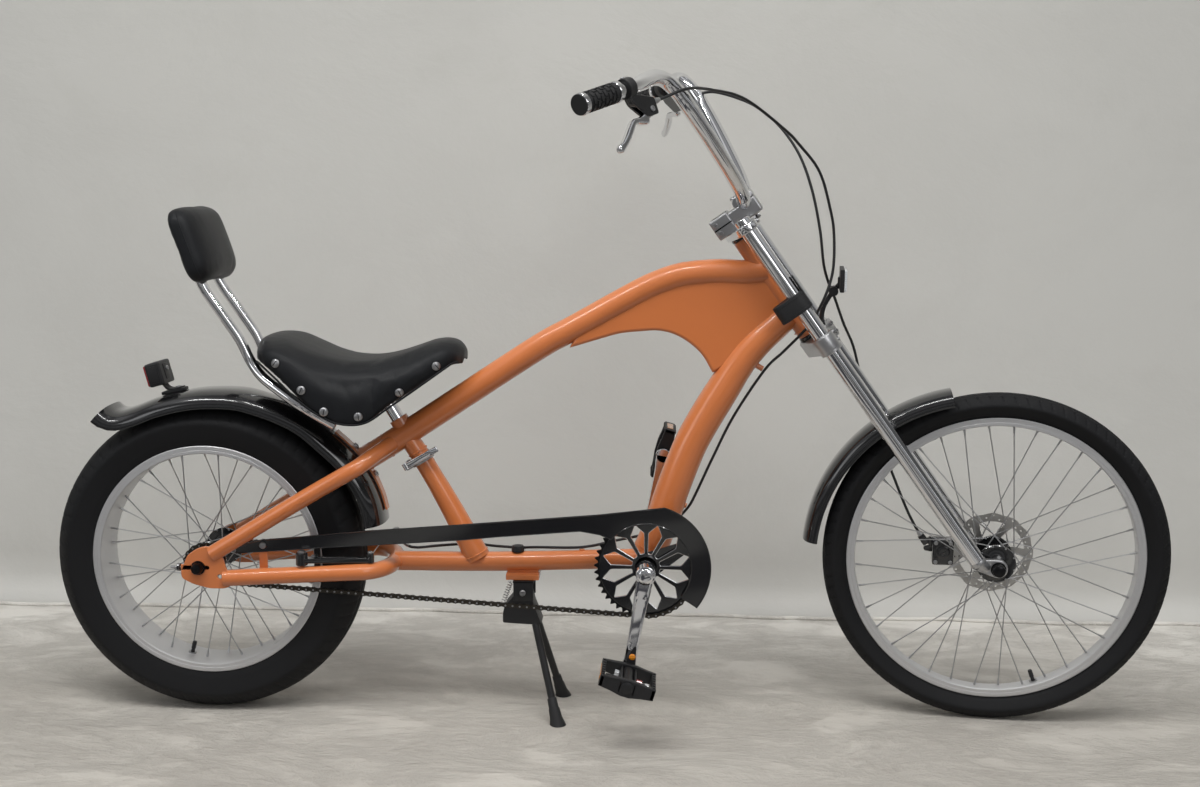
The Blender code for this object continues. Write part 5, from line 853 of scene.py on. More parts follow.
def crank_arm(word, side):
    """Forged arm that narrows to its eye, with a long dished face, a capped boss and the pedal's axle."""
    made = Body(word + "_crank_arm", CHROME, DARK_STEEL, PLASTIC, AMBER_LENS)
    inner, outer = 0.107, 0.1205
    rows = []
    for i in range(41):
        t = i / 40
        half = 0.015 - 0.0042 * math.sin(math.pi / 2 * min(t * 1.25, 1))
        half += 0.0022 * math.sin(max(0, t - 0.86) / 0.14 * math.pi / 2)
        sunk = 0.0046 * math.sin(math.pi * min(1, max(0, (t - 0.17) / 0.61)))
        right = [(0.86, inner), (1, inner + 0.003), (1, outer - 0.0035), (0.88, outer - 0.0008), (0.66, outer)]
        right.append((0.52, outer - sunk))
        left = [(-share, y) for share, y in reversed(right)]
        face = [*left[-2:], *right, (0, outer - sunk * 1.05), *left[:-2]]
        rows.append([Vector((half * share, side * y, side * CRANK_LENGTH * t)) for share, y in face])
    made.grid(rows)
    out = (0, side, 0)
    eye = [(0, 0), (0.0122, 0), (0.0136, 0.0014), (0.0136, 0.0121), (0.0122, 0.0135), (0, 0.0135)]
    made.turned(eye, aimed((0, side * inner, side * CRANK_LENGTH), out))
    foot = 0.057 if side < 0 else 0.056
    deep = outer - foot
    boss = [(0, 0), (0.018, 0), (0.0186, 0.001), (0.0172, inner - foot), (0.017, deep - 0.001), (0.0155, deep)]
    made.turned([*boss, (0, deep)], aimed((0, side * foot, 0), out))
    cap = [(0.0132, 0), (0.0132, 0.0014), (0.0118, 0.0028), (0.007, 0.0038), (0, 0.0042)]
    made.turned(cap, aimed((0, side * outer, 0), out), 40)
    ends = [(0, side * y, side * CRANK_LENGTH) for y in (outer - 0.002, outer + 0.078)]
    made.rod(*ends, 0.0054, 20, DARK_STEEL)
    made.done("crankset", word + "_crank", smooth=40, home=CRANKS)


def spindle():
    made = Body("spindle_taper", STEEL)
    made.rod((0, -0.1125, 0), (0, 0.1125, 0), 0.0085, 32, soft=0.0008)
    made.done("crankset", "crank_spindle", home=CRANKS)


def bracket_cups():
    cup = [(0.0089, 0.0345), (0.017, 0.0345), (0.017, 0.0503), (0.021, 0.0503), (0.021, 0.0526), (0.0202, 0.0533)]
    for node, side in (("bb_cup_right", -1), ("bb_cup_left", 1)):
        made = Body(node + "_ring", DARK_STEEL)
        made.turned([*cup, (0.0089, 0.0533)], Matrix.Translation(BRACKET) @ turn(-90 * side, "X"), closed=True)
        made.done("frame", node)


def pedal(word, side, home):
    """Cage of moulded plastic round an axle barrel, with toothed edges and a reflector at each end."""
    inner = 0.1235
    middle = side * (inner + 0.044)
    half = 0.048
    made = Body(word + "_pedal_cage", PLASTIC, AMBER_LENS, CLEAR_LENS, RED_LENS, DARK_STEEL)
    low = [(1, -0.0095), (0.55, -0.0125), (0.16, -0.0167)]
    high = [(1, 0.0095), (0.6, 0.0112), (0.25, 0.0135)]
    profile = [(-half * x, z) for x, z in low] + [(half * x, z) for x, z in reversed(low)]
    profile += [(half * x, z) for x, z in high] + [(-half * x, z) for x, z in reversed(high)]
    for reach in (0.0045, 0.0835):
        made.side_plate([profile], 0.009, side * (inner + reach), 0.0012)
    for lead in (-1, 1):
        x = lead * (half - 0.0035)
        made.block((x, middle, 0), (0.007, 0.088, 0.0186), 0.0012)
        for j in range(-3, 4):
            for z in (0.01, -0.01):
                made.block((x, middle + j * 0.0118, z), (0.005, 0.005, 0.003), 0.0004, segments=1)
        made.block((x + lead * 0.003312, middle, 0), (0.0022, 0.052, 0.012), 0.0006, AMBER_LENS, segments=1)
    for x in (-0.0122, 0.0122):
        made.block((x, middle, -0.001), (0.0034, 0.088, 0.02), 0.0008, segments=1)
    made.turned(sleeve(0.006, 0.0098, 0, 0.088), aimed((0, side * inner, 0), (0, side, 0)), 32)
    made.turned(dome(0.0104, 0.0028, 0.008, 0.004), aimed((0, side * (inner + 0.087), 0), (0, side, 0)), 28)
    for x in (-0.028, 0.028):
        made.block((x, middle, -0.004), (0.02, 0.004, 0.008), 0.0008, segments=1)
    for x, reach, z, size, finish in (
        (-0.019, 0.02, -0.003, (0.008, 0.012, 0.008), CLEAR_LENS),
        (0.019, 0.058, 0.005, (0.011, 0.01, 0.006), RED_LENS),
        (0.033, 0.062, 0.003, (0.007, 0.01, 0.007), CLEAR_LENS),
    ):
        made.block((x, side * (inner + reach), z), size, 0.0008, finish, segments=1)
    made.done(word + "_pedal", word + "_pedal", smooth=34, home=home)


def pedal_reflector(home):
    """Small amber disc on a black triangular bracket between the right crank and its pedal."""
    made = Body("right_amber_disc", PLASTIC, AMBER_LENS)
    outline = eased([(-0.0095, 0.006), (0.0095, 0.006), (0.0026, 0.043), (-0.0026, 0.043)], 0.003)
    made.side_plate([outline], 0.0014, -0.1228, 0.0003, rounds=1)
    disc = [(0.0056, 0), (0.0056, 0.0012), (0.0044, 0.002), (0, 0.0022)]
    made.turned(disc, aimed((0, -0.1232, 0.0255), (0, -1, 0)), 28, AMBER_LENS)
    made.done("right_pedal", smooth=34, home=home)


def drive():
    drive_chain()
    rear_cog()
    chainring()
    spindle()
    bracket_cups()
    crank_arm("right", -1)
    crank_arm("left", 1)
    right = CRANKS @ move(0, 0, -CRANK_LENGTH) @ turn(16 - CRANK_TURN, "Y")
    left = CRANKS @ move(0, 0, CRANK_LENGTH) @ turn(-74 - CRANK_TURN, "Y")
    pedal("right", -1, right)
    pedal("left", 1, left)
    pedal_reflector(right)


# Frame


def head_point(ahead, up):
    return HEAD @ Vector((ahead, 0, up))


def weld_bead(made, centre, axis, radius, width):
    """Rippled ring of weld round a tube."""
    place = aimed(centre, axis)
    rows = []
    foot = radius - 0.001
    for a in full_turn(72):
        swell = width * (0.9 + 0.25 * math.sin(24 * a))
        crown = [(radius + swell * 0.55, -swell * 0.5), (radius + swell * 0.62, swell * 0.4)]
        ring = [(foot, -swell), *crown, (foot, swell)]
        rows.append([place @ Vector((*polar(r, a), h)) for r, h in ring])
    made.grid(rows, loop=True)


def frame_tubes(made):
    route = [
        (-0.4325, 0.464), (-0.374, 0.501), (-0.25, 0.5835), (-0.1171, 0.6715), (-0.0551, 0.706), (0.0456, 0.763),
        (0.09, 0.785), (0.1357, 0.8), (0.1979, 0.806), (0.24, 0.8045),
    ]
    top = [(x, 0, z) for x, z in route] + [head_point(0.004, 0.655)]
    made.tube(smooth_route(top, 0.018), 0.0225, 40)
    route = [(0.096, 0.34), (0.108, 0.375), (0.125, 0.428), (0.156, 0.508), (0.205, 0.595), (0.25, 0.665)]
    down = [BRACKET + Vector((0.004, 0, 0.01)), *((x, 0, z) for x, z in route), head_point(-0.01, 0.57)]
    down = smooth_route(down, 0.014)
    last = len(down) - 1
    made.tube(down, 0.03, 44, None, [1 - 0.18 * max(0, i / last - 0.6) / 0.4 for i in range(last + 1)])
    seat = smooth_route([(-0.352, 0, 0.502), (-0.3205, 0, 0.452), (-0.276, 0, 0.374), (-0.23, 0, 0.285)], 0.012)
    widths = [1, 1, 1.15, 1.3]
    shares = []
    for i in range(len(seat)):
        t = 3 * i / (len(seat) - 1)
        k = min(int(t), 2)
        shares.append(widths[k] + (widths[k + 1] - widths[k]) * (t - k))
    made.tube(seat, 0.0175, 36, None, shares)
    made.turned(collar(0.0158, 0.018, 0.5222, 0.7238, 0.0002, 0.001), HEAD)
    lower = [(-0.38, 0, 0.2765), (-0.19, 0, 0.2785), BRACKET + Vector((0, 0, 0.0005))]
    made.tube(smooth_route(lower, 0.03), 0.0177, 36)
    shell = collar(0.0182, 0.0225, -0.05, 0.05, 0.0005, 0.0006)
    made.turned(shell, Matrix.Translation(BRACKET) @ ALONG_Y, closed=True)
    stays = [
        (-0.67, -STAY_SPREAD, 0.2622), (-0.6, -STAY_SPREAD, 0.2668), (-0.45, -STAY_SPREAD, 0.2762),
        (-0.418, -0.081, 0.2772), (-0.395, -0.062, 0.2772), (-0.383, -0.033, 0.2768), (-0.38, 0, 0.2765),
    ]
    made.tube(mirrored(smooth_route(stays, 0.01)), 0.0145, 32)
    for side in (-1, 1):
        route = [
            (-0.69, STAY_SPREAD, 0.306), (-0.53, STAY_SPREAD, 0.405), (-0.455, STAY_SPREAD, 0.4495),
            (-0.43, 0.079, 0.464), (-0.408, 0.056, 0.479), (-0.39, 0.027, 0.49), (-0.38, 0.01, 0.496),
        ]
        made.tube(smooth_route([(x, side * y, z) for x, y, z in route], 0.01), 0.0145, 32)
    start = Vector((-0.356, 0, 0.513))
    reach = (SEAT_HEAD - SEAT_ALONG * 0.034 - start).length
    socket = [(0.014, 0), (0.017, 0), (0.017, reach - 0.001), (0.0162, reach), (0.0131, reach), (0.0131, 0)]
    made.turned(socket, aimed(start, SEAT_ALONG), 40, closed=True)
    for centre, axis, radius, width in (
        (head_point(-0.002, 0.5335), HEAD.to_3x3() @ Vector((0, 0, 1)), 0.0178, 0.0012),
        ((-0.2337, 0, 0.2921), (0.46, 0, -0.888), 0.0226, 0.0022),
        ((-0.337, 0, 0.479), (0.53, 0, -0.85), 0.0176, 0.0022),
        ((-0.392, 0, 0.489), (0.84, 0, 0.54), 0.0222, 0.002),
        ((0.0845, 0, 0.3085), (0.35, 0, 0.94), 0.03, 0.0024),
    ):
        weld_bead(made, centre, axis, radius, width)


def frame_plates(made):
    """Gusset, dropouts, tabs, the fender's strap and the stand's plate."""
    bow = [
        (-0.0639, 0.67), (-0.011, 0.6863), (0.0244, 0.6964), (0.0596, 0.7004), (0.0948, 0.702), (0.1302, 0.6914),
        (0.1658, 0.6643), (0.188, 0.629),
    ]
    back = [
        (0.23, 0.65), (0.262, 0.683), (0.3171, 0.7443), (0.2763, 0.8011), (0.24, 0.803), (0.16, 0.8), (0.09, 0.78),
        (0.04, 0.755), (-0.05, 0.7),
    ]
    made.side_plate([[(p.x, p.y) for p in flat_route(bow, 0.008)] + back], 0.028, 0, 0.006, rounds=4)
    z = REAR_AXLE.z
    plate = [
        (-0.746, z - 0.008), (-0.733, 0.304), (-0.718, 0.315), (-0.703, 0.3205), (-0.684, 0.3185), (-0.67, 0.3),
        (-0.665, 0.28), (-0.656, 0.27), (-0.656, 0.25), (-0.668, 0.2445), (-0.695, 0.2445), (-0.724, 0.252),
        (-0.744, 0.262),
    ]
    slot = [(-0.7455, z + 0.005), *arc(-0.6981, z, 0.005, 90, -90, 8), (-0.7455, z - 0.005)]
    rear = eased(plate, 0.006, 4)
    rear = rear[4:] + rear[:4] + slot
    for side in (-1, 1):
        made.side_plate([rear, circle(-0.6765, 0.266, 0.0042, 20)], 0.006, side * 0.088, 0.001)
        for low, high, radius, sides, tip in ((0.274, 0.2858, 0.0085, 24, 0.0065), (0.285, 0.3108, 0.004, 16, None)):
            stud = [(BRAKE_POST, side * STAY_SPREAD, height) for height in (low, high)]
            made.rod(*stud, radius, sides, None, tip)
    made.block((GUARD_TAB, -0.0672, 0.296), (0.015, 0.003, 0.056), 0.0008)
    made.block((GUARD_TAB, -0.072, 0.274), (0.015, 0.014, 0.009), 0.0012)
    made.block((-0.147, 0, 0.2553), (0.06, 0.046, 0.011), 0.0018)
    made.block((-0.147, 0, 0.263), (0.056, 0.02, 0.016), 0.0018)
    for x, z, far_x, far_z in (
        (0.24, 0.656, 0.2766, 0.6356), (0.115, 0.398, 0.1462, 0.3868), (-0.0409, 0.286, -0.0409, 0.3041),
    ):
        made.rod((x, 0, z), (far_x, 0, far_z), 0.005, 18, soft=0.0008)
    crown = flat_route([(x + 0.0016, z + 0.0016) for x, z in FENDER_ROUTE[-6:-1]], 0.006)
    rows = []
    for i, p in enumerate(crown):
        along = crown[min(i + 1, len(crown) - 1)] - crown[max(i - 1, 0)]
        out = Vector((-along.y, along.x)).normalized()
        ring = [(-0.011, 0), (0.011, 0), (0.011, 0.003), (-0.011, 0.003)]
        rows.append([Vector((p.x + out.x * h, y, p.y + out.y * h)) for y, h in ring])
    made.grid(rows)


FENDER_ROUTE = [
    (-0.888, 0.56), (-0.88, 0.5535), (-0.866, 0.5515), (-0.8401, 0.559), (-0.803, 0.5735), (-0.7569, 0.5855),
    (-0.7112, 0.5916), (-0.6568, 0.5912), (-0.6206, 0.584), (-0.57, 0.567), (-0.525, 0.544), (-0.4862, 0.5118),
    (-0.4516, 0.4793), (-0.4238, 0.4425), (-0.4053, 0.4037), (-0.3964, 0.3712), (-0.3935, 0.3527),
]


def rolled_fender(made, points, half, drop, flare=0.0):
    """A crowned skin with rolled lips, wider where it flares at its first end."""
    rows = []
    last = len(points) - 1
    for i, p in enumerate(points):
        along = (points[min(i + 1, last)] - points[max(i - 1, 0)]).normalized()
        out = Vector((-along.y, along.x))
        out = out if out.y > 0 or abs(out.y) < abs(out.x) and out.x > 0 else -out
        wide = half * (1 + flare * max(0, 1 - i * 5 / last) ** 2)
        section = []
        for j in range(17):
            t = -1 + j / 8
            y = wide * math.copysign(abs(math.sin(t * math.pi / 2)) ** 0.92, t)
            section.append((y, -drop * (1 - math.cos(t * math.pi / 2)) ** 1.25))
        inner = [(y * 0.962, h - 0.0016) for y, h in reversed(section[1:-1])]
        y, h = section[-1]
        lip = [(y - 0.0004, h - 0.0016), (y * 0.955, h - 0.0008)]
        ring = section + lip + inner + [(-y, h) for y, h in reversed(lip)]
        rows.append([Vector((p.x + out.x * h, y, p.y + out.y * h)) for y, h in ring])
    made.grid(rows)


def rear_fender():
    made = Body("rear_fender_skin", BLACK, STEEL)
    rolled_fender(made, flat_route([(x, z - 0.0004) for x, z in FENDER_ROUTE], 0.009), 0.057, 0.03, 0.08)
    for x, z in ((-0.414, 0.4375), (-0.449, 0.487)):
        made.bolt((x, 0, z), (0.8, 0, 0.6), 0.006, 0.0034, STEEL)
    made.done("frame", "rear_fender", smooth=40)


def rear_reflector():
    """Red lens in a black box, on a bent foot bolted to the fender."""
    made = Body("rear_reflector_box", PLASTIC, RED_LENS, STEEL)
    aim = turn(-15, "Y")
    place = move(-0.8062, 0, 0.6145) @ aim
    made.block((0.004, 0, 0), (0.028, 0.056, 0.042), 0.004, None, place, 3)
    made.block((-0.0092, 0, 0), (0.008, 0.052, 0.038), 0.003, RED_LENS, place, 3)
    for side in (-1, 1):
        made.block((0.004, side * 0.0282, 0), (0.018, 0.0012, 0.03), 0.001, None, place)
    made.block((0.015, 0, 0.001), (0.009, 0.024, 0.03), 0.002, None, place)
    made.bolt(place @ Vector((0.019, 0, 0.006)), aim.to_3x3() @ Vector((1, 0, 0)), 0.0045, 0.003, STEEL)
    bend = [(-0.8, 0.602), (-0.793, 0.596), (-0.786, 0.5885), (-0.776, 0.587), (-0.76, 0.5905)]
    corners = ((-0.011, -0.0018), (0.011, -0.0018), (0.011, 0.0022), (-0.011, 0.0022))
    made.grid([[Vector((p.x, y, p.y + h)) for y, h in corners] for p in flat_route(bend, 0.003)])
    made.block((0, 0, 0), (0.044, 0.0216, 0.006), 0.002, None, move(-0.775, 0, 0.584) @ turn(-13, "Y"))
    made.bolt((-0.768, 0, 0.5895), (-0.2, 0, 1), 0.006, 0.0036, STEEL)
    made.done("frame", "rear_reflector")


def chain_guard():
    """Pressed gloss sheet with a folded edge, hooked round the chainring."""
    x, z = BRACKET.x, BRACKET.z
    upper = [
        (-0.6521, 0.3167), (-0.6051, 0.3284), (-0.537, 0.335), (-0.4156, 0.3479), (-0.2523, 0.3615), (-0.0061, 0.3835),
        *arc(x, z, 0.1135, 74, -38, 40),
    ]
    lower = arc(x, z, 0.08, -40, 140, 44) + [
        (-0.0058, 0.348), (-0.041, 0.354), (-0.1818, 0.3419), (-0.2526, 0.3344), (-0.5375, 0.3132), (-0.6525, 0.3039),
    ]
    made = Body("chain_guard_sheet", BLACK, STEEL)
    made.side_plate([upper + lower], 0.0012, -0.0692, 0.0004)
    for edge, radius in ((upper, 0.0013), (lower[1:], 0.0011)):
        made.tube([(px, -0.0694, pz) for px, pz in edge], radius, 10)
    made.bolt((GUARD_TAB, -0.0697, 0.3193), (0, -1, 0), 0.0062, 0.0042, STEEL)
    inner_y = -0.0537
    reach, rise = polar(0.103, math.radians(28))
    corner = (x + reach, z + rise)
    foot = [capsule((x, z), 0.024, corner, 0.006), circle(x, z, 0.02, 36)]
    made.side_plate(foot, 0.0016, inner_y - 0.0008, 0.0003, rounds=1)
    made.rod((corner[0], inner_y, corner[1]), (corner[0], -0.0692, corner[1]), 0.0045)
    made.done("frame", "chain_guard", smooth=30)


def rear_axle():
    made = Body("rear_axle_and_nuts", STEEL, DARK_STEEL, PLASTIC)
    x, z = REAR_AXLE.x, REAR_AXLE.z
    made.rod((x, -0.106, z), (x, 0.106, z), 0.0047, 24, soft=0.0008)
    cap = [(0.0126, 0), (0.0126, 0.0018), (0.01, 0.0022), (0.0098, 0.011), (0.008, 0.0142), (0.004, 0.0154)]
    cap.append((0, 0.0156))
    for side in (-1, 1):
        made.turned(sleeve(0.0047, 0.0092, 0.0797, 0.0845), REAR_WHEEL @ turn(-90 * side, "X"), 24)
        made.turned(cap, aimed((x, side * 0.0913, z), (0, side, 0)), 32, DARK_STEEL)
        radius, height = 0.0112, 0.0075
        hexagon = [polar(radius, a) for a in full_turn(6)]
        nut = aimed((x, side * 0.0935, z), (0, side, 0)) @ move(0, 0, height / 2)
        made.plate([hexagon], height, height * 0.12, DARK_STEEL, nut, 1)
    made.rod((x, -0.088, z), (-0.764, -0.088, z), 0.0022, 14)
    made.block((-0.7495, -0.088, z), (0.005, 0.015, 0.0075), 0.0015, PLASTIC)
    made.turned(sleeve(0.0022, 0.0072, 0, 0.0045), aimed((-0.747, -0.088, z), (-1, 0, 0)), 12)
    made.done("frame", "rear_axle", smooth=32)


def stand():
    """Black channel with its capped bolt, and the two legged stand on rubber feet."""
    made = Body("stand_channel", PLASTIC, STEEL)
    made.block((-0.145, 0, 0.2473), (0.038, 0.056, 0.0044), 0.0014)
    for side in (-1, 1):
        made.block((-0.145, side * 0.0262, 0.231), (0.036, 0.0036, 0.037), 0.0012)
        made.bolt((-0.146, side * 0.028, 0.228), (0, side, 0), 0.0055, 0.003, STEEL)
    made.rod((-0.157, 0, 0.2465), (-0.157, 0, 0.3), 0.004, 18, STEEL)
    cap = [(0.0115, 0), (0.0115, 0.006), (0.01, 0.0104), (0.006, 0.011), (0, 0.011)]
    made.turned(cap, move(-0.157, 0, 0.2981), 32)
    made.done("frame", "stand_bracket", smooth=34)
    legs = Body("stand_legs", PLASTIC, GRIP)
    outline = [
        (0.0115, 0.009), (0.006, 0.0125), (-0.006, 0.0125), (-0.014, 0.006), (-0.017, -0.008), (-0.033, -0.026),
        (-0.0365, -0.04), (-0.0365, -0.0575), (0.01, -0.06), (0.034, -0.06), (0.02, -0.025),
    ]
    legs.side_plate([eased(outline, 0.003, 3)], 0.0468, 0, 0.0012, None, STAND)
    boot = [
        (0, 0), (0.007, 0), (0.0084, 0.002), (0.009, 0.018), (0.01, 0.02), (0.0112, 0.036), (0.014, 0.047),
        (0.0142, 0.056), (0, 0.056),
    ]
    for side in (-1, 1):
        hip = STAND @ Vector((0.02, side * 0.015, -0.052))
        foot = Vector((-0.0795, side * 0.0734, 0))
        run = (foot - hip).normalized()
        legs.rod(hip, foot - run * 0.012, 0.0066, 22)
        place = aimed(foot - run * 0.048, run)
        rows = [[place @ Vector((*polar(r, a), h)) for r, h in boot] for a in full_turn(28)]
        for p in (p for row in rows for p in row):
            p.z = max(p.z, 0.0002)
        legs.grid(rows, GRIP, False, True)
    legs.done("kickstand", "kickstand", smooth=34)


def seat_clamp():
    """Bolted collar round the seat tube, with its cam lever."""
    pivot = Vector((-0.3547, -0.024, 0.4561))
    back = Vector((-SEAT_ALONG.z, 0, SEAT_ALONG.x))
    place = axes((-0.3296, 0, 0.4668), back, SEAT_ALONG.cross(back), SEAT_ALONG)
    made = Body("seat_clamp_collar", STEEL)
    made.turned(collar(0.0187, 0.0222, -0.0068, 0.0068, 0.0006, 0.001), place, closed=True)
    made.block((0.0262, 0, 0), (0.014, 0.02, 0.012), 0.0012, None, place)
    made.rod((pivot.x, 0.018, pivot.z), pivot, 0.0022, 14)
    nut = [(0, 0), (0.0056, 0), (0.0056, 0.006), (0.0048, 0.0076), (0, 0.008)]
    made.turned(nut, aimed((pivot.x, 0.0084, pivot.z), (0, 1, 0)), 20)
    made.done("frame", "seat_clamp", smooth=34)
    run = Vector((0.861, 0, 0.5086)).normalized()
    hinge = Vector((-run.z, 0, run.x))
    handle = Body("seat_clamp_handle", CHROME, base=axes(pivot, run, hinge.cross(run), hinge))
    handle.turned(sleeve(0.0016, 0.0058, -0.006, 0.006), None, 28, closed=True)
    shape = [(0.002, -0.0056), (0.052, -0.009), (0.067, -0.0065), (0.067, -0.0025), (0.002, -0.0006)]
    handle.plate([eased(shape, 0.002, 3)], 0.0108, 0.001)
    handle.done("seat_clamp_lever", "seat_clamp_lever", smooth=34)


def brake_arms():
    """Two black arms on the stays, with their pads, posts and bolts."""
    for word, side in (("right", -1), ("left", 1)):
        made = Body(word + "_brake_arm", BLACK, PLASTIC, STEEL, base=move(BRAKE_POST, side * STAY_SPREAD, 0.286))
        pivot = [
            (0.0042, 0.0026), (0.0098, 0.0026), (0.0105, 0.0036), (0.0105, 0.0232), (0.0092, 0.0244), (0.0042, 0.0244)
        ]
        made.turned(pivot, None, 32, closed=True)
        made.turned(dome(0.007, 0.0026, 0.005, 0.004), move(0, 0, 0.025), 20, STEEL)
        tip = (0.1196, -side * 0.009)
        shape = capsule((0, 0), 0.009, tip, 0.0062)
        window = capsule((0.03, -side * 0.0024), 0.0036, (0.096, -side * 0.0072), 0.0026, 6)
        made.plate([shape, window], 0.009, 0.0014, None, move(0, 0, 0.0115))
        post = [(0.0028, 0), (0.0066, 0), (0.0072, 0.0008), (0.0072, 0.0166), (0.006, 0.0174), (0.0028, 0.0174)]
        made.turned(post, move(*tip, 0.0065), 24, closed=True)
        made.bolt((*tip, 0.0238), (0, 0, 1), 0.0046, 0.003, STEEL)
        made.rod((0.0182, 0, 0.0115), (0.0182, -side * 0.0345, 0.0115), 0.003, 14, STEEL)
        for reach in (0.007, 0.012):
            washer = made.aim((0.0182, -side * reach, 0.0115), (0, -side, 0))
            made.turned([(0.003, 0), (0.0062, 0.0004), (0.0066, 0.003), (0.003, 0.0036)], washer, 20, STEEL)
        made.block((0.0182, -side * 0.038, 0.0115), (0.01, 0.0088, 0.046), 0.0024, PLASTIC, None, 3)
        node = "rear_brake_arm_" + word
        made.done(node, node, smooth=34)


def headset():
    for node, low, high in (("headset_upper", 0.7243, 0.731), ("headset_lower", 0.515, 0.5217)):
        made = Body(node + "_ring", BLACK)
        cup = [(0.013, low), (0.018, low), (0.019, low + 0.0012), (0.019, high - 0.0012), (0.0178, high), (0.013, high)]
        made.turned(cup, HEAD, 44, closed=True)
        made.done("frame", node)


def stand_spring():
    """Coil with straight ends, stretched between the frame and the stand."""
    coil = Body("stand_coil", STEEL)
    start, end = Vector((-0.1691, 0, 0.2435)), Vector((-0.1874, 0, 0.1937))
    aim = aimed(start, end - start)
    length = (end - start).length
    radius, wire = 0.004, 0.0008
    steps = 9 * 14
    points = [(radius, 0, 0.001)]
    for i in range(steps + 1):
        points.append((*polar(radius, 2 * math.pi * i / 14), 0.004 + (length - 0.008) * i / steps))
    points.append((radius, 0, length - 0.001))
    coil.tube([aim @ Vector(p) for p in points], wire, 8)
    coil.done("frame", "stand_spring", bend=("kickstand", start, end))


def frame_pieces():
    made = Body("frame_tubes", ORANGE)
    frame_tubes(made)
    frame_plates(made)
    made.done("frame", "frame", smooth=36)
    rear_fender()
    rear_reflector()
    chain_guard()
    rear_axle()
    stand()
    seat_clamp()
    brake_arms()
    headset()
    stand_spring()


# Seat, sissy bar and backrest


def puffed(made, pressure, cap, voxel):
    """Swells a closed cover with the cloth solver, holds each point near its start, and smooths it."""
    bmesh.ops.recalc_face_normals(made.bm, faces=made.bm.faces)
    mesh = bpy.data.meshes.new(made.name)
    made.bm.to_mesh(mesh)
    made.bm.free()
    obj = bpy.data.objects.new(made.name, mesh)
    bpy.context.scene.collection.objects.link(obj)
    remesh = obj.modifiers.new("even_grid", "REMESH")
    remesh.mode = "VOXEL"
    remesh.voxel_size = voxel
    even = settled_mesh(obj)
    obj.modifiers.clear()
    obj.data = even
    start = [v.co.copy() for v in even.vertices]
    last_step = 20
    cloth = obj.modifiers.new("cover", "CLOTH")
    cloth.settings.quality = 6
    cloth.settings.use_pressure = True
    cloth.settings.uniform_pressure_force = pressure
    cloth.settings.tension_stiffness = 25
    cloth.settings.compression_stiffness = 25
    cloth.settings.effector_weights.gravity = 0
    cloth.point_cache.frame_start = 1
    cloth.point_cache.frame_end = last_step
    for step in range(1, last_step + 1):
        bpy.context.scene.frame_set(step)
    swollen = settled_mesh(obj)
    obj.modifiers.clear()
    for vertex, spot in zip(swollen.vertices, start):
        shift = vertex.co - spot
        if shift.length > cap:
            vertex.co = spot + shift * (cap / shift.length)
    obj.data = swollen
    bpy.context.scene.frame_set(1)
    relax = obj.modifiers.new("relaxed", "SMOOTH")
    relax.factor = 0.5
    relax.iterations = 6
    finer = obj.modifiers.new("finer", "SUBSURF")
    finer.levels = 1
    cover = settled_mesh(obj)
    obj.modifiers.clear()
    bpy.data.objects.remove(obj)
    return cover


# Along the seat: x, the height of its top and of its lower edge, and half its width
SEAT_STATIONS = [
    (-0.612, 0.679, 0.655, 0.05), (-0.603, 0.685, 0.65, 0.085), (-0.586, 0.6895, 0.642, 0.108),
    (-0.556, 0.685, 0.618, 0.122), (-0.52, 0.67, 0.583, 0.125), (-0.485, 0.656, 0.556, 0.122),
    (-0.45, 0.648, 0.54, 0.115), (-0.41, 0.647, 0.541, 0.105), (-0.37, 0.654, 0.568, 0.096),
    (-0.325, 0.669, 0.6, 0.086), (-0.285, 0.685, 0.629, 0.072), (-0.262, 0.683, 0.645, 0.055),
    (-0.248, 0.67, 0.642, 0.034),
]
SEAT_STUDS = [
    (-0.5592, 0.6505), (-0.5142, 0.6058), (-0.4769, 0.5687), (-0.4205, 0.5588), (-0.3523, 0.5992), (-0.2909, 0.643)
]


def seat_rows():
    """Rows of the seat's section, at even steps along its length."""
    halves = flat_route([(x, half) for x, _, _, half in SEAT_STATIONS], 0.006)
    rows = []
    for p in smooth_route([station[:3] for station in SEAT_STATIONS], 0.006):
        half = min(halves, key=lambda q: abs(q.x - p.x)).y
        top, bottom = p.y, p.z
        deep = top - bottom
        belly = bottom + 0.35 * deep
        edge = top - 0.013
        right = [(0, top), (0.3, top - 0.0006), (0.52, top - 0.0028), (0.7, top - 0.007), (0.84, edge)]
        right += [(0.935, edge - 0.1 * deep), (0.975, edge - 0.24 * deep), (0.985, top - 0.52 * deep)]
        right += [(0.99, bottom + 0.22 * deep), (0.995, bottom + 0.05 * deep), (0.975, bottom), (0.9, bottom + 0.0015)]
        right += [(0.84, bottom + 0.12 * deep), (0.5, belly - 0.003), (0, belly)]
        rows.append([Vector((p.x, -y * half, z)) for y, z in right])
        rows[-1] += [Vector((p.x, y * half, z)) for y, z in reversed(right[1:-1])]
    return rows


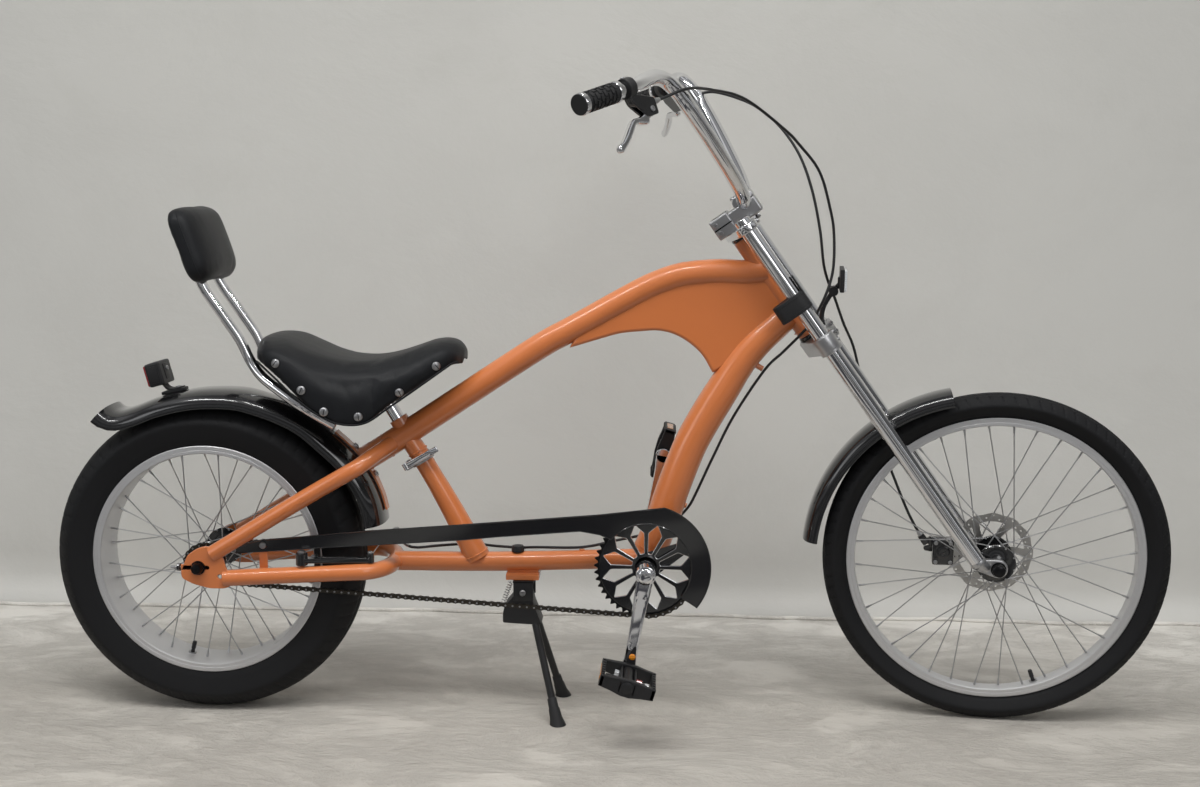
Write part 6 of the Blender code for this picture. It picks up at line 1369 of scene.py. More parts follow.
def seat_pad():
    shape = Body("seat_cover_shape")
    rows = seat_rows()
    shape.grid(rows)
    cover = puffed(shape, 3, 0.005, 0.0048)
    made = Body("seat_cover", LEATHER, STEEL, PLASTIC)
    skin = bmesh.new()
    skin.from_mesh(cover)
    surface = BVHTree.FromBMesh(skin)
    skin.free()
    made.take(cover)
    stud = [(0.0076, -0.002), (0.0078, 0.0006), (0.007, 0.002), (0.0044, 0.0031), (0, 0.0034)]
    for side in (-1, 1):
        for x, z in SEAT_STUDS:
            spot, normal = surface.ray_cast(Vector((x, side * 0.3, z)), Vector((0, -side, 0)))[:2]
            if normal.y * side < 0:
                normal = -normal
            place = aimed(spot, normal)
            made.turned(stud, place, 28, STEEL)
            slot = place @ turn(40 + 300 * x, "Z")
            made.block((0, 0, 0.0032), (0.0105, 0.0015, 0.0012), 0.0002, PLASTIC, slot, 1)
        lows = [row[9] for row in rows[3:-2]]
        hem = [Vector((low.x, side * (abs(low.y) + 0.001), low.z + 0.0008)) for low in lows]
        made.tube(hem, 0.0019, 10)
    made.done("seat", "seat_pad", smooth=60)


def backrest_pad():
    """Thin pillow leaning back on the bar, with a seam round its front face."""
    height, thick = 0.136, 0.013
    foot, lean, front = Vector((-0.6985, 0.7815)), Vector((-0.327, 0.945)), Vector((0.945, 0.327))

    def place(along, out, y):
        p = foot + lean * along + front * out
        return Vector((p.x, y, p.y))

    def section(y):
        share = abs(y) / 0.1
        inset = 0.022 * max(0, (share - 0.72) / 0.28) ** 2.2
        bulge = 0.023 * max(0, 1 - share**3) ** 0.6
        slim = 1 - 0.45 * max(0, (share - 0.9) / 0.1) ** 2
        points = []
        for a in full_turn(44):
            c, s = math.cos(a), math.sin(a)
            along = math.copysign(abs(s) ** 0.42, s) * (height / 2 - inset) + height / 2
            out = math.copysign(abs(c) ** 0.55, c) * thick * slim
            if c > 0:
                out += bulge * c**0.5 * (1 - abs(s) ** 3)
            points.append(place(along, out, y))
        return points

    shape = Body("backrest_cover_shape")
    spots = (-0.1, -0.099, -0.0965, -0.092, -0.084, -0.07, -0.05, -0.025)
    shape.grid([section(y) for y in (*spots, 0, *(-y for y in reversed(spots)))])
    made = Body("backrest_cover", LEATHER)
    made.take(puffed(shape, 3, 0.003, 0.0042))
    seam = []
    for a in full_turn(72):
        c, s = math.cos(a), math.sin(a)
        along = math.copysign(abs(s) ** 0.35, s) * (height / 2 - 0.004) + height / 2
        seam.append(place(along, 0.01, math.copysign(abs(c) ** 0.35, c) * 0.0975))
    made.tube([*seam, seam[0]], 0.0017, 8)
    made.done("seat", "backrest_pad", smooth=60)


def sissy_bar():
    half = [
        (-0.476, -0.06, 0.535), (-0.52, -0.084, 0.569), (-0.565, -0.074, 0.597), (-0.6, -0.06, 0.62),
        (-0.623, -0.05, 0.648), (-0.6391, -0.05, 0.6822), (-0.6685, -0.05, 0.726), (-0.698, -0.05, 0.769),
        (-0.714, -0.046, 0.804), (-0.7195, -0.03, 0.818), (-0.7205, 0, 0.82),
    ]
    made = Body("chrome_sissy_bar", CHROME, STEEL)
    made.tube(mirrored(smooth_route(half, 0.01)), 0.0092, 32)
    for side in (-1, 1):
        made.block((-0.484, side * 0.06125, 0.5581), (0.008, 0.0025, 0.0402), 0.0006, segments=1)
        made.rod((-0.476, side * 0.06, 0.535), (-0.4735, side * 0.0585, 0.5332), 0.0094, 24, STEEL, 0.007)
    made.done("seat", "sissy_bar", smooth=50)


def seat_post():
    made = Body("chrome_seat_post", CHROME, DARK_STEEL)
    made.rod(SEAT_FOOT, SEAT_HEAD + SEAT_ALONG * 0.005, 0.0127, 36, soft=0.0008)
    made.block((-0.4145, 0, 0.572), (0.061, 0.06, 0.006), 0.0012, DARK_STEEL)
    made.done("seat", "seatpost", smooth=40)


def seat_pieces():
    seat_pad()
    backrest_pad()
    sissy_bar()
    seat_post()


# Fork, bar and what rides on them

BAR_POINTS = [
    (0.025, -0.29, 1.027), (0.04, -0.255, 1.026), (0.05, -0.225, 1.024), (0.059, -0.2, 1.013),
    (0.064, -0.186, 0.987), (0.064, -0.175, 0.957), (0.061, -0.14, 0.902), (0.054, -0.085, 0.829),
    (0.048, -0.056, 0.795), (0.042, -0.038, 0.779), (0.04, -0.028, 0.776),
]
GRIP_OUTER = Vector((-0.047, -0.4, 1.045))
BAR_END = (GRIP_OUTER - Vector(BAR_POINTS[0])).normalized()
LEVER_PIN = (-0.029, 0.042)
CALIPER = (-0.027, 0.049)


def bar_spot(back, side):
    """A place on the bar's end stretch, this far inboard of its outer end."""
    start = GRIP_OUTER - BAR_END * back
    return Vector((start.x, -side * start.y, start.z))


def lever_place(side):
    """Local x runs out along the bar, local y from the bar to the lever, local z along the lever's pin."""
    out = Vector((BAR_END.x, -side * BAR_END.y, BAR_END.z))
    drop = Vector((-0.2, side * 0.029, -0.979))
    drop = (drop - out * drop.dot(out)).normalized()
    return axes(bar_spot(0.11, side), out, drop, out.cross(drop))


def handlebar():
    made = Body("chrome_handlebar", CHROME)
    run = [GRIP_OUTER] + smooth_route(BAR_POINTS, 0.007)
    across = mirrored([*run, Vector((BAR_AHEAD, 0, BAR_HEIGHT))])
    ends = len(across) - 1
    shares = [1 + 0.14 * min(1, max(0, (min(i, ends - i) - 1) / 3)) for i in range(ends + 1)]
    made.tube(across, 0.0111, 40, None, shares)
    made.done("fork", "handlebar", smooth=60, home=STEERING)


def grip(word, side):
    """Rubber sleeve with staggered ribs between two knurled lock rings."""
    made = Body(word + "_grip_sleeve", GRIP, CHROME, DARK_STEEL)
    start, end = bar_spot(0.09, side), bar_spot(-0.004, side)
    place = aimed(start, end - start)
    length = (end - start).length
    far = length - 0.012
    made.turned([(0.0112, 0), (0.0138, 0), (0.0142, 0.002), (0.0142, far), (0.0112, far)], place, 36, closed=True)
    for i in range(7):
        low = 0.016 + i * 0.0088
        ring = [(0.0138, low), (0.0161, low + 0.0008), (0.0161, low + 0.0062), (0.0138, low + 0.007)]
        for j in range(8):
            first = 2 * math.pi * (j + (i % 2) * 0.5) / 8 + 0.1
            span = 2 * math.pi / 8 - 0.2
            rows = [[place @ Vector((*polar(r, first + span * k / 4), h)) for r, h in ring] for k in range(5)]
            made.grid(rows)
    for low in (0.002, far):
        made.turned(collar(0.0112, 0.0163, low, low + 0.0096, 0.0007, 0.001), place, 48, CHROME, True)
        for a in full_turn(26):
            spot = place @ Matrix.Rotation(a, 4, "Z") @ move(0.0161, 0, low + 0.0048)
            made.block((0, 0, 0), (0.0011, 0.0016, 0.006), 0.0003, CHROME, spot, 1)
    cap = [(0, 0), (0.0158, 0), (0.0158, 0.0014), (0.015, 0.0022), (0, 0.0026)]
    made.turned(cap, place @ move(0, 0, length - 0.0026), 36)
    made.done("fork", word + "_grip", smooth=34, home=STEERING)


def lever_set(word, side):
    """Clamp and housing, with the polished blade on its own pin."""
    place = lever_place(side)
    made = Body(word + "_lever_housing", PLASTIC, STEEL, BLACK, base=place)
    made.turned(collar(0.0112, 0.0162, -0.008, 0.008, 0.0007, 0.001), turn(90, "Y"), 36, closed=True)
    front, rear = [(-0.008, 0.013), (0.008, 0.013), (0.006, 0.026)], [(-0.044, 0.026), (-0.026, 0.02)]
    shape = eased(front + [(-0.016, 0.052), (-0.04, 0.052)] + rear, 0.004, 4)
    for layer in (-0.00535, 0.00535):
        made.plate([shape], 0.0042, 0.001, BLACK, move(0, 0, layer))
    spine = eased(front + [(-0.004, 0.033), (-0.044, 0.033)] + rear, 0.003, 3)
    made.plate([spine], 0.01, 0.0008, BLACK)
    barrel = [
        (0.0046, 0), (0.0046, 0.006), (0.004, 0.0064), (0.004, 0.0094), (0.0046, 0.0098), (0.0046, 0.015),
        (0.0036, 0.0166), (0.0036, 0.02), (0.0014, 0.02),
    ]
    made.turned(barrel, made.aim((-0.04, 0.029, 0), (-1, 0, 0)) @ move(0, -0.003, 0), 20, STEEL)
    made.bolt((*LEVER_PIN, -side * 0.0075), (0, 0, -side), 0.0046, 0.0022, STEEL)
    made.bolt((0, -0.015, 0), (0, -1, 0), 0.0036, 0.003, STEEL)
    made.done("fork", word + "_lever_body", smooth=34, home=STEERING)
    blade = Body(word + "_lever_blade", CHROME, STEEL, base=place @ move(*LEVER_PIN, 0))
    root = [(-0.006, -0.002), (0, -0.0052), (0.02, 0.002), (0.026, 0.013), (0.016, 0.015), (-0.003, 0.008)]
    blade.plate([eased(root, 0.002, 3)], 0.0056, 0.0008)
    outline = [
        (0.013, -0.0008), (0.026, 0.0042), (0.035, 0.005), (0.043, 0.0042), (0.051, 0.006), (0.062, 0.013),
        (0.076, 0.0232), (0.088, 0.03), (0.097, 0.0325), (0.102, 0.0375), (0.1, 0.044), (0.0935, 0.0445),
        (0.083, 0.0395), (0.068, 0.031), (0.056, 0.0225), (0.047, 0.0152), (0.0385, 0.0138), (0.026, 0.0175),
        (0.015, 0.0185), (0.01, 0.008),
    ]
    curve = flat_route([*outline, outline[0]], 0.003)[:-1]
    blade.plate([[(p.x, p.y) for p in curve]], 0.0112, 0.0034, rounds=4)
    blade.rod((0, 0, -0.003), (0, 0, 0.003), 0.0044, 20, STEEL)
    blade.done(word + "_brake_lever", word + "_brake_lever", smooth=50, home=STEERING)


def crown_plates(made, ear, hub, low, high, edge):
    """Plates round the steerer and each leg."""
    outline = capsule((0, 0), hub, (LEG_AHEAD, -LEG_SPREAD), ear)
    for side in (-1, 1):
        shape = [(x, -side * y) for x, y in outline]
        hole = circle(LEG_AHEAD, side * LEG_SPREAD, 0.0144, 36)
        made.plate([shape, hole], high - low, edge, None, move(0, 0, (low + high) / 2), 3)


def crowns():
    """Cast lower crown with pinch bolts and a polished upper one; their ears hug the legs."""
    made = Body("cast_lower_crown", CAST, STEEL, CHROME, base=STEERING)
    crown_plates(made, 0.02, 0.023, 0.4847, 0.5147, 0.003)
    made.turned([(0.0127, 0), (0.0127, 0.2593)], move(0, 0, 0.5047), 32, CHROME)
    ring = [(0.0144, 0.4815), (0.0188, 0.4815), (0.0196, 0.4825), (0.0196, 0.486), (0.0144, 0.486)]
    for side in (-1, 1):
        made.turned(ring, move(LEG_AHEAD, side * LEG_SPREAD, 0), 40, closed=True)
        for height in (0.4915, 0.5078):
            spot = (LEG_AHEAD + 0.016, side * (LEG_SPREAD - 0.016), height)
            made.bolt(spot, (0.45, side * -0.25, 0), 0.0042, 0.0052, STEEL)
    made.done("fork", "lower_crown", smooth=34)
    top = Body("polished_upper_crown", CHROME, STEEL, base=STEERING)
    crown_plates(top, 0.0205, 0.024, 0.7313, 0.7463, 0.0026)
    for side in (-1, 1):
        top.bolt((LEG_AHEAD + 0.019, side * (LEG_SPREAD - 0.01), 0.7388), (1, 0, 0), 0.0042, 0.005, STEEL)
    top.done("fork", "upper_crown", smooth=34)


def stem_parts():
    """Block on the crown with a split, side bolts, and the clamp's cap over the bar."""
    made = Body("stem_block", CAST, STEEL, DARK_STEEL, base=STEERING)
    made.block((0.016, 0, 0.7612), (0.088, 0.042, 0.0292), 0.0045, segments=4)
    made.block((-0.013, 0, 0.7616), (0.037, 0.047, 0.037), 0.004, segments=4)
    for side in (-1, 1):
        made.block((-0.013, side * 0.0233, 0.7616), (0.035, 0.001, 0.0024), 0, DARK_STEEL)
        made.block((-0.01, side * 0.009, 0.78), (0.028, 0.0024, 0.0008), 0, DARK_STEEL)
        for height in (0.7535, 0.77):
            made.bolt((-0.0235, side * 0.0234, height), (0, side, 0), 0.0048, 0.0034, STEEL)
    made.done("fork", "stem", smooth=34)
    cap = Body("stem_cap", CAST, STEEL, DARK_STEEL, base=STEERING)
    half, foot = 0.02, 0.008
    profile = [(-half, 0), (half, 0), (half, foot), *arc(0, 0, 0.0205, 38, 142, 16), (-half, foot)]
    profile = [(x, min(z, 0.0156)) for x, z in profile]
    cap.side_plate([profile], 0.042, 0, 0.0018, None, move(BAR_AHEAD, 0, 0.77615), 3)
    for x in (-0.015, 0.015):
        for y in (-0.0135, 0.0135):
            cap.bolt((BAR_AHEAD + x, y, 0.79), (0, 0, 1), 0.0038, 0.0036, STEEL)
    cap.done("fork", "bar_clamp_cap", smooth=34)


def fork_legs():
    tube = [(0.0121, 0.034), (0.0143, 0.034), (0.0143, 0.7552), (0.0136, 0.7562), (0.012, 0.7568), (0, 0.757)]
    for node, side in (("right_leg", -1), ("left_leg", 1)):
        base = STEERING @ move(LEG_AHEAD, side * LEG_SPREAD, 0)
        made = Body(node + "_tube", CHROME, DARK_STEEL, base=base)
        made.turned(tube)
        made.turned(dome(0.0062, 0.0004, 0.0054, 0.0008), move(0, 0, 0.7566), 6, DARK_STEEL)
        made.done("fork", node, smooth=34)


def fork_ends():
    socket = [(0, 0.025), (0.0136, 0.025), (0.0146, 0.0268), (0.0146, 0.0318), (0.014, 0.0337), (0, 0.0337)]
    for node, side in (("right_fork_end", -1), ("left_fork_end", 1)):
        made = Body(node + "_cast", CAST, STEEL, base=STEERING)
        outline = capsule((AXLE_AHEAD, 0), 0.0165, (LEG_AHEAD + 0.001, 0.021), 0.0115)
        made.side_plate([outline, circle(AXLE_AHEAD, 0, 0.0048, 20)], 0.012, side * 0.0565, 0.0022, rounds=3)
        foot = (LEG_AHEAD + 0.006, side * (LEG_SPREAD - 0.003), 0.01)
        made.rod(foot, (LEG_AHEAD, side * LEG_SPREAD, 0.0275), 0.009, 28, None, 0.0136)
        made.turned(socket, move(LEG_AHEAD, side * LEG_SPREAD, 0), 36)
        if side > 0:
            made.block((0.002, 0.0585, 0.021), (0.036, 0.008, 0.02), 0.0016)
        made.done("fork", node, smooth=36)


def front_axle():
    made = Body("front_axle_and_nuts", STEEL, DARK_STEEL, base=STEERING)
    made.rod((AXLE_AHEAD, -0.0705, 0), (AXLE_AHEAD, 0.0705, 0), 0.0046, 24)
    nut = [
        (0.0132, 0), (0.0132, 0.0024), (0.0112, 0.0028), (0.0112, 0.01), (0.0104, 0.0128), (0.008, 0.0146),
        (0.004, 0.0153), (0, 0.0155),
    ]
    for side in (-1, 1):
        place = aimed((AXLE_AHEAD, side * 0.0628, 0), (0, side, 0))
        made.turned(nut, place, 36, DARK_STEEL)
        made.turned([(0.0134, 0), (0.0134, 0.0012), (0.005, 0.0012)], place, 36)
    made.done("fork", "front_axle", smooth=32)


def front_fender():
    made = Body("front_fender_skin", BLACK, STEEL)
    points = [Vector((x, z, 0)) for x, z in arc(0.0215, 0.0158, 0.3122, 139.5, 66, 90)]
    rolled_fender(made, points, 0.037, 0.024)
    for side in (-1, 1):
        made.rod((LEG_AHEAD, side * 0.033, 0.317), (LEG_AHEAD, side * 0.0479, 0.317), 0.006, 24, soft=0.0006)
    made.done("fork", "front_fender", smooth=40, home=STEERING)


def front_reflector():
    """White lens in a black box, on a bent wire from the lower crown."""
    made = Body("front_reflector_box", PLASTIC, CLEAR_LENS, STEEL)
    route = [(0.03, 0, 0.518), (0.034, 0, 0.53), (0.048, 0, 0.545), (0.07, 0, 0.556), (0.096, 0, 0.564)]
    made.tube(smooth_route(route, 0.004), 0.0042, 18)
    made.turned(dome(0.007, 0.0026, 0.004, 0.004), move(0.03, 0, 0.515), 24, STEEL)
    made.turned(collar(0, 0.0084, -0.009, 0.009, 0.001, 0.001), move(0.078, 0, 0.559) @ ALONG_Y, 28)
    place = move(0.103, 0, 0.5665) @ Matrix.Rotation(HEAD_LEAN, 4, "Y")
    made.block((-0.0022, 0, 0), (0.0076, 0.056, 0.04), 0.002, None, place, 3)
    made.block((0.0034, 0, 0), (0.0052, 0.053, 0.037), 0.0018, CLEAR_LENS, place, 3)
    made.block((-0.0062, 0, -0.004), (0.006, 0.014, 0.016), 0.0016, None, place)
    made.done("fork", "front_reflector", smooth=36, home=STEERING)


def leg_band():
    """Rubber strap round the right leg, with the cable's guide behind it."""
    made = Body("cable_band", GRIP, PLASTIC, base=STEERING)
    leg, guide = (LEG_AHEAD, -LEG_SPREAD), (-0.008, -LEG_SPREAD - 0.007)
    made.plate([capsule(leg, 0.0186, guide, 0.0125)], 0.033, 0.0012, None, move(0, 0, 0.5836), 3)
    for height in (0.572, 0.5952):
        made.plate([capsule(leg, 0.0192, guide, 0.0131)], 0.0016, 0.0005, None, move(0, 0, height))
    made.block((LEG_AHEAD + 0.0168, -LEG_SPREAD - 0.002, 0.613), (0.0034, 0.012, 0.033), 0.001)
    made.done("fork", "leg_band", smooth=36)


def front_brake():
    """Black housing across the rotor, with its bolts and the arm that the cable pulls."""
    x, z = CALIPER
    inner, outer = 0.0222, 0.048
    aim = move(x, 0, z) @ turn(35, "Y")
    made = Body("front_brake_housing", BLACK, STEEL, PLASTIC, ROTOR_STEEL, base=STEERING)
    for low, high in ((inner, 0.0312), (0.0356, outer)):
        made.block((0, (low + high) / 2, 0), (0.038, high - low, 0.048), 0.0042, None, aim, 3)
    made.block((-0.015, (inner + outer) / 2, 0), (0.008, outer - inner, 0.044), 0.0024, None, aim)
    made.turned(dome(0.015, 0.0024, 0.0128, 0.004), aimed((x, outer - 0.0044, z), (0, 1, 0)), 36)
    for centre, size in (
        ((-0.008, 0.048, 0.03), (0.018, 0.0124, 0.02)), ((-0.044, 0.0425, 0.083), (0.013, 0.0105, 0.02)),
        ((-0.036, 0.042, 0.072), (0.012, 0.009, 0.02)),
    ):
        made.block(centre, size, 0.002)
    for dx, dz in ((0.013, 0.018), (0.013, -0.018), (-0.013, 0.018), (-0.013, -0.018)):
        made.bolt(aim @ Vector((dx, inner, dz)), (0, -1, 0), 0.0038, 0.0026, STEEL)
    ring = [(0.0125, 0), (0.0125, 0.0018), (0.0105, 0.0028), (0.006, 0.0028), (0.0054, 0.0012), (0, 0.0012)]
    made.turned(ring, aim @ aimed((0, inner, 0), (0, -1, 0)), 28)
    screw = [(0.0046, 0), (0.0046, 0.008), (0.0036, 0.0096), (0.003, 0.011)]
    made.turned(screw, move(-0.044, 0.043, 0.09), 18, STEEL)
    made.done("fork", "front_caliper", smooth=34)
    arm = Body("front_brake_arm", BLACK, STEEL, base=STEERING @ move(x, 0, z))
    shape = capsule((0, 0), 0.01, (-0.023, 0.015), 0.005)
    arm.side_plate([shape, circle(-0.011, 0.0072, 0.0024, 14)], 0.0036, 0.0501, 0.0008)
    arm.bolt((0, 0.0519, 0), (0, 1, 0), 0.0062, 0.0034, STEEL)
    arm.bolt((-0.023, 0.0519, 0.015), (0, 1, 0), 0.0036, 0.0026, STEEL)
    arm.done("caliper_arm", "caliper_arm", smooth=34)


def fork_pieces():
    crowns()
    stem_parts()
    fork_legs()
    fork_ends()
    front_axle()
    handlebar()
    grip("right", -1)
    grip("left", 1)
    lever_set("right", -1)
    lever_set("left", 1)
    front_fender()
    front_reflector()
    leg_band()
    front_brake()


# Brake cables


def lever_cable_start(side):
    return [lever_place(side) @ Vector((back, 0.032, 0)) for back in (-0.0603, -0.072)]


def brake_cables():
    """Two black housings; the front one turns with the fork, and the rear one, from the bar down along the frame, is
    left in place on no body.
    """
    upper = [
        (0.1454, 0.2, 1.1172), (0.1861, 0.15, 1.1233), (0.2415, 0.1, 1.1046), (0.2758, 0.075, 1.0824),
        (0.3065, 0.055, 1.0522), (0.3355, 0.035, 1.0069), (0.3565, 0.02, 0.9483), (0.3715, 0.012, 0.8794),
        (0.3819, 0.014, 0.81),
    ]
    lower = [
        (0.07, 0.042, 0.54), (0.056, 0.07, 0.49), (0.045, 0.092, 0.44), (0.018, 0.096, 0.37), (-0.008, 0.087, 0.29),
        (-0.024, 0.07, 0.215), (-0.038, 0.052, 0.15), (-0.043, 0.0445, 0.115), (-0.044, 0.043, 0.0938),
    ]
    front = [STEERING @ p for p in lever_cable_start(1)] + upper + [STEERING @ Vector(p) for p in lower]
    made = Body("front_cable_housing", CABLE_SKIN)
    made.tube(smooth_route(front, 0.008), 0.0025, 14)
    made.done("fork", "front_brake_cable", smooth=60)
    rear = [STEERING @ p for p in (*lever_cable_start(-1), Vector((0.082, -0.215, 0.98)))] + [
        (0.1747, -0.16, 1.1067), (0.2297, -0.1, 1.0963), (0.2966, -0.06, 1.0512), (0.3268, -0.045, 1.0235),
        (0.3633, -0.03, 0.9789), (0.385, -0.018, 0.9146), (0.3927, -0.015, 0.8718), (0.392, -0.02, 0.81),
        (0.376, -0.03, 0.76), (0.352, -0.026, 0.715), (0.312, -0.008, 0.668), (0.28, 0, 0.6336), (0.227, 0, 0.55),
        (0.192, 0, 0.476), (0.162, 0, 0.408), (0.15, 0, 0.385), (0.133, 0.022, 0.36), (0.108, 0.039, 0.335),
        (0.07, 0.041, 0.322), (0.02, 0.026, 0.314), (-0.0409, 0, 0.3072), (-0.12, 0.003, 0.305),
        (-0.157, 0.018, 0.3), (-0.2, 0.026, 0.3), (-0.24, 0.031, 0.302), (-0.29, 0.024, 0.301),
        (-0.34, 0.002, 0.301), (-0.356, 0.003, 0.303),
    ]
    noodle = [
        (-0.356, 0.003, 0.303), (-0.366, 0.013, 0.306), (-0.378, 0.04, 0.315), (-0.388, 0.075, 0.317),
        (-0.398, 0.098, 0.312), (-0.409, 0.101, 0.305), (-0.4112, 0.093, 0.3035), (-0.4112, 0.065, 0.3035),
    ]
    made = Body("rear_cable_housing", CABLE_SKIN, STEEL)
    made.tube(smooth_route(rear, 0.008), 0.0025, 14)
    made.tube(smooth_route(noodle, 0.004), 0.0026, 14, STEEL)
    made.rod((-0.4112, 0.065, 0.3035), (-0.4112, -0.093, 0.3035), 0.0008, 10, STEEL)
    bend = ("fork", (0.37, -0.03, 0.74), (0.345, 0.012, 1))
    made.done("frame", "rear_brake_cable", smooth=60, bend=bend)


# Room, lights and camera


def cloth_effect():
    """Soft creases and slow patches of a large hanging or lying cloth; its stretch makes them long one way."""
    scales = {"Along X": 1, "Along Y": 1, "Along Z": 1}
    tree, given, result, where = effect("backdrop_cloth", scales, ["Creases", "Patches", "Stains"])
    there = stretched_along(tree, where, given)
    folds = noise(tree, there, 2.6, 9, 0.66, 0.35)[0]
    ridge = sums(tree, "ABSOLUTE", sums(tree, "SUBTRACT", folds, 0.5))
    tree.links.new(spread(tree, ridge, 0, 0.11), result["Creases"])
    tree.links.new(noise(tree, there, 1.7, 8, 0.68, 0.2)[0], result["Patches"])
    stains = noise(tree, there, 6.5, 9, 0.76, 0.5)[0]
    tree.links.new(spread(tree, stains, 0.54, 0.74), result["Stains"])
    return tree


def cloth_finish(cloth, name, colour, shade, stain, crease, height, stretch, axis, reach, painted_light_tone):
    """Cloth that is painted lighter along one axis, over the given reach: painted light that lifts the shade where
    floor and wall meet.
    """
    finish = Finish(name, colour, 0.8, Specular_IOR_Level=0.2)
    tree = finish.tree
    made = finish.use(cloth, **{f"Along_{letter}": value for letter, value in zip("XYZ", stretch)})
    # Darker colour over the slow patches, which also drive roughness and relief.
    finish.blend_colour(spread(tree, made["Patches"], 0.36, 0.66), shade, 0.85)
    finish.blend_colour(made["Stains"], stain, 0.55)
    # Painted light: lighter along the axis over the reach, lifting the shade where floor and wall meet.
    where = tree.nodes.new("ShaderNodeTexCoord").outputs["Object"]
    along = linked(tree, "ShaderNodeSeparateXYZ", {0: where}).outputs[axis]
    finish.blend_colour(spread(tree, along, *reach), painted_light_tone, 0.8)
    # Darker colour along the creases: painted shade in the folds.
    line = sums(tree, "SUBTRACT", 1, made["Creases"])
    finish.blend_colour(line, [c * 0.72 for c in shade], crease)
    finish.vary_roughness(made["Patches"], 0.62, 0.9)
    finish.bump(made["Creases"], height, 0.5)
    finish.bump(made["Patches"], height * 3, 0.5)
    return finish.material


def second_surface(skin, share, other):
    """Shows the other shader where share is 1, and the cloth elsewhere."""
    tree = skin.node_tree
    output = next(n for n in tree.nodes if n.type == "OUTPUT_MATERIAL")
    under = output.inputs["Surface"].links[0].from_socket
    both = linked(tree, "ShaderNodeMixShader", {0: share, 1: under, 2: other})
    tree.links.new(both.outputs[0], output.inputs["Surface"])


def open_behind(skin):
    """The wall's back lets a view from behind through to the bicycle."""
    nodes = skin.node_tree.nodes
    facing = nodes.new("ShaderNodeNewGeometry").outputs["Backfacing"]
    second_surface(skin, facing, nodes.new("ShaderNodeBsdfTransparent").outputs[0])


def painted_dark_reflection(skin):
    """The camera sees pale cloth; every other ray sees a deep grey with lighter patches: painted reflections in the
    chrome and gloss paint, and less light bounced up from the floor in front.
    """
    tree = skin.node_tree
    there = stretched(tree, tree.nodes.new("ShaderNodeTexCoord").outputs["Object"], (1.3, 0.9, 1))
    patch = spread(tree, noise(tree, there, 1.6, 1)[0], 0.45, 0.54)
    # Painted reflection: deep grey with lighter patches.
    painted_reflection_tones = {"Factor": patch, 6: (0.04, 0.04, 0.046, 1), 7: (0.34, 0.335, 0.325, 1)}
    painted_light_tone = linked(tree, "ShaderNodeMix", painted_reflection_tones, data_type="RGBA").outputs[2]
    painted_reflection = linked(tree, "ShaderNodeBsdfDiffuse", {"Color": painted_light_tone})
    mirrored_ray = sums(tree, "SUBTRACT", 1, tree.nodes.new("ShaderNodeLightPath").outputs["Is Camera Ray"])
    second_surface(skin, mirrored_ray, painted_reflection.outputs[0])


def room():
    """Creased pale cloth on the floor, meeting a pale hanging cloth."""
    cloth = cloth_effect()
    # The floor is painted lighter towards the wall, painted light lifting the shade near the seam.
    pale, near_skin = (
        cloth_finish(
            cloth, name, (0.5, 0.475, 0.435), (0.425, 0.4, 0.365), (0.3, 0.275, 0.245), 0.42, 0.01,
            (1.3, 2.4, 1), "Y", (0.05, 0.5), (0.72, 0.7, 0.66),
        )
        for name in ("floor_cloth", "near_floor_cloth")
    )
    painted_dark_reflection(near_skin)
    # The wall is painted lighter towards its foot, painted light lifting the shade there.
    wall_skin = cloth_finish(
        cloth, "wall_cloth", (0.455, 0.451, 0.43), (0.428, 0.423, 0.402), (0.4, 0.393, 0.368), 0.06, 0.0009,
        (0.7, 1, 0.9), "Z", (1.35, 0.25), (0.64, 0.635, 0.61),
    )
    open_behind(wall_skin)
    profile = [(0.583, 0), (0.583, 0.004), (0.6, 0.03), (0.606, 0.07), (0.598, 0.12), (0.59, 0.2), (0.583, 0.4)]
    for name, skin, half, line in (
        ("studio_floor", pale, 14, [(-0.42, 0), (14, 0)]),
        ("studio_near_floor", near_skin, 14, [(-14, 0), (-0.42, 0)]),
        ("studio_wall", wall_skin, 6, [*profile, (0.583, 5)]),
    ):
        sheet = Body(name, skin)
        sheet.grid([[Vector((-half, y, z)), Vector((half, y, z))] for y, z in line], None, False)
        sheet.drawn()
    hem = Body("cloth_hem", pale)
    line = [(-6 + 0.05 * i, 0.578 - 0.006 * math.sin(0.55 * i) - 0.003 * math.sin(1.9 * i), 0.003) for i in range(241)]
    hem.tube(line, 0.0045, 10)
    hem.drawn()


def soft_lamp(name, place, target, size, power, colour=(1, 1, 1), mirrored_in_gloss=True):
    data = bpy.data.lights.new(name, "AREA")
    data.shape = "RECTANGLE"
    data.size, data.size_y = size
    data.energy = power
    data.color = colour
    obj = bpy.data.objects.new(name, data)
    obj.visible_glossy = mirrored_in_gloss
    facing = (Vector(target) - Vector(place)).to_track_quat("-Z", "Y").to_matrix().to_4x4()
    obj.matrix_world = Matrix.Translation(place) @ facing
    bpy.context.scene.collection.objects.link(obj)


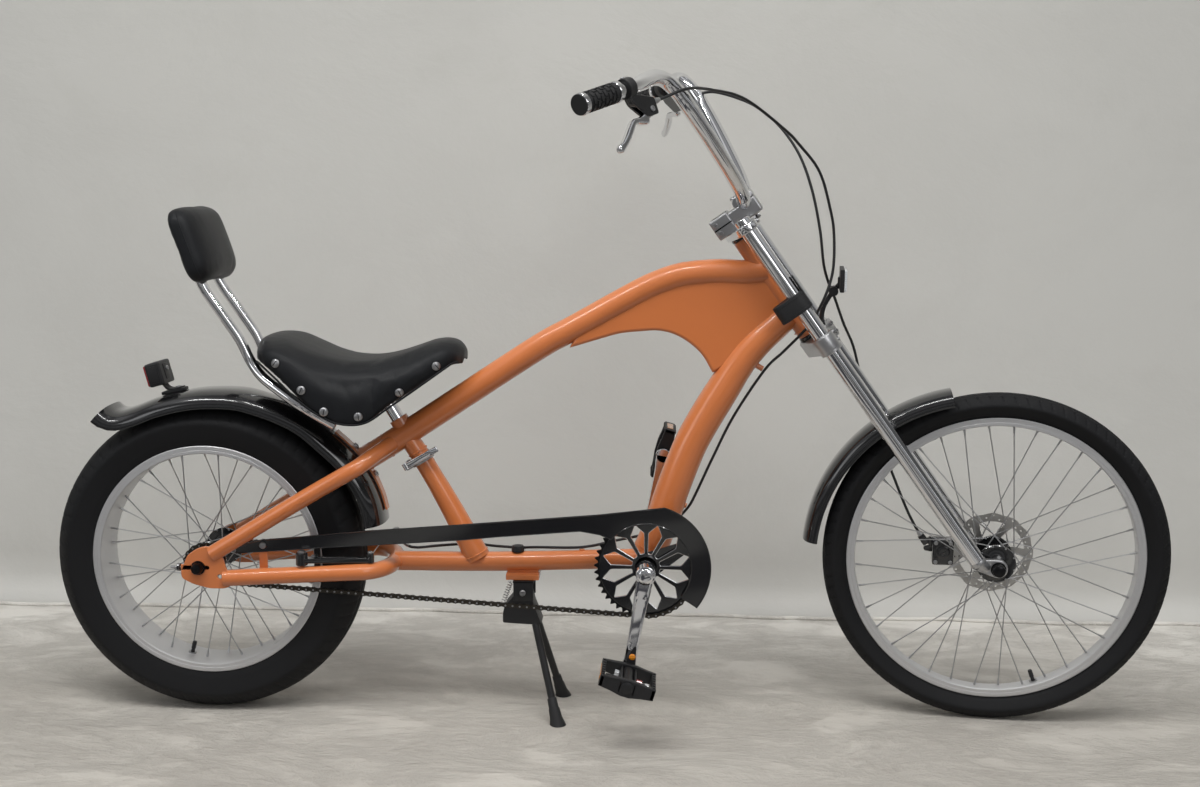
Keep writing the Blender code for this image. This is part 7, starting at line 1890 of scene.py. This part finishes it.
def lighting():
    """Soft lamps above, and a world that is pale overhead and darker in front of the bicycle."""
    world = bpy.data.worlds.new("studio_world")
    bpy.context.scene.world = world
    world.use_nodes = True
    tree = world.node_tree
    back = tree.nodes["Background"]
    where = tree.nodes.new("ShaderNodeTexCoord").outputs["Generated"]
    height = linked(tree, "ShaderNodeSeparateXYZ", {0: where}).outputs["Z"]
    ramp = linked(tree, "ShaderNodeValToRGB", {0: spread(tree, height, -0.2, 1)})
    stops = (
        (0, 0.18), (0.125, 0.3), (0.167, 0.34), (0.217, 0.28), (0.25, 0.07), (0.29, 0.05), (0.308, 0.72),
        (0.333, 0.75), (0.35, 0.06), (0.5, 0.09), (0.56, 0.36), (0.64, 0.42), (0.7, 0.12), (0.76, 0.14),
        (0.82, 0.62), (0.9, 0.6), (0.95, 0.22), (1, 0.3),
    )
    ramp.color_ramp.elements[0].position = 0
    for position, level in stops[1:]:
        ramp.color_ramp.elements.new(position)
    for element, (position, level) in zip(ramp.color_ramp.elements, stops):
        element.position = position
        element.color = (level, level * 1.01, level * 1.03, 1)
    tree.links.new(ramp.outputs[0], back.inputs["Color"])
    back.inputs["Strength"].default_value = 1
    plain = linked(tree, "ShaderNodeBackground", {"Color": (0.46, 0.455, 0.435, 1)})
    camera_ray = tree.nodes.new("ShaderNodeLightPath").outputs["Is Camera Ray"]
    seen = linked(tree, "ShaderNodeMixShader", {0: camera_ray, 1: back.outputs[0], 2: plain.outputs[0]})
    tree.links.new(seen.outputs[0], tree.nodes["World Output"].inputs["Surface"])
    soft_lamp("overhead_lamp", (-0.2, -1.35, 3.1), (0, 0.1, 0.3), (3.2, 1.4), 72, (1, 0.99, 0.97), False)
    for x in (-1.5, -0.1, 1.3):
        soft_lamp("ceiling_tube", (x, -1.15, 2.9), (x * 0.6, 0, 0.4), (1.15, 0.05), 10, (1, 1, 0.98))
    soft_lamp("front_lamp", (1.9, -3.4, 2.2), (0, 0, 0.5), (1.6, 1.6), 19)
    soft_lamp("left_lamp", (-2.8, -2.2, 1.6), (-0.3, 0, 0.5), (1.2, 1.6), 9, (0.97, 0.99, 1))


def camera():
    """Stands where the photograph was taken, for a picture of 1200 by 787."""
    yaw, pitch, roll = math.radians(-2.3), math.radians(8.414), math.radians(0.373)
    forward = Vector((math.sin(yaw) * math.cos(pitch), math.cos(yaw) * math.cos(pitch), -math.sin(pitch)))
    right = Vector((math.cos(yaw), -math.sin(yaw), 0))
    up = right.cross(forward)
    across = right * math.cos(roll) + up * math.sin(roll)
    upright = -right * math.sin(roll) + up * math.cos(roll)
    data = bpy.data.cameras.new("camera")
    data.sensor_fit = "HORIZONTAL"
    data.sensor_width = 36
    data.lens = 42.446
    data.clip_start = 0.05
    obj = bpy.data.objects.new("camera", data)
    obj.matrix_world = axes((0.08958, -2.48451, 0.95589), across, upright, -forward)
    bpy.context.scene.collection.objects.link(obj)
    bpy.context.scene.camera = obj


camera()
wheels()
drive()
frame_pieces()
seat_pieces()
fork_pieces()
brake_cables()
bpy.context.scene.view_settings.view_transform = "Standard"
room()
lighting()
